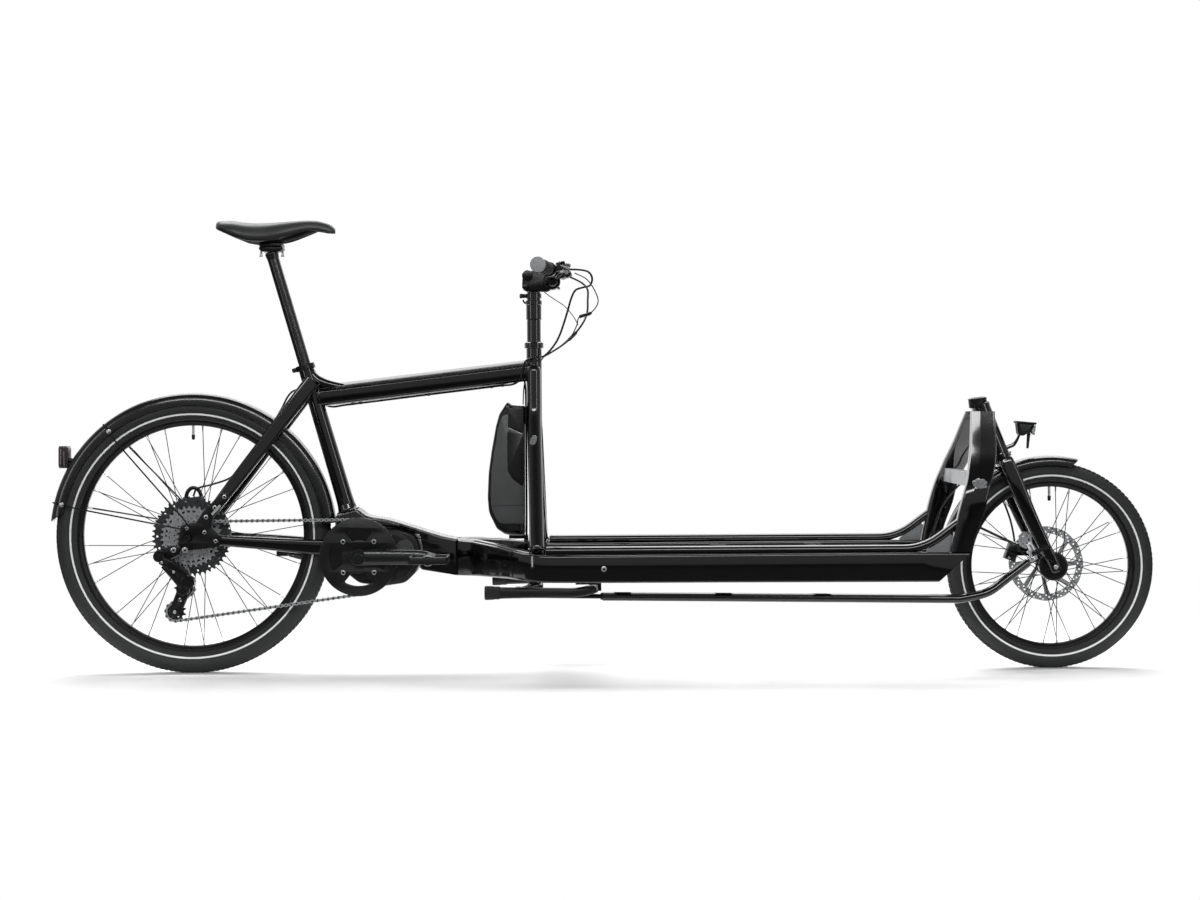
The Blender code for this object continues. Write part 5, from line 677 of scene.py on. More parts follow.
def legs_and_stays():
    """Column legs, chainstays and seatstays with their dropouts and bolts, on both sides."""
    for side, word in ((-1, "right"), (1, "left")):
        path = rounded([(STEER_X, side * 0.0362, 0.736), (STEER_X, side * 0.0362, 0.622),
                        (-0.15, side * 0.2075, 0.296)], 0.09, 14)
        parts = [(tube(path, 0.017, 32, up=(1, 0, 0), end=0.015), PAINT),
                 (bead(path[-1] + (0, 0, 0.006), path[-2] - path[-1], 0.0175), PAINT)]
        # Rippled beads of bright weld metal on the leg's near face: a painted glint
        spot = np.array([STEER_X, side * 0.0895, 0.557])
        for shift, r in mm((0, 6), (0, 3), (-6.5, 5.5), (-7, 2.5), (7, 4)):
            at = spot + (0.3 * shift, side * -0.465 * shift, 0.885 * shift)
            parts += [(bead(at, (0, side * 0.885, 0.465), r, 0.0017, 7), WELD)]
        painted("column_leg_" + word, parts)

        rows = mm((-637.2, 38.5, 302, 7.2, 18.5), (-690, 38.5, 303.5, 7.2, 17.8),
                  (-745, 52, 308.5, 7.8, 16.5), (-800, 60.5, 313.5, 8.5, 15), (-870, 64, 319, 8, 13.6),
                  (-930, 66, 323.5, 7, 11.8))
        rings = [np.stack([np.full(32, x), side * (y + a), z + b], 1) for x, y, z, w, h in rows
                 for a, b in [box_section(w, h, w * 0.92, 8).T]]
        stay = skin(through(rings, 6))
        outline = mm((-1006, 314), (-990, 298), (-945, 303), (-905, 308), (-903, 334), (-926, 352),
                     (-922, 380), (-884, 420), (-886, 436), (-904, 434), (-945, 392), (-962, 366),
                     (-998, 360))
        if side > 0:
            outline[-2:] = [(-0.962, 0.402), (-0.998, 0.402)]
        hole = circle(24) * 0.0063 + (REAR[0], REAR[2])
        dropout = plate([corners(outline, 0.007), hole], side * 0.072, side * 0.078, 0.001, 2)
        parts = [(stay, PAINT), (dropout, ANODISED)]
        for x, z, r in mm((-894.5, 426.2, 5.6), (-917.5, 400.8, 5.6), (-938.2, 378.4, 5.6),
                          (-942.3, 342.6, 5.2), (-915.8, 321.3, 5.2), (-983.7, 352.3, 4.6)):
            parts += [(rod((x, side * 0.077, z), (x, side * 0.0796, z), r, r - 0.0006), STEEL)]
            parts += [(rod((x, side * 0.079, z), (x, side * 0.0802, z), 0.55 * r, n=6), OXIDE)]
        bare = mm((-906.5, 408.5), (-927, 386), (-922.5, 382), (-902, 404.5))
        parts += [(plate([corners(bare, 0.0015, 3)], side * 0.0778, side * 0.0784, 0.0002), ALUMINIUM)]
        painted("chainstay_" + word, parts)

        end = 0.065
        rows = [(-0.943, end, 0.3675, 0.0066, 0.0115), (-0.9, end - 0.001, 0.424, 0.007, 0.014),
                (-0.85, 0.055, 0.49, 0.0072, 0.0158), (-0.8, 0.0455, 0.556, 0.0075, 0.0165),
                (-0.75, 0.037, 0.622, 0.008, 0.018), (-0.716, 0.031, 0.667, 0.0083, 0.019),
                (-0.69, 0.024, 0.701, 0.0085, 0.0195)]
        up = unit((0.66, 0, 0.75))
        square = np.array([-up[2], 0, up[0]])
        rings = [np.array([x, side * y, z]) + np.outer(a * side, (0, 1, 0)) + np.outer(b, square)
                 for x, y, z, w, h in rows for a, b in [box_section(w, h, w * 0.9, 8).T]]
        painted("seatstay_" + word, [(skin(through(rings, 6)), PAINT)])


def deck():
    """Beams with rails, webs and bolts, the uprights, the centre beam's shell and what crosses between."""
    for side, word in ((-1, "right"), (1, "left")):
        rows = [(-0.3447, 0.0215, 0.233, 0.3175, 0.0185, 0.0), (-0.3, 0.05, 0.2335, 0.3155, 0.018, 0.9),
                (-0.262, 0.093, 0.2345, 0.311, 0.0175, 0.95), (-0.225, 0.133, 0.2355, 0.306, 0.017, 0.9),
                (-0.19, 0.176, 0.235, 0.3, 0.017, 0.75), (-0.16, 0.202, 0.2325, 0.296, 0.017, 0.4),
                (-0.12, 0.2125, 0.23, 0.2935, 0.017, 0), (0.3, 0.2125, 0.2285, 0.2945, 0.017, 0),
                (0.74, 0.2125, 0.2272, 0.2955, 0.017, 0)]
        rings = []
        for x, y, low, high, w, turn in rows:
            a, b = box_section(w, (high - low) / 2, 0.0055, 5).T
            rings.append(np.stack([x - a * math.sin(turn), side * (y + a * math.cos(turn)),
                                   (low + high) / 2 + b], 1))
        rings = list(through(rings, 5))
        nose = rings[-1].copy()
        nose[:, 0] = 0.774 + (nose[:, 2] - 0.2272) / 0.0683 * 0.076
        rings.append(nose)
        beam = skin(rings)
        y = side * 0.2125
        crest = curve([(x, side * yy, high - 0.0062) for x, yy, low, high, w, turn in rows[:7]], 6)
        rail = tube(rounded([(-0.13, y, 0.3025), (0.742, y, 0.3025), (0.836, y, 0.372)], 0.14, 20), 0.01, 28,
                    up=(0, 1, 0), end=0.002)
        web = plate([corners(mm((735, 290), (800, 290), (812, 344), (770, 314)), 0.006)],
                    y - 0.003, y + 0.003, 0.0008)
        parts = [(beam, PAINT), (rail, PAINT), (web, WELD), (tube(crest, 0.0105, 20, end=0.003), PAINT)]
        seam = np.stack([np.linspace(-0.118, 0.735, 400), np.full(400, y - side * -0.0112),
                         0.2945 + 0.0003 * np.sin(np.linspace(0, 400, 400))], 1)
        parts += [(tube(seam, 0.0014, 6), PAINT)]
        out = side * 0.2295
        parts += [(rod((0.004, side * 0.226, 0.262), (0.004, out + side * 0.004, 0.262), 0.0065), STEEL)]
        parts += [(rod((0.004, out + side * 0.0036, 0.262), (0.004, out + side * 0.0042, 0.262), 0.003, n=6),
                   OXIDE)]
        painted("deck_beam_" + word, parts)

        rows = mm((295.8, 803, 850, 212.5, 15), (340, 812, 864, 212.5, 15), (385, 822, 881, 212.5, 15),
                  (424, 833, 891, 211, 15.5), (452, 842, 899, 204, 16.5), (475, 849, 907.5, 186, 19),
                  (500, 856, 916, 164, 20), (540, 868, 927, 120, 20), (580, 877, 933.5, 77, 18.5),
                  (618, 885.7, 941, 35, 16.5))
        rings = []
        for z, rear, front, yy, half in rows:
            w, facet = (front - rear) / 2, 0.0085 * min(1.0, max(0.15, (z - 0.42) / 0.06))
            outline = [(-w, -half), (-w, half - facet), (-0.3 * w, half), (w, half - 0.1 * facet), (w, -half)]
            a, b = corners(outline, (0.008, 0.003, 0.004, 0.006, 0.008), 4).T
            rings.append(np.stack([(front + rear) / 2 + a, side * (yy + b), np.full(len(a), z)], 1))
        t = np.linspace(0, TAU, 48, endpoint=False)
        blob = np.stack([0.8705 + 0.0165 * np.cos(t) * (1 + 0.1 * np.sin(5 * t)),
                         0.453 + 0.0115 * np.sin(t) * (1 + 0.12 * np.cos(7 * t))], 1)
        weld = plate([blob], side * 0.2215, side * 0.2235, 0.001, 2)
        parts = [(skin(through(rings, 5)), PAINT), (weld, WELD)]
        for x, r in mm((864, 8), (865, 4.5), (876, 8.5), (877, 5), (870, 2)):
            parts += [(bead((x, side * 0.2232, 0.453), (0, side, 0), r, 0.0016, 11), WELD)]
        painted("upright_" + word, parts)

    outline = mm((-637, 285), (-629, 285), (-629, 345), (-612, 350), (-560, 351.5), (-480, 350),
                 (-436, 337), (-428.5, 300), (-437, 248), (-345, 233), (-345, 317.8), (-391, 328),
                 (-453, 348), (-512, 366), (-563, 374.5), (-588, 392.5), (-634, 379), (-637, 372))
    radii = [0.002, 0.003, 0.004, 0.02, 0.02, 0.03, 0.02, 0.02, 0.01, 0.001, 0.001, 0.1, 0.12, 0.12, 0.03,
             0.004, 0.003, 0.003]
    shell = plate([corners(outline, radii, 8)], -0.04, 0.04, 0.004, 4)
    parts = [(shell, PAINT)]
    lip = curve(mm((-600, 0, 356), (-540, 0, 355.5), (-480, 0, 350), (-430, 0, 337), (-400, 0, 327)), 8)
    flange = curve(mm((-560, 0, 340.5), (-508, 0, 336.2), (-448, 0, 325), (-392, 0, 312)), 8)
    ridge = curve(mm((-588, 0, 389), (-563, 0, 371.5), (-512, 0, 361.5), (-453, 0, 343.8), (-391, 0, 324),
                     (-347, 0, 314)), 8)
    for y in (-0.032, -0.0107, 0.0107, 0.032):
        parts += [(tube(ridge + (0, y, 0), 0.007, 16, end=0.002), PAINT)]
    gusset = corners(mm((-650, 258), (-604, 246), (-604, 345), (-636, 352), (-650, 330)), 0.006)
    for side in (-1, 1):
        parts += [(tube(lip + (0, side * 0.0395, 0), 0.0018, 10, end=0.001), PAINT)]
        parts += [(tube(flange + (0, side * 0.0402, 0), 0.0015, 10, end=0.001), PAINT)]
        parts += [(plate([gusset], side * 0.0305, side * 0.0365, 0.001, 2), PAINT)]
        t = np.linspace(0, 1, 60)
        seam = np.stack([np.full(60, -0.3452), side * (0.004 + 0.036 * t), np.full(60, 0.318)], 1)
        parts += [(tube(seam, 0.0017, 8, up=(1, 0, 0)), PAINT)]
        rise = np.stack([np.full(60, -0.3455), np.full(60, side * 0.0402), 0.236 + 0.08 * t], 1)
        parts += [(tube(rise, 0.0016, 8, up=(1, 0, 0)), PAINT)]
    piece("motor_shell_paint", parts, "frame", "main_beam")
    for node in ("cross_member_rear", "cross_member_middle", "cross_member_front", "column_bridge"):
        keep(node, PAINT)
    keep("cross_plate", ALUMINIUM)
    keep("stand_bracket", ANODISED)


def fork_head():
    """Fork's bearing tube with its ribbed cap seat."""
    top, low = 0.0, 0.138
    profile = [(0.015, top), (0.0222, top), (0.023, 0.0008), (0.023, 0.01), (0.0224, 0.011), (0.0224, 0.127),
               (0.023, 0.128), (0.023, low - 0.0008), (0.0222, low), (0.015, low)]
    ribs = mm((0, -17.5), (13, -17.5), (19, -16))
    for h in np.arange(-0.0145, 0.005, 0.0032):
        ribs += [(0.0226, h), (0.0226, h + 0.0014), (0.0212, h + 0.0018), (0.0212, h + 0.0028)]
    cap = revolve(ribs + [(0.0212, 0.0064), (0.0, 0.0064)], HEAD + (-0.004, 0, 0), (0.12, 0, -1), 48)
    painted("fork_head_tube", [(revolve(profile, HEAD, DOWN, 56, ring=True), PAINT), (cap, NYLON)])


# Motor and battery

def motor():
    """Motor housing: an outline with a rounded edge, covers on both faces, a ribbed disc and bolts."""
    outline = mm((-627.5, 300), (-618, 332), (-600, 343), (-560, 348), (-490, 346.5), (-446, 334),
                 (-433.5, 300), (-440, 245), (-470, 216), (-520, 209), (-580, 216), (-615, 244))
    parts = [(plate([corners(outline, 0.035, 8)], -0.0435, 0.054, 0.008, 5), NYLON)]
    for at, y, radius, out in (((-0.505, 0.28), -0.043, 0.062, -1), ((-0.53, 0.28), 0.0535, 0.058, 1)):
        centre = (at[0], y, at[1])
        cover = [(0.0, 0.005), (radius - 0.01, 0.005), (radius - 0.003, 0.004), (radius, 0.0015),
                 (radius, 0.0)]
        parts += [(revolve(cover, centre, (0, out, 0), 72), NYLON)]
        for a in np.arange(5) * TAU / 5 + 0.4:
            x, z = at[0] + 0.9 * radius * math.cos(a), at[1] + 0.9 * radius * math.sin(a)
            parts += [(rod((x, y + out * 0.003, z), (x, y + out * 0.0062, z), 0.0032, n=12), OXIDE)]
    groove = np.arange(0.0035, 0.018, 0.0036)
    ridge = mm((0, 2), (1.6, 2), (2, 0.6), (3.2, 0.6))
    disc = [(0.0, 0.0018)] + [(r + d, h) for r in groove for d, h in ridge]
    disc += mm((18.8, 2), (19.2, 1.2), (19.2, -2))
    parts += [(revolve(disc, (-0.4705, -0.0476, 0.2985), (0, -1, 0), 56), CASE)]
    for y, out in ((-0.0482, -1), (0.0585, 1)):
        parts += [(revolve(mm((0, 4.6), (20.5, 4.6), (21.2, 4), (21.5, 0)),
                           (BOTTOM[0], y - out * 0.004, BOTTOM[2]), (0, out, 0), 40), ANODISED)]
    piece("motor_housing", parts, "frame", "motor")


def battery():
    """Battery case: full-height outline with rounded edges, side panels, dark inset, latch and seams."""
    outline = mm((-183.6, 637.5), (-214, 640), (-224, 647.5), (-243, 618), (-251, 590), (-262, 530),
                 (-269, 480), (-271.8, 420), (-269, 382), (-250, 344), (-230, 331), (-212.6, 328),
                 (-184.5, 328))
    radii = [0.002, 0.004, 0.004, 0.03, 0.06, 0.1, 0.12, 0.08, 0.05, 0.02, 0.02, 0.02, 0.003]
    parts = [(plate([corners(outline, radii, 7)], -0.05, 0.05, 0.012, 6), CASE_DARK)]
    inner = mm((-185, 622), (-213, 623), (-237, 612), (-244.5, 588), (-255, 530), (-261.8, 480),
               (-264, 425), (-262, 390), (-248, 362), (-236, 357), (-185, 357))
    inset = mm((-185, 568), (-219, 583), (-224, 574), (-223.5, 484), (-213, 465), (-185, 442))
    latch = mm((-185, 634), (-211, 635), (-221, 626), (-222, 587), (-185, 571.5))
    for side in (-1, 1):
        panel = corners(inner, [0.002, 0.006, 0.012, 0.03, 0.06, 0.1, 0.12, 0.08, 0.03, 0.02, 0.002], 6)
        parts += [(plate([panel], side * 0.049, side * 0.0512, 0.0012, 2), CASE)]
        for shape, radius, look in ((inset, 0.005, CASE_DARK), (latch, 0.004, NYLON)):
            parts += [(plate([corners(shape, radius, 5)], side * 0.0505, side * 0.0518, 0.0006, 2), look)]
        seam = rounded([(-0.185, side * 0.0515, 0.401), (-0.235, side * 0.0515, 0.4),
                        (-0.2625, side * 0.0513, 0.3985)], 0.02, 4)
        parts += [(tube(seam, 0.0005, 6), CASE_DARK)]
        parts += [(rod((-0.2195, side * 0.0516, 0.585), (-0.187, side * 0.0516, 0.5698), 0.0008, n=8), STEEL)]
    piece("battery_case", parts, "frame", "battery")


# Drive

def arc_loop(centre, radius, start, stop, n):
    """Points on an arc about a centre in the wheel's plane."""
    t = np.linspace(start, stop, n)
    return np.stack([centre[0] + radius * np.cos(t), centre[1] + radius * np.sin(t)], 1)


def pitch_radius(teeth):
    """Radius of the circle through the chain's pins on a toothed wheel."""
    return PITCH / (2 * math.sin(math.pi / teeth))


def toothed(teeth, phase, valley=0.0036, tip=0.003, thick=0.0018, y=0.0, holes=(), centre=(0, 0, 0)):
    """Toothed plate: each tooth has a rounded valley, straight flanks and a narrow tip."""
    k = np.array([-0.5, -0.36, -0.26, -0.2, -0.13, -0.06, 0.06, 0.13, 0.2, 0.26, 0.36])
    r = pitch_radius(teeth) + np.array([-valley, -valley * 0.92, -valley * 0.55, -0.0002, tip * 0.7, tip,
                                        tip, tip * 0.7, -0.0002, -valley * 0.55, -valley * 0.92])
    angle = (phase + (np.arange(teeth)[:, None] + k) * TAU / teeth).ravel()
    radius = np.tile(r, teeth)
    loop = np.stack([radius * np.cos(angle), radius * np.sin(angle)], 1)
    return plate([loop, *holes], y - thick / 2, y + thick / 2, 0.0003, centre=centre)


def chain_route():
    """Pitch points of the chain: tangent runs and arcs on the four circles, evenly divided."""
    circles = []
    for centre, teeth, sense in ((BOTTOM, 44, 1), (REAR, 18, 1), (GUIDE, 11, -1), (TENSION, 11, 1)):
        circles.append((np.array([centre[0], centre[2]]), pitch_radius(teeth), sense))
    runs = []
    for (c1, r1, s1), (c2, r2, s2) in zip(circles, circles[1:] + circles[:1]):
        gap = c2 - c1
        reach = math.hypot(*gap)
        heading = math.atan2(gap[1], gap[0]) + math.asin((s1 * r1 - s2 * r2) / reach)
        side = np.array([math.sin(heading), -math.cos(heading)])
        runs.append((c1 + side * (s1 * r1), c2 + side * (s2 * r2), heading))
    points = []
    for i, (start, stop, heading) in enumerate(runs):
        points.append(np.linspace(start, stop, 60)[:-1])
        centre, radius, sense = circles[(i + 1) % 4]
        turn = (runs[(i + 1) % 4][2] - heading) * sense % TAU * sense
        side = math.atan2(*(stop - centre)[::-1])
        points.append(arc_loop(centre, radius, side, side + turn, 60)[:-1])
    route = np.concatenate(points)
    closed = np.concatenate([route, route[:1]])
    length = np.concatenate([[0], np.cumsum(np.linalg.norm(np.diff(closed, axis=0), axis=1))])
    count = 2 * int(round(length[-1] / PITCH / 2))
    at = np.arange(count) * length[-1] / count
    return np.stack([np.interp(at, length, closed[:, 0]), np.interp(at, length, closed[:, 1])], 1)


def chain():
    """Chain of real links: figure-eight plates in pairs, inner ones on rollers, outer ones on pins."""
    pins = chain_route()
    middle = (pins + np.roll(pins, -1, 0)) / 2
    gap = np.roll(pins, -1, 0) - pins
    angle = np.arctan2(gap[:, 1], gap[:, 0])
    t = np.linspace(-2.3, 2.3, 9)
    right = np.stack([PITCH / 2 + 0.0043 * np.cos(t), 0.0043 * np.sin(t)], 1)
    waist = np.array([[0.0, 0.0024]])
    outline = np.concatenate([right, waist, -right, -waist])
    parts = []
    for number, (y_in, y_out) in enumerate(((0.0012, 0.0021), (0.0022, 0.0031))):
        link = np.arange(number, len(pins), 2)
        for side in (-1, 1):
            shape = plate([outline], side * y_in, side * y_out, 0.0002)
            shifts = np.stack([middle[link, 0], np.full(len(link), CHAIN_Y), middle[link, 1]], 1)
            parts += [(repeated(shape, about_y(angle[link]), shifts), PLATED)]
    place = np.stack([pins[:, 0], np.full(len(pins), CHAIN_Y), pins[:, 1]], 1)
    flat = np.broadcast_to(np.eye(3), (len(pins), 3, 3))
    parts += [(repeated(rod((0, -0.0012, 0), (0, 0.0012, 0), 0.0038, n=12, end=0.0002), flat, place), OXIDE)]
    parts += [(repeated(rod((0, -0.0035, 0), (0, 0.0035, 0), 0.0021, n=10, end=0.0002), flat, place), OXIDE)]
    piece("chain_links", parts, "frame", "chain")


def cassette():
    """Cassette of eleven cogs with holes or slots in the large ones, its sleeve and lock ring."""
    parts = [(revolve(mm((9.2, -25.2), (17.2, -25.2), (17.5, -64), (15, -64.8), (9.2, -64.8)),
                      REAR, n=40, ring=True), OXIDE)]
    for i, teeth in enumerate((46, 40, 35, 30, 26, 23, 20, 18, 16, 13, 11)):
        y = CHAIN_Y + (7 - i) * 0.0039
        pitch_r = pitch_radius(teeth)
        holes = [circle(40) * min(0.0174, pitch_r - 0.007)]
        if teeth > 36:
            for a in np.arange(18) * TAU / 18 + 0.2 * i:
                holes.append(circle(10) * 0.0027 + (pitch_r - 0.01) * np.array([math.cos(a), math.sin(a)]))
        elif teeth > 24:
            for a in np.arange(6) * TAU / 6 + 0.35 * i:
                inner, outer = 0.0215, pitch_r - 0.0085
                spread = 0.36 if teeth > 34 else 0.28
                slot = [arc_loop((0, 0), outer, a - spread, a + spread, 5),
                        arc_loop((0, 0), inner, a + spread * 0.7, a - spread * 0.7, 5)]
                holes.append(corners(np.concatenate(slot), 0.002, 2))
        parts += [(toothed(teeth, 0.1 * i, 0.0036, 0.0028, 0.0017, y, holes, REAR),
                   COG_DARK if teeth > 36 else PLATED if teeth > 13 else OXIDE)]
    parts += [(revolve(mm((9.2, -64), (16, -64), (16.5, -66), (12, -66.8),
                          (9.2, -66.8)), REAR, n=40, ring=True), OXIDE)]
    piece("cassette_cogs", parts, "cassette_body", "cassette")


def ring_and_cranks():
    """Chainring, guard disc with four windows, spider with one, and both arms with bosses, caps and bolts."""
    boss = revolve(mm((0, -50), (20.5, -50), (20.5, -64), (19, -76), (15, -77.5), (0, -77.5)), BOTTOM, n=48)
    ring = toothed(44, math.pi / 44, y=CHAIN_Y, holes=[circle(72) * 0.0695], centre=BOTTOM)
    windows = []
    for i in range(4):
        a = math.radians(90 * i)
        shape = np.concatenate([arc_loop((0, 0), 0.069, a - 0.52, a + 0.52, 10),
                                arc_loop((0, 0), 0.04, a + 0.4, a - 0.4, 8)])
        windows.append(corners(shape, [0.006] + [0.1] * 8 + [0.006, 0.006] + [0.1] * 6 + [0.006], 4))
    rim = np.linspace(0, TAU, 120, endpoint=False)
    outer = np.stack([np.cos(rim), np.sin(rim)], 1) * 0.0935
    guard = plate([outer, *windows], -0.0602, -0.0572, 0.001, 2, centre=BOTTOM)
    spider = plate([circle(72) * 0.072, windows[3]], -0.0571, -0.0542, 0.0006, centre=BOTTOM)
    parts = [(boss, ANODISED), (ring, OXIDE), (guard, CASE_DARK), (spider, ANODISED)]
    for a in (np.arange(4) + 0.5) * TAU / 4:
        at = BOTTOM + (0.052 * math.cos(a), 0, 0.052 * math.sin(a))
        parts += [(rod(at + (0, -0.0598, 0), at + (0, -0.0615, 0), 0.0056, n=20), STEEL)]
        parts += [(rod(at + (0, -0.0608, 0), at + (0, -0.0619, 0), 0.0036, n=14), OXIDE)]
    rows = mm((-18, 70, 5, 10), (-6, 70.2, 6.2, 19), (15, 70.6, 6.4, 19.5), (45, 71.8, 6, 19),
              (75, 73.6, 5.7, 18.4), (110, 76, 5.6, 17.8), (145, 78, 5.8, 17), (162, 78.6, 6.2, 15),
              (174, 79, 6.2, 11.5), (184, 79, 6.2, 9), (189, 79, 5, 5))
    oval = circle(28)
    hub = revolve(mm((9.5, 60), (9.5, 64.4), (19.5, 64.4), (19.5, 70), (18, 77), (15, 78), (0, 78),
                     (0, 60)), BOTTOM, n=48)
    for side, name, piece_name, inner in ((-1, "crank_right", "crank_right_set", parts),
                                          (1, "crank_left", "crank_left_arm", [(hub, ANODISED)])):
        rings = [np.stack([np.full(28, BOTTOM[0] - side * along), side * (y + a), BOTTOM[2] + b], 1)
                 for along, y, w, h in rows for a, b in [(oval * (1.3 * w, h)).T]]
        arm = (skin(through(rings, 5)), SATIN)
        eye = BOTTOM + (side * -0.175, 0, 0)
        axle = (rod(eye + (0, side * 0.0715, 0), eye + (0, side * 0.186, 0), 0.0052, n=20), STEEL)
        nut = (rod(eye + (0, side * 0.0855, 0), eye + (0, side * 0.0905, 0), 0.0082, n=6), STEEL)
        cap = (revolve(mm((0, 2.4), (8.5, 2.4), (9.8, 1.6), (10, 0)),
                       BOTTOM + (0, side * 0.078, 0), (0, side, 0), 32), OXIDE)
        bolt = (rod(eye + (0, side * 0.084, 0), eye + (0, side * 0.086, 0), 0.0075, n=24), COG_DARK)
        collar = (revolve(mm((0, 60), (18.5, 60), (18.5, 78), (17.2, 79.2), (15, 79.2), (14, 78.2),
                             (0, 78.2)), BOTTOM, (0, side, 0), 48), SATIN)
        piece(piece_name, inner + [collar, arm, axle, nut, cap, bolt], "crankset", name)


def pedal(name, centre, side, body):
    """Platform pedal: a frame with windows, a barrel round the axle and rows of low studs."""
    cx, cz = centre
    outer = corners(mm((-46, 98), (46, 98), (46, 196), (-46, 196)), 0.01, 6)
    windows = [corners(mm((-40, 104), (-14, 104), (-14, 190), (-40, 190)), 0.005, 4),
               corners(mm((14, 104), (40, 104), (40, 190), (14, 190)), 0.005, 4)]
    frame_plate = plate([outer, *windows], -0.0085, 0.0085, 0.002, 2, centre=(cx, 0, cz),
                        axes=((1, 0, 0), (0, 0, 1), (0, side, 0)))
    parts = [(frame_plate, NYLON),
             (revolve(mm((6, 97.8), (12.5, 97.8), (13.5, 110), (12, 147), (13, 185), (11, 195.5),
                         (6, 195.8)), (cx, 0, cz), (0, side, 0), 28, ring=True), NYLON)]
    for x in (-0.043, 0.043, -0.027, 0.027):
        for y in (0.101, 0.125, 0.169, 0.193):
            if abs(x) < 0.03 and 0.11 < y < 0.18:
                continue
            at = np.array([cx + x * (1 if abs(x) > 0.03 else 0.4), side * y, cz])
            parts += [(rod(at - (0, 0, 0.0094), at + (0, 0, 0.0094), 0.0016, n=8), OXIDE)]
    piece(name + "_platform", parts, body, name)


def derailleur():
    """Hanger, knuckles, parallelogram links, the cage's two plates with bolts, and the jockey wheels."""
    hanger = mm((-996, 308), (-1022, 312), (-1052, 298), (-1050, 276), (-1030, 276), (-1000, 292))
    parts = [(plate([corners(hanger, 0.006, 4)], -0.0835, -0.0783, 0.0008, 2), ANODISED)]
    parts += [(revolve(mm((0, -78), (13.5, -78), (14, -80), (13.5, -94), (11, -96.5), (0, -96.5)),
                       (-1.048, 0, 0.2865), n=36), ANODISED)]
    parts += [(revolve(mm((0, -95.5), (7.5, -95.5), (8, -97.2), (0, -97.6)), (-1.048, 0, 0.2865),
                       n=24), OXIDE)]
    for (x1, z1), (x2, z2), high, low in (((-1.044, 0.278), (-0.985, 0.238), 0.012, 0.0085),
                                          ((-1.037, 0.266), (-0.993, 0.212), 0.0095, 0.008)):
        rows = np.array([(x1, -0.088, z1), (0.6 * x1 + 0.4 * x2, -0.0885, 0.6 * z1 + 0.4 * z2 + 0.004),
                         (x2, -0.08, z2)])
        link = curve(rows, 8)
        size = np.interp(np.arange(len(link)), [0, 8, len(link) - 1], [0.85, 1.0, 0.9])
        shape = box_section(low, high, low * 0.6, 6)
        parts += [(sweep(link, shape[None] * size[:, None, None], up=(0.56, 0, 0.83)), ANODISED)]
    for x, y, z, look in ((-1.04, -0.0962, 0.273, STEEL), (-1.026, -0.0968, 0.27, OXIDE),
                          (-0.988, -0.088, 0.234, OXIDE), (-1.012, -0.096, 0.25, STEEL)):
        parts += [(rod((x, y, z), (x, y - 0.002, z), 0.0034, n=12), look)]
    for x, z in ((-1.0146, 0.3013), (-0.9876, 0.3011)):
        parts += [(rod((x, -0.08, z), (x, -0.0852, z), 0.0066, n=20), STEEL)]
        parts += [(rod((x, -0.084, z), (x, -0.0858, z), 0.0032, n=6), OXIDE)]
    parts += [(revolve(mm((0, -66), (15, -66), (15.5, -68), (15, -86), (12, -88.5),
                          (0, -88.5)), (-0.98, 0, 0.224), n=36), ANODISED)]
    parts += [(revolve(mm((0, -62.5), (16, -62.5), (16.5, -65), (16, -82), (13, -85), (0, -85)),
                       (GUIDE[0], 0, GUIDE[2] - 0.0005), n=36), ANODISED)]
    for low, high in ((-0.0625, -0.06), (-0.046, -0.0435)):
        line = math.atan2(TENSION[2] - GUIDE[2], TENSION[0] - GUIDE[0])
        loop = np.concatenate([arc_loop((GUIDE[0], GUIDE[2]), 0.015, line + 1.75, line + 4.53, 16),
                               arc_loop((TENSION[0], TENSION[2]), 0.013, line - 1.55, line + 1.55, 16)])
        middle = (np.array([GUIDE[0], GUIDE[2]]) + (TENSION[0], TENSION[2])) / 2
        slot = circle(20) * 0.005 + middle
        parts += [(plate([loop, slot], low, high, 0.0006, 2), ANODISED)]
    for at in (GUIDE, TENSION):
        parts += [(rod(at + (0, -0.011, 0), at + (0, 0.0112, 0), 0.004, n=16), STEEL)]
    piece("derailleur_arm", parts, "frame", "derailleur")
    for name, at in (("guide", GUIDE), ("tension", TENSION)):
        windows = [circle(10) * 0.0026 + (0.0125 * math.cos(a),
                                          0.0125 * math.sin(a)) for a in np.arange(6) * TAU / 6]
        disc = toothed(11, 0.3, 0.003, 0.0034, 0.0018, 0, [circle(24) * 0.0046, *windows], at)
        core = revolve(mm((4.6, -5.8), (8.3, -5.8), (8.5, 5.8), (4.6, 5.8)), at, n=28, ring=True)
        piece("jockey_" + name + "_wheel", [(disc, NYLON), (core, OXIDE)], "jockey_" + name + "_body",
              "jockey_" + name)


def rear_axle():
    """Axle ends: stepped caps with a hexagonal hole on both sides."""
    parts = []
    for side, reach in ((-1, 0.0866), (1, 0.083)):
        parts += [(revolve([(0.003, reach - 0.002), (0.003, reach), (0.0062, reach), (0.008, reach - 0.0015),
                            (0.0084, reach - 0.004), (0.0084, 0.079), (0.0058, 0.0785), (0.0058, 0.0),
                            (0.0, 0.0), (0.0, reach - 0.002)], REAR, (0, side, 0), 28), OXIDE)]
    piece("rear_axle_caps", parts, "frame", "rear_axle")


# Guards and lamps

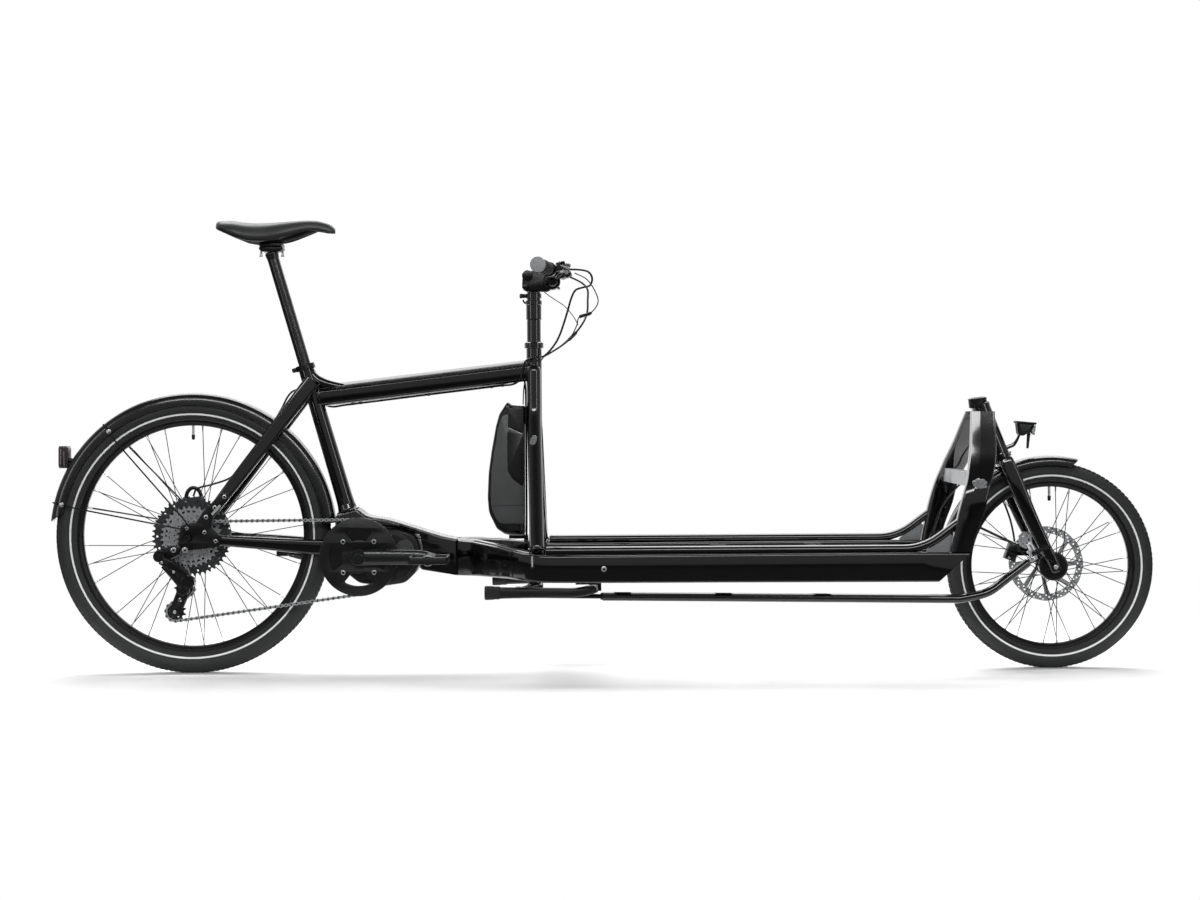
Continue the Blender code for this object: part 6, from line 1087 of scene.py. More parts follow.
def guard(name, hub, radius, first, last, width, skirt, slant, stays, more, body):
    """Mudguard: an arched thin-walled section carried along an arc, with rolled edges, stays and fixings.

    A section's half is y = w sin(t)^0.6, drop = skirt (1 - cos(t)^0.7); slant cuts its ends back in degrees.
    """
    t = np.linspace(-1, 1, 25) * math.pi / 2
    across = np.sign(t) * np.abs(np.sin(t)) ** 0.6
    drop = 1 - np.cos(t).clip(0) ** 0.7
    across, drop = np.concatenate([across, across[::-1] * 0.95]), np.concatenate([drop, drop[::-1]])
    r = radius - skirt * drop - np.repeat((0, 0.0018), len(t))
    k = np.linspace(0, 1, 90)[:, None]
    a = np.radians(first + slant[0] * drop + k * (last - first - (slant[0] + slant[1]) * drop))
    rows = hub + np.stack([np.cos(a) * r, np.broadcast_to(across * width / 2, a.shape), np.sin(a) * r], 2)
    parts = [(skin(rows), GUARD)]
    for edge in (0, len(t) - 1):
        parts += [(tube(rows[:, edge] * (1, 0.985, 1), 0.0013, 8, up=(0, 1, 0)), GUARD)]
    for path, r, look in stays:
        for side in (-1, 1):
            line = np.array(path, float) * (1, side, 1)
            parts += [(tube(rounded(line, 0.02, 6), r, 10, up=(0.1, 1, 0.2)), look)]
    piece(name + "_shell", parts + more, body, name)


def on_arc(hub, radius, degrees, y):
    """Point on a circle about a hub."""
    a = math.radians(degrees)
    return hub + (radius * math.cos(a), y, radius * math.sin(a))


def guards_and_lamps():
    """Rear guard with two stays a side and its lamp, front guard, headlight with visor on its arm."""
    stays = []
    for degrees, start, lift in ((166, (-0.99, 0.0806, 0.349), 0.002), (128, (-0.979, 0.0806, 0.356), 0.016)):
        stays.append(([start, (start[0] - 0.01, 0.0806, start[2] + lift), on_arc(REAR, 0.29, degrees, 0.04),
                       on_arc(REAR, 0.316, degrees, 0.031), on_arc(REAR, 0.3425, degrees, 0.03)], 0.0019,
                      OXIDE))
    more = []
    for degrees in (166, 128):
        for side in (-1, 1):
            at = on_arc(REAR, 0.32, degrees, side * 0.027)
            more.append((rod(at, at + (0, side * 0.0058, 0), 0.0056, n=18), STEEL))
    guard("rear_mudguard", REAR, 0.344, 5, 174, 0.056, 0.028, (0, 4.5), stays, more, "frame")

    out = math.radians(180 - 31.7)
    direction = np.array([math.cos(out), 0, math.sin(out)])
    centre = REAR + direction * 0.364
    foot = rod(REAR + direction * 0.3443, centre, 0.0068, n=20)
    shape = corners(mm((-11.5, -27), (11.5, -27), (11.5, 22), (8.5, 27), (-11.5, 27)),
                    [0.004, 0.003, 0.004, 0.004, 0.004], 5)
    housing = plate([shape], -0.0178, 0.0178, 0.0035, 3, centre=centre)
    lens = plate([corners(mm((-12.5, -24), (-3.5, -24), (-3.5, 24), (-12.5, 24)), 0.003, 4)],
                 -0.0165, 0.0165, 0.003, 3, centre=centre)
    # Two thin light grey rods on the lamp's near face are painted highlights on its lens
    glints = [(rod(centre + (x, -0.018, low), centre + (x, -0.018, high), 0.0007, n=8), CAP_GREY_AND_GLINT)
              for x, low, high in ((-0.0062, -0.018, 0.02), (0.002, -0.022, 0.014))]
    piece("rear_lamp", [(foot, NYLON), (housing, LENS_RED), (lens, LENS_RED), *glints], "frame",
          "rear_light")

    stays = [([FRONT + (-0.004, 0.0672, 0.011), FRONT + (-0.035, 0.068, 0.027),
               on_arc(FRONT, 0.236, 152, 0.036), on_arc(FRONT, 0.2565, 152, 0.0285)], 0.0018, OXIDE)]
    more = [(rod(on_arc(FRONT, 0.25, 152, s * 0.0255), on_arc(FRONT, 0.25, 152, s * 0.03), 0.004, n=14),
             OXIDE)
            for s in (-1, 1)]
    guard("front_mudguard", FRONT, 0.2635, 75, 172, 0.054, 0.0205, (3.2, 0), stays, more, "fork_set")

    body = mm((999.5, 592), (1003.5, 560), (1015, 558), (1034.5, 569), (1043, 587))
    roof = mm((998, 594.5), (1046.5, 590), (1046, 586.8), (999, 588.5))
    glass = mm((1043, 587.2), (1046.2, 587), (1042, 559), (1037, 561), (1034.5, 569))
    parts = [(plate([corners(body, (0.005, 0.007, 0.006, 0.004, 0.002), 5)], -0.018, 0.018, 0.006, 4), NYLON),
             (plate([corners(roof, 0.0012, 4)], -0.0205, 0.0205, 0.001, 2), NYLON),
             (plate([corners(glass, 0.0015, 4)], -0.017, 0.017, 0.002, 2), LENS)]
    start = HEAD + DOWN * 0.1425 + AHEAD * 0.0233
    for y, rise, r, look in ((0.0, 0.0, 0.003, OXIDE), (0.006, 0.005, 0.0012, JACKET)):
        arm = curve([start + (0, y, 0.5 * rise), (0.976, y, 0.524 + rise), (0.996, y, 0.537 + rise),
                     (1.008, y, 0.56)], 8)
        parts += [(tube(arm, r, 14, up=(0, 1, 0)), look)]
    parts += [(rod((1.031, 0, 0.569), (1.0275, 0, 0.5275), 0.0045, 0.003, n=16, end=0.0015), NYLON)]
    hook = curve(mm((976, 0, 523), (979, 0, 515), (985, 0, 516), (986.5, 0, 521.5)), 6)
    parts += [(tube(hook, 0.0016, 10, up=(0, 1, 0), end=0.0008), OXIDE)]
    piece("headlamp", parts, "fork_set", "headlight")


def calipers():
    """Calipers kept from the solids, with piston caps and screws, and a bridge over the rear one."""
    for name, hub, rotor_y, rotor_r, degrees, body in (
            ("rear_caliper", REAR, 0.0565, 0.08, 97, "frame"),
            ("front_caliper", FRONT, 0.04, 0.09, 160, "fork_set")):
        keep(name, ANODISED, 0.0008)
        a = math.radians(degrees)
        out, along = np.array([math.cos(a), 0, math.sin(a)]), np.array([-math.sin(a), 0, math.cos(a)])
        centre = hub + (0, rotor_y, 0) + out * (rotor_r - 0.002)
        parts = []
        for side in (-1, 1):
            parts += [(revolve(mm((0, 1.2), (7, 1.2), (8.2, 0.4), (8.4, -3)),
                               centre + (0, side * 0.015, 0), (0, side, 0), 28), OXIDE)]
            for end in (-0.017, 0.017):
                at = centre + along * end + out * 0.004
                parts += [(rod(at + (0, side * 0.0146, 0), at + (0, side * 0.0166, 0), 0.003, n=14), STEEL)]
        if name == "rear_caliper":
            arch = curve(mm((-1013.5, 60, 414), (-1008, 60, 433), (-996, 60, 442.5), (-982, 60, 437),
                            (-972, 60, 413)), 8)
            parts += [(tube(arch, 0.0048, 16, up=(0, 1, 0), end=0.0015), NYLON)]
        piece(name + "_fittings", parts, body)


# Stand and steering linkage

def stand():
    """Folded stand: cast legs on a cross shaft, rubber feet, bolts; the bracket's bolts are the frame's."""
    parts = [(rod((-0.016, -0.196, 0.2145), (-0.016, 0.196, 0.2145), 0.006, n=24), OXIDE)]
    for side in (-1, 1):
        y = side * 0.1905
        rows = mm((-10, 213.5, 9, 8), (-22, 211.8, 10.5, 10.5), (-60, 205, 11, 10.8),
                  (-110, 205, 11.2, 10.8), (-180, 204.8, 11.7, 11.8), (-236, 204.8, 12.2, 13))
        rings = [np.stack([np.full(24, x), y + a, z + b], 1) for x, z, w, h in rows
                 for a, b in [box_section(w, h, w * 0.6, 6).T]]
        parts += [(skin(through(rings, 6)), NYLON)]
        foot = mm((0, 0), (12.5, 0), (14.6, 1.5), (15, 5), (15, 15), (15.8, 16), (16.3, 33), (15, 36.5),
                  (0, 37.2))
        parts += [(revolve(foot, (-0.236, y, 0.2048), (-1, 0, 0), 36), GRIP)]
        parts += [(rod((-0.255, y - 0.0002, 0.216), (-0.255, y - 0.0002, 0.2192), 0.0034, n=16), STEEL)]
        parts += [(rod((-0.016, side * 0.195, 0.2145), (-0.016, side * 0.2, 0.2145), 0.0062, n=20), STEEL)]
    piece("kickstand_legs", parts, "stand", "kickstand")
    parts = [(rod((x, side * 0.045, 0.2184), (x, side * 0.045, 0.215), 0.0052, n=16), STEEL)
             for x in (-0.125, -0.045) for side in (-1, 1)]
    piece("stand_bolts", parts, "frame")


def tie_rod():
    """Steering rod with an eye at both ends; its front rises to the fork's arm."""
    front = BALL + DOWN * 0.0105
    parts = [(rod((-0.198, -0.107, 0.1845), (-0.198, -0.107, 0.1955), 0.011, n=32, end=0.0015), STEEL),
             (tube(curve(mm((-190, -109, 190), (-150, -113, 190.5), (-55, -139, 191.5),
                            (10, -142, 191)), 10), 0.0055, 18), OXIDE)]
    path = rounded([(0, -0.142, 0.191), (0.838, -0.142, 0.18), (0.905, -0.138, 0.193),
                    front - (0.01, 0, 0.009)],
                   0.1, 10)
    parts += [(tube(path, 0.0105, 28, end=0.002), PAINT)]
    parts += [(rod(front - DOWN * 0.0055, front + DOWN * 0.0055, 0.012, n=32, end=0.0015), STEEL)]
    parts += [(rod((0.01, -0.142, 0.191), (-0.004, -0.142, 0.1912), 0.009, n=6), OXIDE)]
    piece("tie_rod_bar", parts, "rod", "tie_rod")


def column():
    """Steering column: lower nut and arm, tube, bearing cap, riser with its clamp ring, lever and hook."""
    base = np.array([STEER_X, 0, 0])
    profile = mm((0, 190), (12.5, 190), (12.5, 194), (20, 194), (20, 208), (16, 210), (16, 238),
                 (14.3, 238), (14.3, 776.3), (22.5, 776.3), (23, 777), (23, 789), (21.5, 790.5),
                 (16.8, 791.2), (16.8, 844), (18.2, 844.8), (18.5, 846), (18.5, 880), (19.8, 881.2),
                 (19.8, 890.5), (16.5, 891.5), (16.5, 896), (19, 896.8), (19, 907), (16.5, 908),
                 (16.5, 911), (11.8, 911), (11.8, 700), (0, 700))
    parts = [(revolve(profile, base, (0, 0, 1), 56), PAINT)]
    arm = [(-0.16, 0.0), (-0.198, -0.107)]
    direction = unit(np.array([*(np.array(arm[1]) - arm[0]), 0]))
    rows = mm((10, 15, 7.5), (35, 13.5, 7), (75, 11, 6.2), (100, 10.5, 5.5), (114, 10.5, 5.2),
              (122.5, 6, 4.5))
    across = np.array([-direction[1], direction[0], 0])
    rings = [np.array([-0.16, 0, 0.201]) + direction * d + np.outer(a, across) + np.outer(b, (0, 0, 1))
             for d, w, h in rows for a, b in [box_section(w, h, h * 0.6, 6).T]]
    parts += [(skin(through(rings, 4)), OXIDE)]
    pin = np.array([-0.198, -0.107, 0.206])
    parts += [(rod(pin, pin - (0, 0, 0.022), 0.0045, n=20), STEEL)]
    parts += [(rod(pin + (0, 0, 0.006), pin, 0.007, n=6), STEEL)]
    lever = curve(mm((-176, 0, 902), (-186, 0, 902.2), (-193, -2, 902.2)), 8)
    parts += [(tube(lever, np.interp(np.arange(len(lever)), [0, len(lever) - 1], [0.0045, 0.0062]), 16,
                    end=0.0015), ANODISED)]
    hook = curve(mm((-174, 0, 884), (-182, 0, 886), (-186, 0, 893)), 6)
    parts += [(tube(hook, 0.0022, 12, up=(0, 1, 0), end=0.0008), OXIDE)]
    for z in (0.7802, 0.7832, 0.7862):
        parts += [(revolve([(0.0228, z - 0.0006), (0.0234, z), (0.0228, z + 0.0006)], base, (0, 0, 1), 48,
                           ring=True), OXIDE)]
    piece("column_tube", parts, "steering", "steering_column")


# Cockpit

def bar_line(side):
    """Axis of the handlebar on one side, from the clamp to the grip's end."""
    return rounded([BAR, BAR + (0, side * 0.06, 0), BAR + (0.004, side * 0.11, 0.019),
                    GRIP_END * (1, side, 1)],
                   0.06, 12)


def bar_point(side, back):
    """Point of the bar's straight end at a distance in from its tip, and its heading outwards."""
    line = bar_line(side)
    heading = unit(line[-1] - line[-2])
    return line[-1] - heading * back, heading


def cockpit():
    """Stem, bar with grips, the two lever mounts with their reservoirs, pods, display and levers."""
    base = np.array([STEER_X, 0, 0])
    parts = [(revolve(mm((0, 715), (10.8, 715), (11.2, 718), (11.2, 912.3), (18.5, 912.8), (18.5, 960),
                         (16.5, 962.2), (13, 963), (0, 963.2)), base, (0, 0, 1), 44),
              ANODISED)]
    parts += [(rod((STEER_X, 0, 0.9625), (STEER_X, 0, 0.9642), 0.0048, n=16), STEEL)]
    rows = [(-0.157, 0.015, 0.0175), (-0.145, 0.015, 0.0165), (-0.13, 0.0165, 0.0165),
            (BAR[0] - 0.004, 0.0185, 0.017)]
    rings = [np.stack([np.full(24, x), a, BAR[2] + b], 1) for x, w, h in rows
             for a, b in [box_section(w, h, 0.009, 6).T]]
    parts += [(skin(through(rings, 5)), ANODISED)]
    parts += [(revolve(mm((16, -21.5), (19.8, -21.5), (20.5, -20.5), (20.5, 20.5), (19.8, 21.5),
                          (16, 21.5)), BAR, (0, 1, 0), 40, ring=True), ANODISED)]
    for y in (-0.014, 0.014):
        for z in (-0.017, 0.017):
            at = BAR + (0.0135, y, z)
            parts += [(rod(at, at + (0.0062, 0, 0), 0.0034, n=14), STEEL)]
    cheek = mm((-186, 950), (-174, 962), (-150, 957), (-109, 947), (-101, 929), (-126, 912.5),
               (-179, 912.5), (-187.5, 923))
    for side in (-1, 1):
        parts += [(plate([corners(cheek, 0.01, 6)], side * 0.0165, side * 0.0205, 0.0012, 2), ANODISED)]
        for x, z, r in ((-0.1743, 0.9506, 0.0132), (-0.1793, 0.9234, 0.008)):
            parts += [(rod((x, side * 0.019, z), (x, side * 0.025, z), r, r - 0.001, n=32, end=0.0012),
                       ANODISED)]
            parts += [(rod((x, side * 0.0245, z), (x, side * 0.0256, z), 0.35 * r, n=6), OXIDE)]
    slope, rise = unit((0.69, 0, -0.72)), unit((0.72, 0, 0.69))
    centre = np.array([-0.087, -0.056, 0.961])
    parts += [(plate([box_section(0.0215, 0.0085, 0.004, 6)], -0.019, 0.019, 0.003, 3, centre=centre,
                     axes=(slope, (0, 1, 0), rise)), CASE_DARK)]
    parts += [(plate([box_section(0.015, 0.005, 0.002, 4)], -0.02, -0.0186, 0.0004, 1, centre=centre,
                     axes=(slope, (0, 1, 0), rise)), CAP_GREY_AND_GLINT)]
    parts += [(plate([box_section(0.018, 0.016, 0.003, 4)], 0.008, 0.0092, 0.0004, 1, centre=centre,
                     axes=(slope, rise, (0, 1, 0))), SCREEN)]
    parts += [(rod(centre - rise * 0.004, BAR + (0.01, -0.05, 0.006), 0.005, n=16), NYLON)]
    parts += [(revolve(mm((0, -88), (10, -88), (11.3, -86.5), (11.3, -70), (0, -70)),
                       (-0.1132, 0, 0.9326), n=32), ANODISED)]
    piece("stem_body", parts, "bars", "stem")

    half = bar_line(1)
    line = np.concatenate([(half * (1, -1, 1))[::-1], half[1:]])
    radius = 0.011 + 0.0047 * np.clip((0.045 - np.abs(line[:, 1])) / 0.015, 0, 1)
    parts = [(tube(line, radius, 28, up=(0, 0, 1)), ANODISED)]
    for side in (-1, 1):
        end, heading = bar_point(side, 0.0)
        s = np.linspace(0, 1, 200)
        r = 0.0148 + 0.0014 * np.sin(s * math.pi) + 0.00035 * np.cos(s * TAU * 34) * (np.abs(s - 0.5) < 0.38)
        r = np.where(s > 0.965, 0.0162, r)
        path = end + np.outer((s - 1) * 0.13, heading)
        parts += [(tube(path, r, 28), GRIP)]
        parts += [(rod(end - heading * 0.003, end + heading * 0.0014, 0.0178, n=36), CAP_GREY_AND_GLINT)]
    piece("bar_and_grips", parts, "bars", "handlebar")

    for side, word in ((-1, "right"), (1, "left")):
        at, along = bar_point(side, LEVER_CLAMP)
        up = np.cross(REACH, along) * side
        parts = [(revolve(mm((11.2, -8), (16.2, -8), (17, -7), (17, 7), (16.2, 8), (11.2, 8)), at, along,
                          32, ring=True), ANODISED)]
        body = [at + REACH * 0.026 - along * 0.036, at + REACH * 0.027 - along * 0.02, at + REACH * 0.028,
                at + REACH * 0.028 + along * 0.02]
        rows = curve(body, 6)
        size = np.interp(np.arange(len(rows)), [0, 4, 12, len(rows) - 1], [0.0065, 0.009, 0.0105, 0.0085])
        parts += [(tube(rows, size, 24, up), ANODISED)]
        parts += [(rod(at + REACH * 0.012, at + REACH * 0.023, 0.0075, n=20), ANODISED)]
        cap = at + REACH * 0.027 + up * 0.0095
        parts += [(plate([box_section(0.02, 0.0085, 0.004, 5)], 0.0, 0.0024, 0.0008, 2, centre=cap,
                         axes=(along, up, REACH)), OXIDE)]
        for k in (-0.016, 0.016):
            parts += [(rod(cap + along * k + up * 0.0022, cap + along * k + up * 0.0032, 0.0022, n=12),
                       STEEL)]
        pod, pod_line = bar_point(side, 0.205)
        parts += [(revolve(mm((11.2, -6), (15, -6), (15.6, -5), (15.6, 5), (15, 6), (11.2, 6)), pod,
                           pod_line, 28, ring=True), NYLON)]
        pod_up = np.cross(REACH, pod_line) * side
        parts += [(plate([corners(mm((-10, -17), (10, -17), (10, 8), (-10, 8)), 0.005, 5)],
                         -0.0075, 0.0085, 0.003, 3, centre=pod + REACH * 0.019,
                         axes=(pod_line, pod_up, REACH)),
                   NYLON)]
        piece("brake_control_" + word + "_body", parts, "bars", "brake_control_" + word)

        root, along = bar_point(side, 0.14)
        root = root + REACH * 0.0475 + along * 0.004
        path = curve([root - along * 0.004, root + along * 0.01 + REACH * 0.003,
                      root + along * 0.025 + REACH * 0.004,
                      root + along * 0.048 - REACH * 0.001, root + along * 0.07 - REACH * 0.004,
                      root + along * 0.086 - REACH * 0.001, root + along * 0.092 + REACH * 0.004], 5)
        k = np.linspace(0, 1, len(path))
        w = np.interp(k, [0, 0.2, 0.6, 0.9, 1], [0.005, 0.0058, 0.005, 0.0062, 0.0058])
        h = np.interp(k, [0, 0.2, 0.6, 0.9, 1], [0.005, 0.0062, 0.0056, 0.006, 0.0056])
        section = box_section(1.0, 1.0, 0.7, 6)
        blade = sweep(path, section[None] * np.stack([w, h], 1)[:, None] * 0.8, (0, 0, 1))
        pivot = rod(root - np.cross(REACH, along) * 0.0062, root + np.cross(REACH, along) * 0.0062, 0.0034,
                    n=16)
        piece("brake_lever_" + word + "_blade", [(blade, ANODISED), (pivot, STEEL)], "lever_" + word,
              "brake_lever_" + word)


def fork():
    """Fork: crown, blades with curved ends, axle with nuts, steering arm, ball pin and a perforated plate."""
    hub_drop, rake = float((FRONT - HEAD) @ DOWN), float((FRONT - HEAD) @ AHEAD)
    parts = [(revolve(mm((0, 138.3), (22, 138.3), (23, 139.2), (23, 146), (20.5, 154),
                         (0, 154.5)), HEAD, DOWN, 48), PAINT)]
    crown = HEAD + DOWN * 0.1485
    rows = mm((-61, 11.5, 6), (-56, 16.5, 8), (-30, 19, 8.5), (0, 20.5, 8.5), (30, 19, 8.5), (56, 16.5, 8),
              (61, 11.5, 6))
    rings = [crown + (0, y, 0) + np.outer(a, AHEAD) + np.outer(b, DOWN) for y, w, h in rows
             for a, b in [box_section(w, h, h * 0.8, 6).T]]
    parts += [(skin(through(rings, 5)), PAINT)]
    for side in (-1, 1):
        rows = [(0.14, 0.0, 0.053, 0.008, 0.015), (0.148, 0.0, 0.0545, 0.0088, 0.0165),
                (0.185, 0.0, 0.0588, 0.0095, 0.018), (0.24, 0.0005, 0.06, 0.0094, 0.018),
                (0.3, 0.002, 0.06, 0.009, 0.017), (0.345, rake * 0.45, 0.0592, 0.0082, 0.0155),
                (0.385, rake - 0.003, 0.058, 0.0068, 0.0135), (hub_drop - 0.01, rake, 0.057, 0.0062, 0.0128),
                (hub_drop + 0.008, rake, 0.0565, 0.006, 0.0122),
                (hub_drop + 0.0145, rake, 0.0565, 0.0048, 0.008)]
        rings = [HEAD + DOWN * d + AHEAD * f + (0, side * y, 0) + np.outer(a * side, (0, 1, 0))
                 + np.outer(b, AHEAD) for d, f, y, w, h in rows for a, b in [box_section(w, h, w * 0.9, 6).T]]
        parts += [(skin(through(rings, 5)), PAINT)]
    parts += [(rod(FRONT - (0, 0.066, 0), FRONT + (0, 0.066, 0), 0.0058, n=24), STEEL)]
    parts += [(rod(FRONT - (0, 0.07, 0), FRONT - (0, 0.0605, 0), 0.0085, n=6), OXIDE)]
    parts += [(rod(FRONT - (0, 0.07, 0), FRONT - (0, 0.0712, 0), 0.0055, n=20), STEEL)]
    start = HEAD + DOWN * 0.372 + AHEAD * rake * 0.8 + (0, -0.06, 0)
    rows = curve([start, start * 0.5 + BALL * 0.5 - DOWN * 0.001, BALL + DOWN * -0.0005], 8)
    h = np.interp(np.arange(len(rows)), [0, len(rows) - 1], [0.0115, 0.009])
    parts += [(sweep(rows, box_section(1, 1, 0.6, 6)[None] * np.stack([h, h * 0 + 0.0045], 1)[:, None],
                     up=-DOWN), OXIDE)]
    parts += [(rod(BALL - DOWN * 0.005, BALL + DOWN * 0.0165, 0.004, n=20), STEEL)]
    parts += [(rod(BALL - DOWN * 0.0045, BALL - DOWN * 0.0095, 0.0068, n=6), STEEL)]
    outline = mm((990, 322), (1003, 334), (1021, 319), (1023, 300), (1008, 291), (992, 300))
    holes = [circle(10) * 0.0026 + (1.006 + 0.009 * math.cos(a), 0.3125 + 0.011 * math.sin(a))
             for a in np.arange(6) * TAU / 6]
    parts += [(plate([corners(outline, 0.005), *holes], -0.0715, -0.0685, 0.0004), ALUMINIUM)]
    parts += [(rod((1.014, -0.076, 0.304), (1.029, -0.076, 0.281), 0.0078, n=24, end=0.0012), ALUMINIUM)]
    piece("fork_blades", parts, "fork_set", "fork")


def seat():
    """Seat post with its two-bolt head, rails and a saddle skinned through stations along its length."""
    line = unit(SEAT_TOP - SEAT_FOOT)
    start = SEAT_TOP - line * 0.115
    reach = float(np.linalg.norm(POST_HEAD - start))
    post = revolve([(0.0, 0.0), (0.0135, 0.0), (0.0143, 0.001), (0.0143, reach - 0.012),
                    (0.0155, reach - 0.004),
                    (0.0165, reach + 0.002), (0.015, reach + 0.006), (0.0, reach + 0.007)], start, line, 40)
    parts = [(post, SATIN)]
    cradle = mm((-30, 0), (-21, -6), (21, -6), (30, 0), (26, 7), (-26, 7))
    parts += [(plate([corners(cradle, 0.004, 5)], -0.0215, 0.0215, 0.0025, 3,
                     centre=POST_HEAD + (0, 0, 0.012)),
               ANODISED)]
    parts += [(plate([box_section(0.027, 0.004, 0.003, 5)], -0.0295, 0.0295, 0.002, 2,
                     centre=POST_HEAD + (0, 0, 0.0215)), ANODISED)]
    for x in (-0.026, 0.026):
        at = POST_HEAD + (x, 0, 0)
        parts += [(rod(at + (0, 0, -0.004), at + (0, 0, 0.027), 0.0028, n=14), STEEL)]
        parts += [(rod(at + (0, 0, -0.006), at + (0, 0, -0.002), 0.0046, n=6), STEEL)]
    piece("seat_post_bar", parts, "seat", "seat_post")

    stations = np.array(mm((-920.5, 1079, 18, 8), (-919, 1082, 34, 15), (-913, 1085, 52, 22),
                           (-900, 1086.8, 63.5, 30), (-875, 1086.5, 72.5, 40), (-845, 1082.5, 70, 46),
                           (-815, 1081, 63, 47.5), (-785, 1082.2, 50, 45), (-760, 1084, 38, 40),
                           (-735, 1086, 29, 34), (-705, 1087.2, 22.5, 27), (-680, 1086.2, 19.5, 25),
                           (-655, 1080, 17.5, 23), (-644, 1074, 15, 18), (-638, 1068, 10, 12)))
    section = np.array([(0, 0), (0.3, 0.012), (0.55, 0.06), (0.76, 0.17), (0.9, 0.36), (0.98, 0.62),
                        (1.0, 0.85), (0.97, 0.97), (0.9, 1.0), (0.7, 0.72), (0.45, 0.42), (0.2, 0.37)])
    section = np.concatenate([section, [(0, 0.36)], section[:0:-1] * (-1, 1)])

    def along(shape, rows):
        return skin(through([np.stack([np.full(len(shape), x), shape[:, 0] * w, top - shape[:, 1] * d], 1)
                             for x, top, w, d in rows], 5))

    base = np.array([(0.94, 0.7), (1.004, 0.74), (1.012, 0.86), (0.985, 0.99), (0.9, 1.02), (0.7, 0.75),
                     (0.45, 0.45), (0.2, 0.4), (0, 0.39)])
    roof = np.array([(0, 0.3), (0.3, 0.3), (0.6, 0.45)])
    base = np.concatenate([base, base[-2::-1] * (-1, 1), roof[:0:-1] * (-1, 1), roof])
    cushion = piece("saddle_cushion", [(along(section, stations), COVER)], "seat",
                    "saddle", 50)
    rails = [(along(base, stations[2:-2]), NYLON)]
    for side in (-1, 1):
        path = mm((-880, 34, 1072), (-872, 32, 1056), (-852, 26, 1039.5), (-830, 22, 1036.5),
                  (-760, 22, 1037), (-700, 14, 1056), (-664, 6, 1071))
        rails.append((tube(curve(np.array(path) * (1, side, 1), 8), 0.0035, 16, up=(0, 1, 0), end=0.001),
                      OXIDE))
    piece("saddle_rails", rails, "seat")


def hoses():
    """Brake hoses and thin cables. Pieces 2 and 4 ride on a body; the others ride on none."""
    def outlet(side):
        at, along = bar_point(side, LEVER_CLAMP)
        return [at - along * 0.028 + REACH * 0.0265, at - along * 0.042 + REACH * 0.028]

    def beside(s):
        return [(-0.134, s * 0.014, 0.758), (-0.148, s * 0.0225, 0.7545), (-0.164, s * 0.0265, 0.7525),
                (-0.18, s * 0.0265, 0.744), (-0.186, s * 0.0255, 0.725)]

    rear = outlet(-1) + mm((-33, -95, 956), (-19.5, -85, 942), (-24, -78, 923), (-42, -72, 918),
                           (-58.5, -64, 912), (-69, -56, 893), (-77.8, -48, 863.8), (-89, -40, 829.1),
                           (-98.6, -34, 803.7), (-111.6, -27, 781.6)) + beside(-1) \
        + mm((-191.5, -23.5, 704), (-208, -14, 690.5), (-240, -4, 686.5), (-420, 0, 665.5), (-618, 4, 642),
             (-652, 18, 638.5), (-684, 47.5, 652), (-712, 50, 676), (-748, 42, 676), (-776, 40, 632),
             (-812, 46.5, 572), (-877, 57, 493), (-905, 60, 466), (-950, 60, 450), (-985, 57, 440),
             (-994, 56.5, 422))
    front = outlet(1) + mm((-34.5, 100, 930), (-30, 75, 892), (-33.5, 50, 856), (-54.5, 20, 819.4),
                           (-86.1, 6, 787.7)) + beside(1) \
        + mm((-182, 25.5, 680), (-180.8, 25, 630), (-180.8, 25, 400), (-181.5, 31, 330), (-182.5, 33, 270),
             (-174, 34.5, 242), (-140, 39, 238), (-60, 80, 239), (30, 150, 243), (110, 187, 246),
             (720, 187, 246), (790, 188, 264), (825, 190, 310), (848, 189, 370), (880, 174, 420),
             (912, 138, 448), (948, 88, 442), (976, 60, 405), (993, 50, 360), (1001, 47.5, 325),
             (1004.8, 47.5, 300))
    display = mm((-60, -115, 950), (-30, -100, 934), (-8.5, -85, 900), (-6, -72, 880), (-23, -62, 858),
                 (-50.7, -52, 847.5), (-56, -44, 830), (-70, -34, 804), (-105, -20, 773.5),
                 (-134, -21.5, 756), (-148, -27.5, 738), (-166, -29.5, 715), (-180, -28.5, 698),
                 (-184.5, -26.5, 678), (-185.8, -24, 655), (-186.2, -21.5, 641))
    sensors = mm((-143, -4, 920), (-128, -12, 906), (-111.3, -26, 893.6), (-85.8, -36, 876),
                 (-64, -44, 850), (-53, -44, 830))
    bodies = ("bars", "steering", "frame", "frame", "fork_set")
    for name, points, radius, cuts, node, thick in (
            ("rear_hose", rear, 0.0025, (8, 13), "brake_hose_rear", (0, 0)),
            ("front_hose", front, 0.0025, (5, 8, 24, 30), "brake_hose_front", (52, 58)),
            ("display_cable", display, 0.0014, (4, 10), (), (40, 50)),
            ("sensor_wires", sensors, 0.0011, (), (), (0, 0))):
        path = curve(points, 10)
        gauge = np.full(len(path), radius)
        gauge[thick[0]:thick[1]] = 0.0042
        edges = [0, *(10 * k for k in cuts), len(path) - 1]
        for number, (first, last) in enumerate(zip(edges, edges[1:])):
            shell = tube(path[first:last + 1], gauge[first:last + 1], 12, up=(0.1, 1, 0.2))
            body = bodies[number] if number in (2, 4) else None
            run = piece(name + "_" + str(number), [(shell, JACKET)], body,
                        node if number == 2 else ())
            if body is None:
                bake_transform(run)


# Floor and light

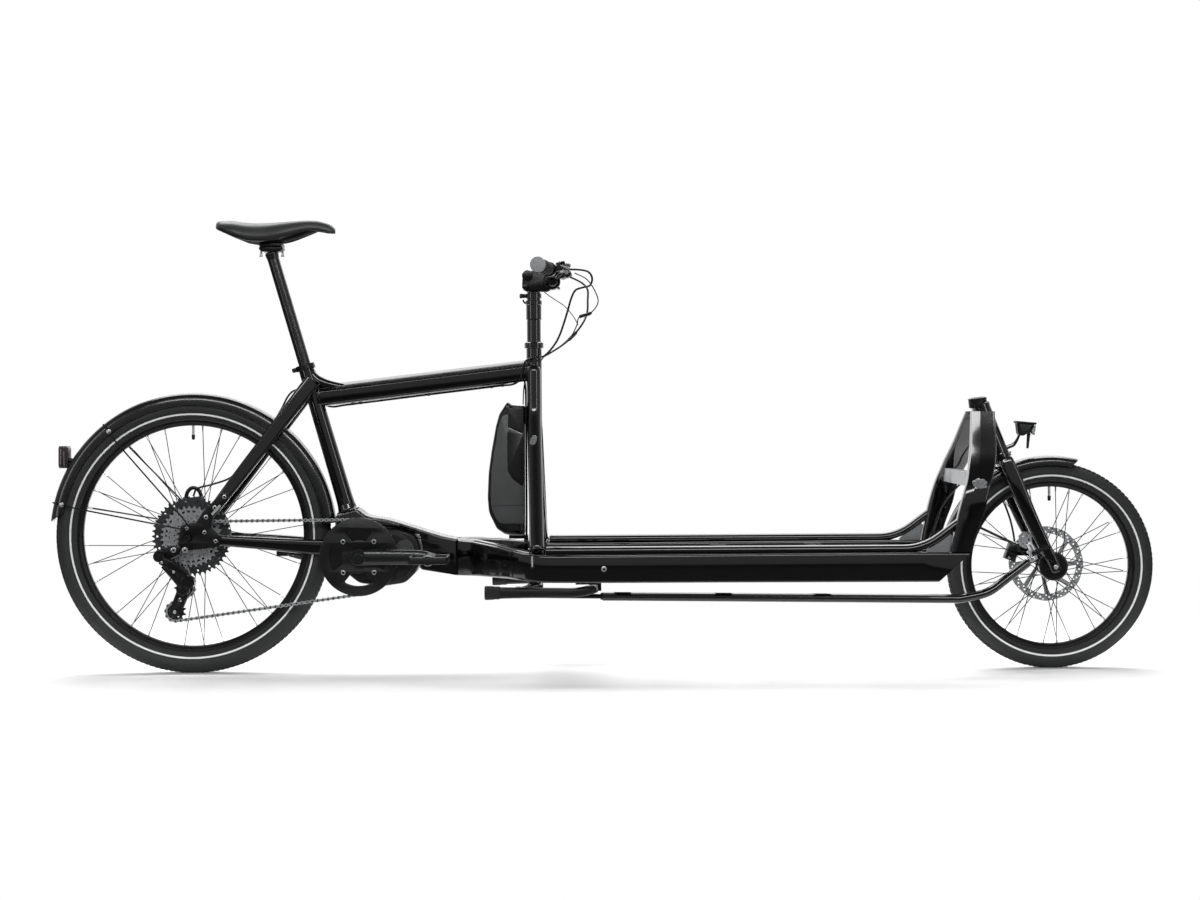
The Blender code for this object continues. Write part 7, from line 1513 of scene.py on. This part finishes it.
def stage_and_light():
    """Floor with a soft shadow that fades to white, a dark card for reflections, the room and five lamps."""
    floor_mesh = bpy.data.meshes.new("floor")
    floor_mesh.from_pydata([(-30, -20, 0), (30, -20, 0), (30, 40, 0), (-30, 40, 0)], [], [(0, 1, 2, 3)])
    floor = bpy.data.objects.new("floor", floor_mesh)
    scene.collection.objects.link(floor)
    look = finish("pale_studio_floor", 0xFAFAFA, 0.9, Specular_IOR_Level=0.1)
    tree = look.node_tree
    shader = tree.nodes["Principled BSDF"]
    place = add(tree, "TexCoord")
    spot = add(tree, "Mapping", {"Vector": place.outputs["Object"], "Scale": (0.45, 0.9, 1.0)})
    away = add(tree, "VectorMath", {0: spot}, operation="LENGTH")
    fade = add(tree, "MapRange", {"Value": away.outputs["Value"], "From Min": 0.7, "From Max": 1.3},
               interpolation_type="SMOOTHSTEP")
    path = add(tree, "LightPath")
    white = add(tree, "Emission", {"Color": (1, 1, 1, 1), "Strength": 1.0})
    card = add(tree, "BsdfDiffuse", {"Color": linear(0x505050)})
    where = add(tree, "SeparateXYZ", {0: place.outputs["Object"]})
    front = add(tree, "MapRange", {"Value": where.outputs["Y"], "From Min": -0.4, "From Max": -0.55})
    reach = add(tree, "Math", {0: where.outputs["X"]}, operation="ABSOLUTE")
    sides = add(tree, "MapRange", {"Value": reach, "From Min": 1.45, "From Max": 1.65})
    card_part = add(tree, "Math", {0: front, 1: sides}, operation="MAXIMUM")
    laid = add(tree, "MixShader", {0: card_part, 1: shader, 2: card})
    pale = add(tree, "MixShader", {0: fade, 1: shader, 2: white})
    mix = add(tree, "MixShader", {0: path.outputs["Is Camera Ray"], 1: laid, 2: pale})
    tree.links.new(mix.outputs[0], tree.nodes["Material Output"].inputs["Surface"])
    floor_mesh.materials.append(look)

    world = bpy.data.worlds.new("room")
    scene.world = world
    world.use_nodes = True
    tree = world.node_tree
    back = tree.nodes["Background"]
    place = add(tree, "TexCoord")
    parts = add(tree, "SeparateXYZ", {0: place.outputs["Generated"]})
    up = add(tree, "MapRange", {"Value": parts.outputs["Z"], "From Min": 0.45, "From Max": 0.85,
                                "To Min": 0.34, "To Max": 0.08})
    behind = add(tree, "MapRange", {"Value": parts.outputs["Y"], "From Min": 0.0, "From Max": 0.7,
                                    "To Min": 0.08, "To Max": 1.0})
    level = add(tree, "Math", {0: up, 1: behind}, operation="MAXIMUM")
    path = add(tree, "LightPath")
    shown = add(tree, "Math", {0: path.outputs["Is Camera Ray"], 1: path.outputs["Is Transmission Ray"]},
                operation="MAXIMUM")
    strength = add(tree, "Mix", {0: shown, 2: level, 3: 1.0}, data_type="FLOAT")
    tree.links.new(strength.outputs[0], back.inputs["Strength"])
    back.inputs["Color"].default_value = (1, 1, 1, 1)

    for name, place, turn, size, power in (
            ("overhead_softbox", (0.0, 1.25, 3.2), (math.radians(18), 0, 0), (4.6, 1.9), 190),
            ("front_strip", (0.0, -4.2, 2.6), (math.radians(62), 0, 0), (5.0, 0.5), 90),
            ("left_strip", (-3.6, -3.2, 1.3), (math.radians(90), 0, math.radians(-48)), (0.35, 2.6), 15),
            ("right_strip", (3.6, -3.2, 1.3), (math.radians(90), 0, math.radians(48)), (0.35, 2.6), 18),
            ("back_strip", (0.0, 3.2, 2.4), (math.radians(-58), 0, 0), (5.0, 0.8), 55)):
        data = bpy.data.lights.new(name, "AREA")
        data.shape, data.size, data.size_y = "RECTANGLE", *size
        data.energy = power
        lamp = bpy.data.objects.new(name, data)
        lamp.location, lamp.rotation_euler = place, turn
        scene.collection.objects.link(lamp)


wheels()
seat_and_head_tubes()
legs_and_stays()
deck()
fork_head()
motor()
battery()
chain()
cassette()
ring_and_cranks()
pedal("pedal_right", (-0.404, 0.28), -1, "pedal_right_body")
pedal("pedal_left", (-0.754, 0.28), 1, "pedal_left_body")
derailleur()
rear_axle()
guards_and_lamps()
calipers()
stand()
tie_rod()
column()
cockpit()
fork()
seat()
hoses()
stage_and_light()
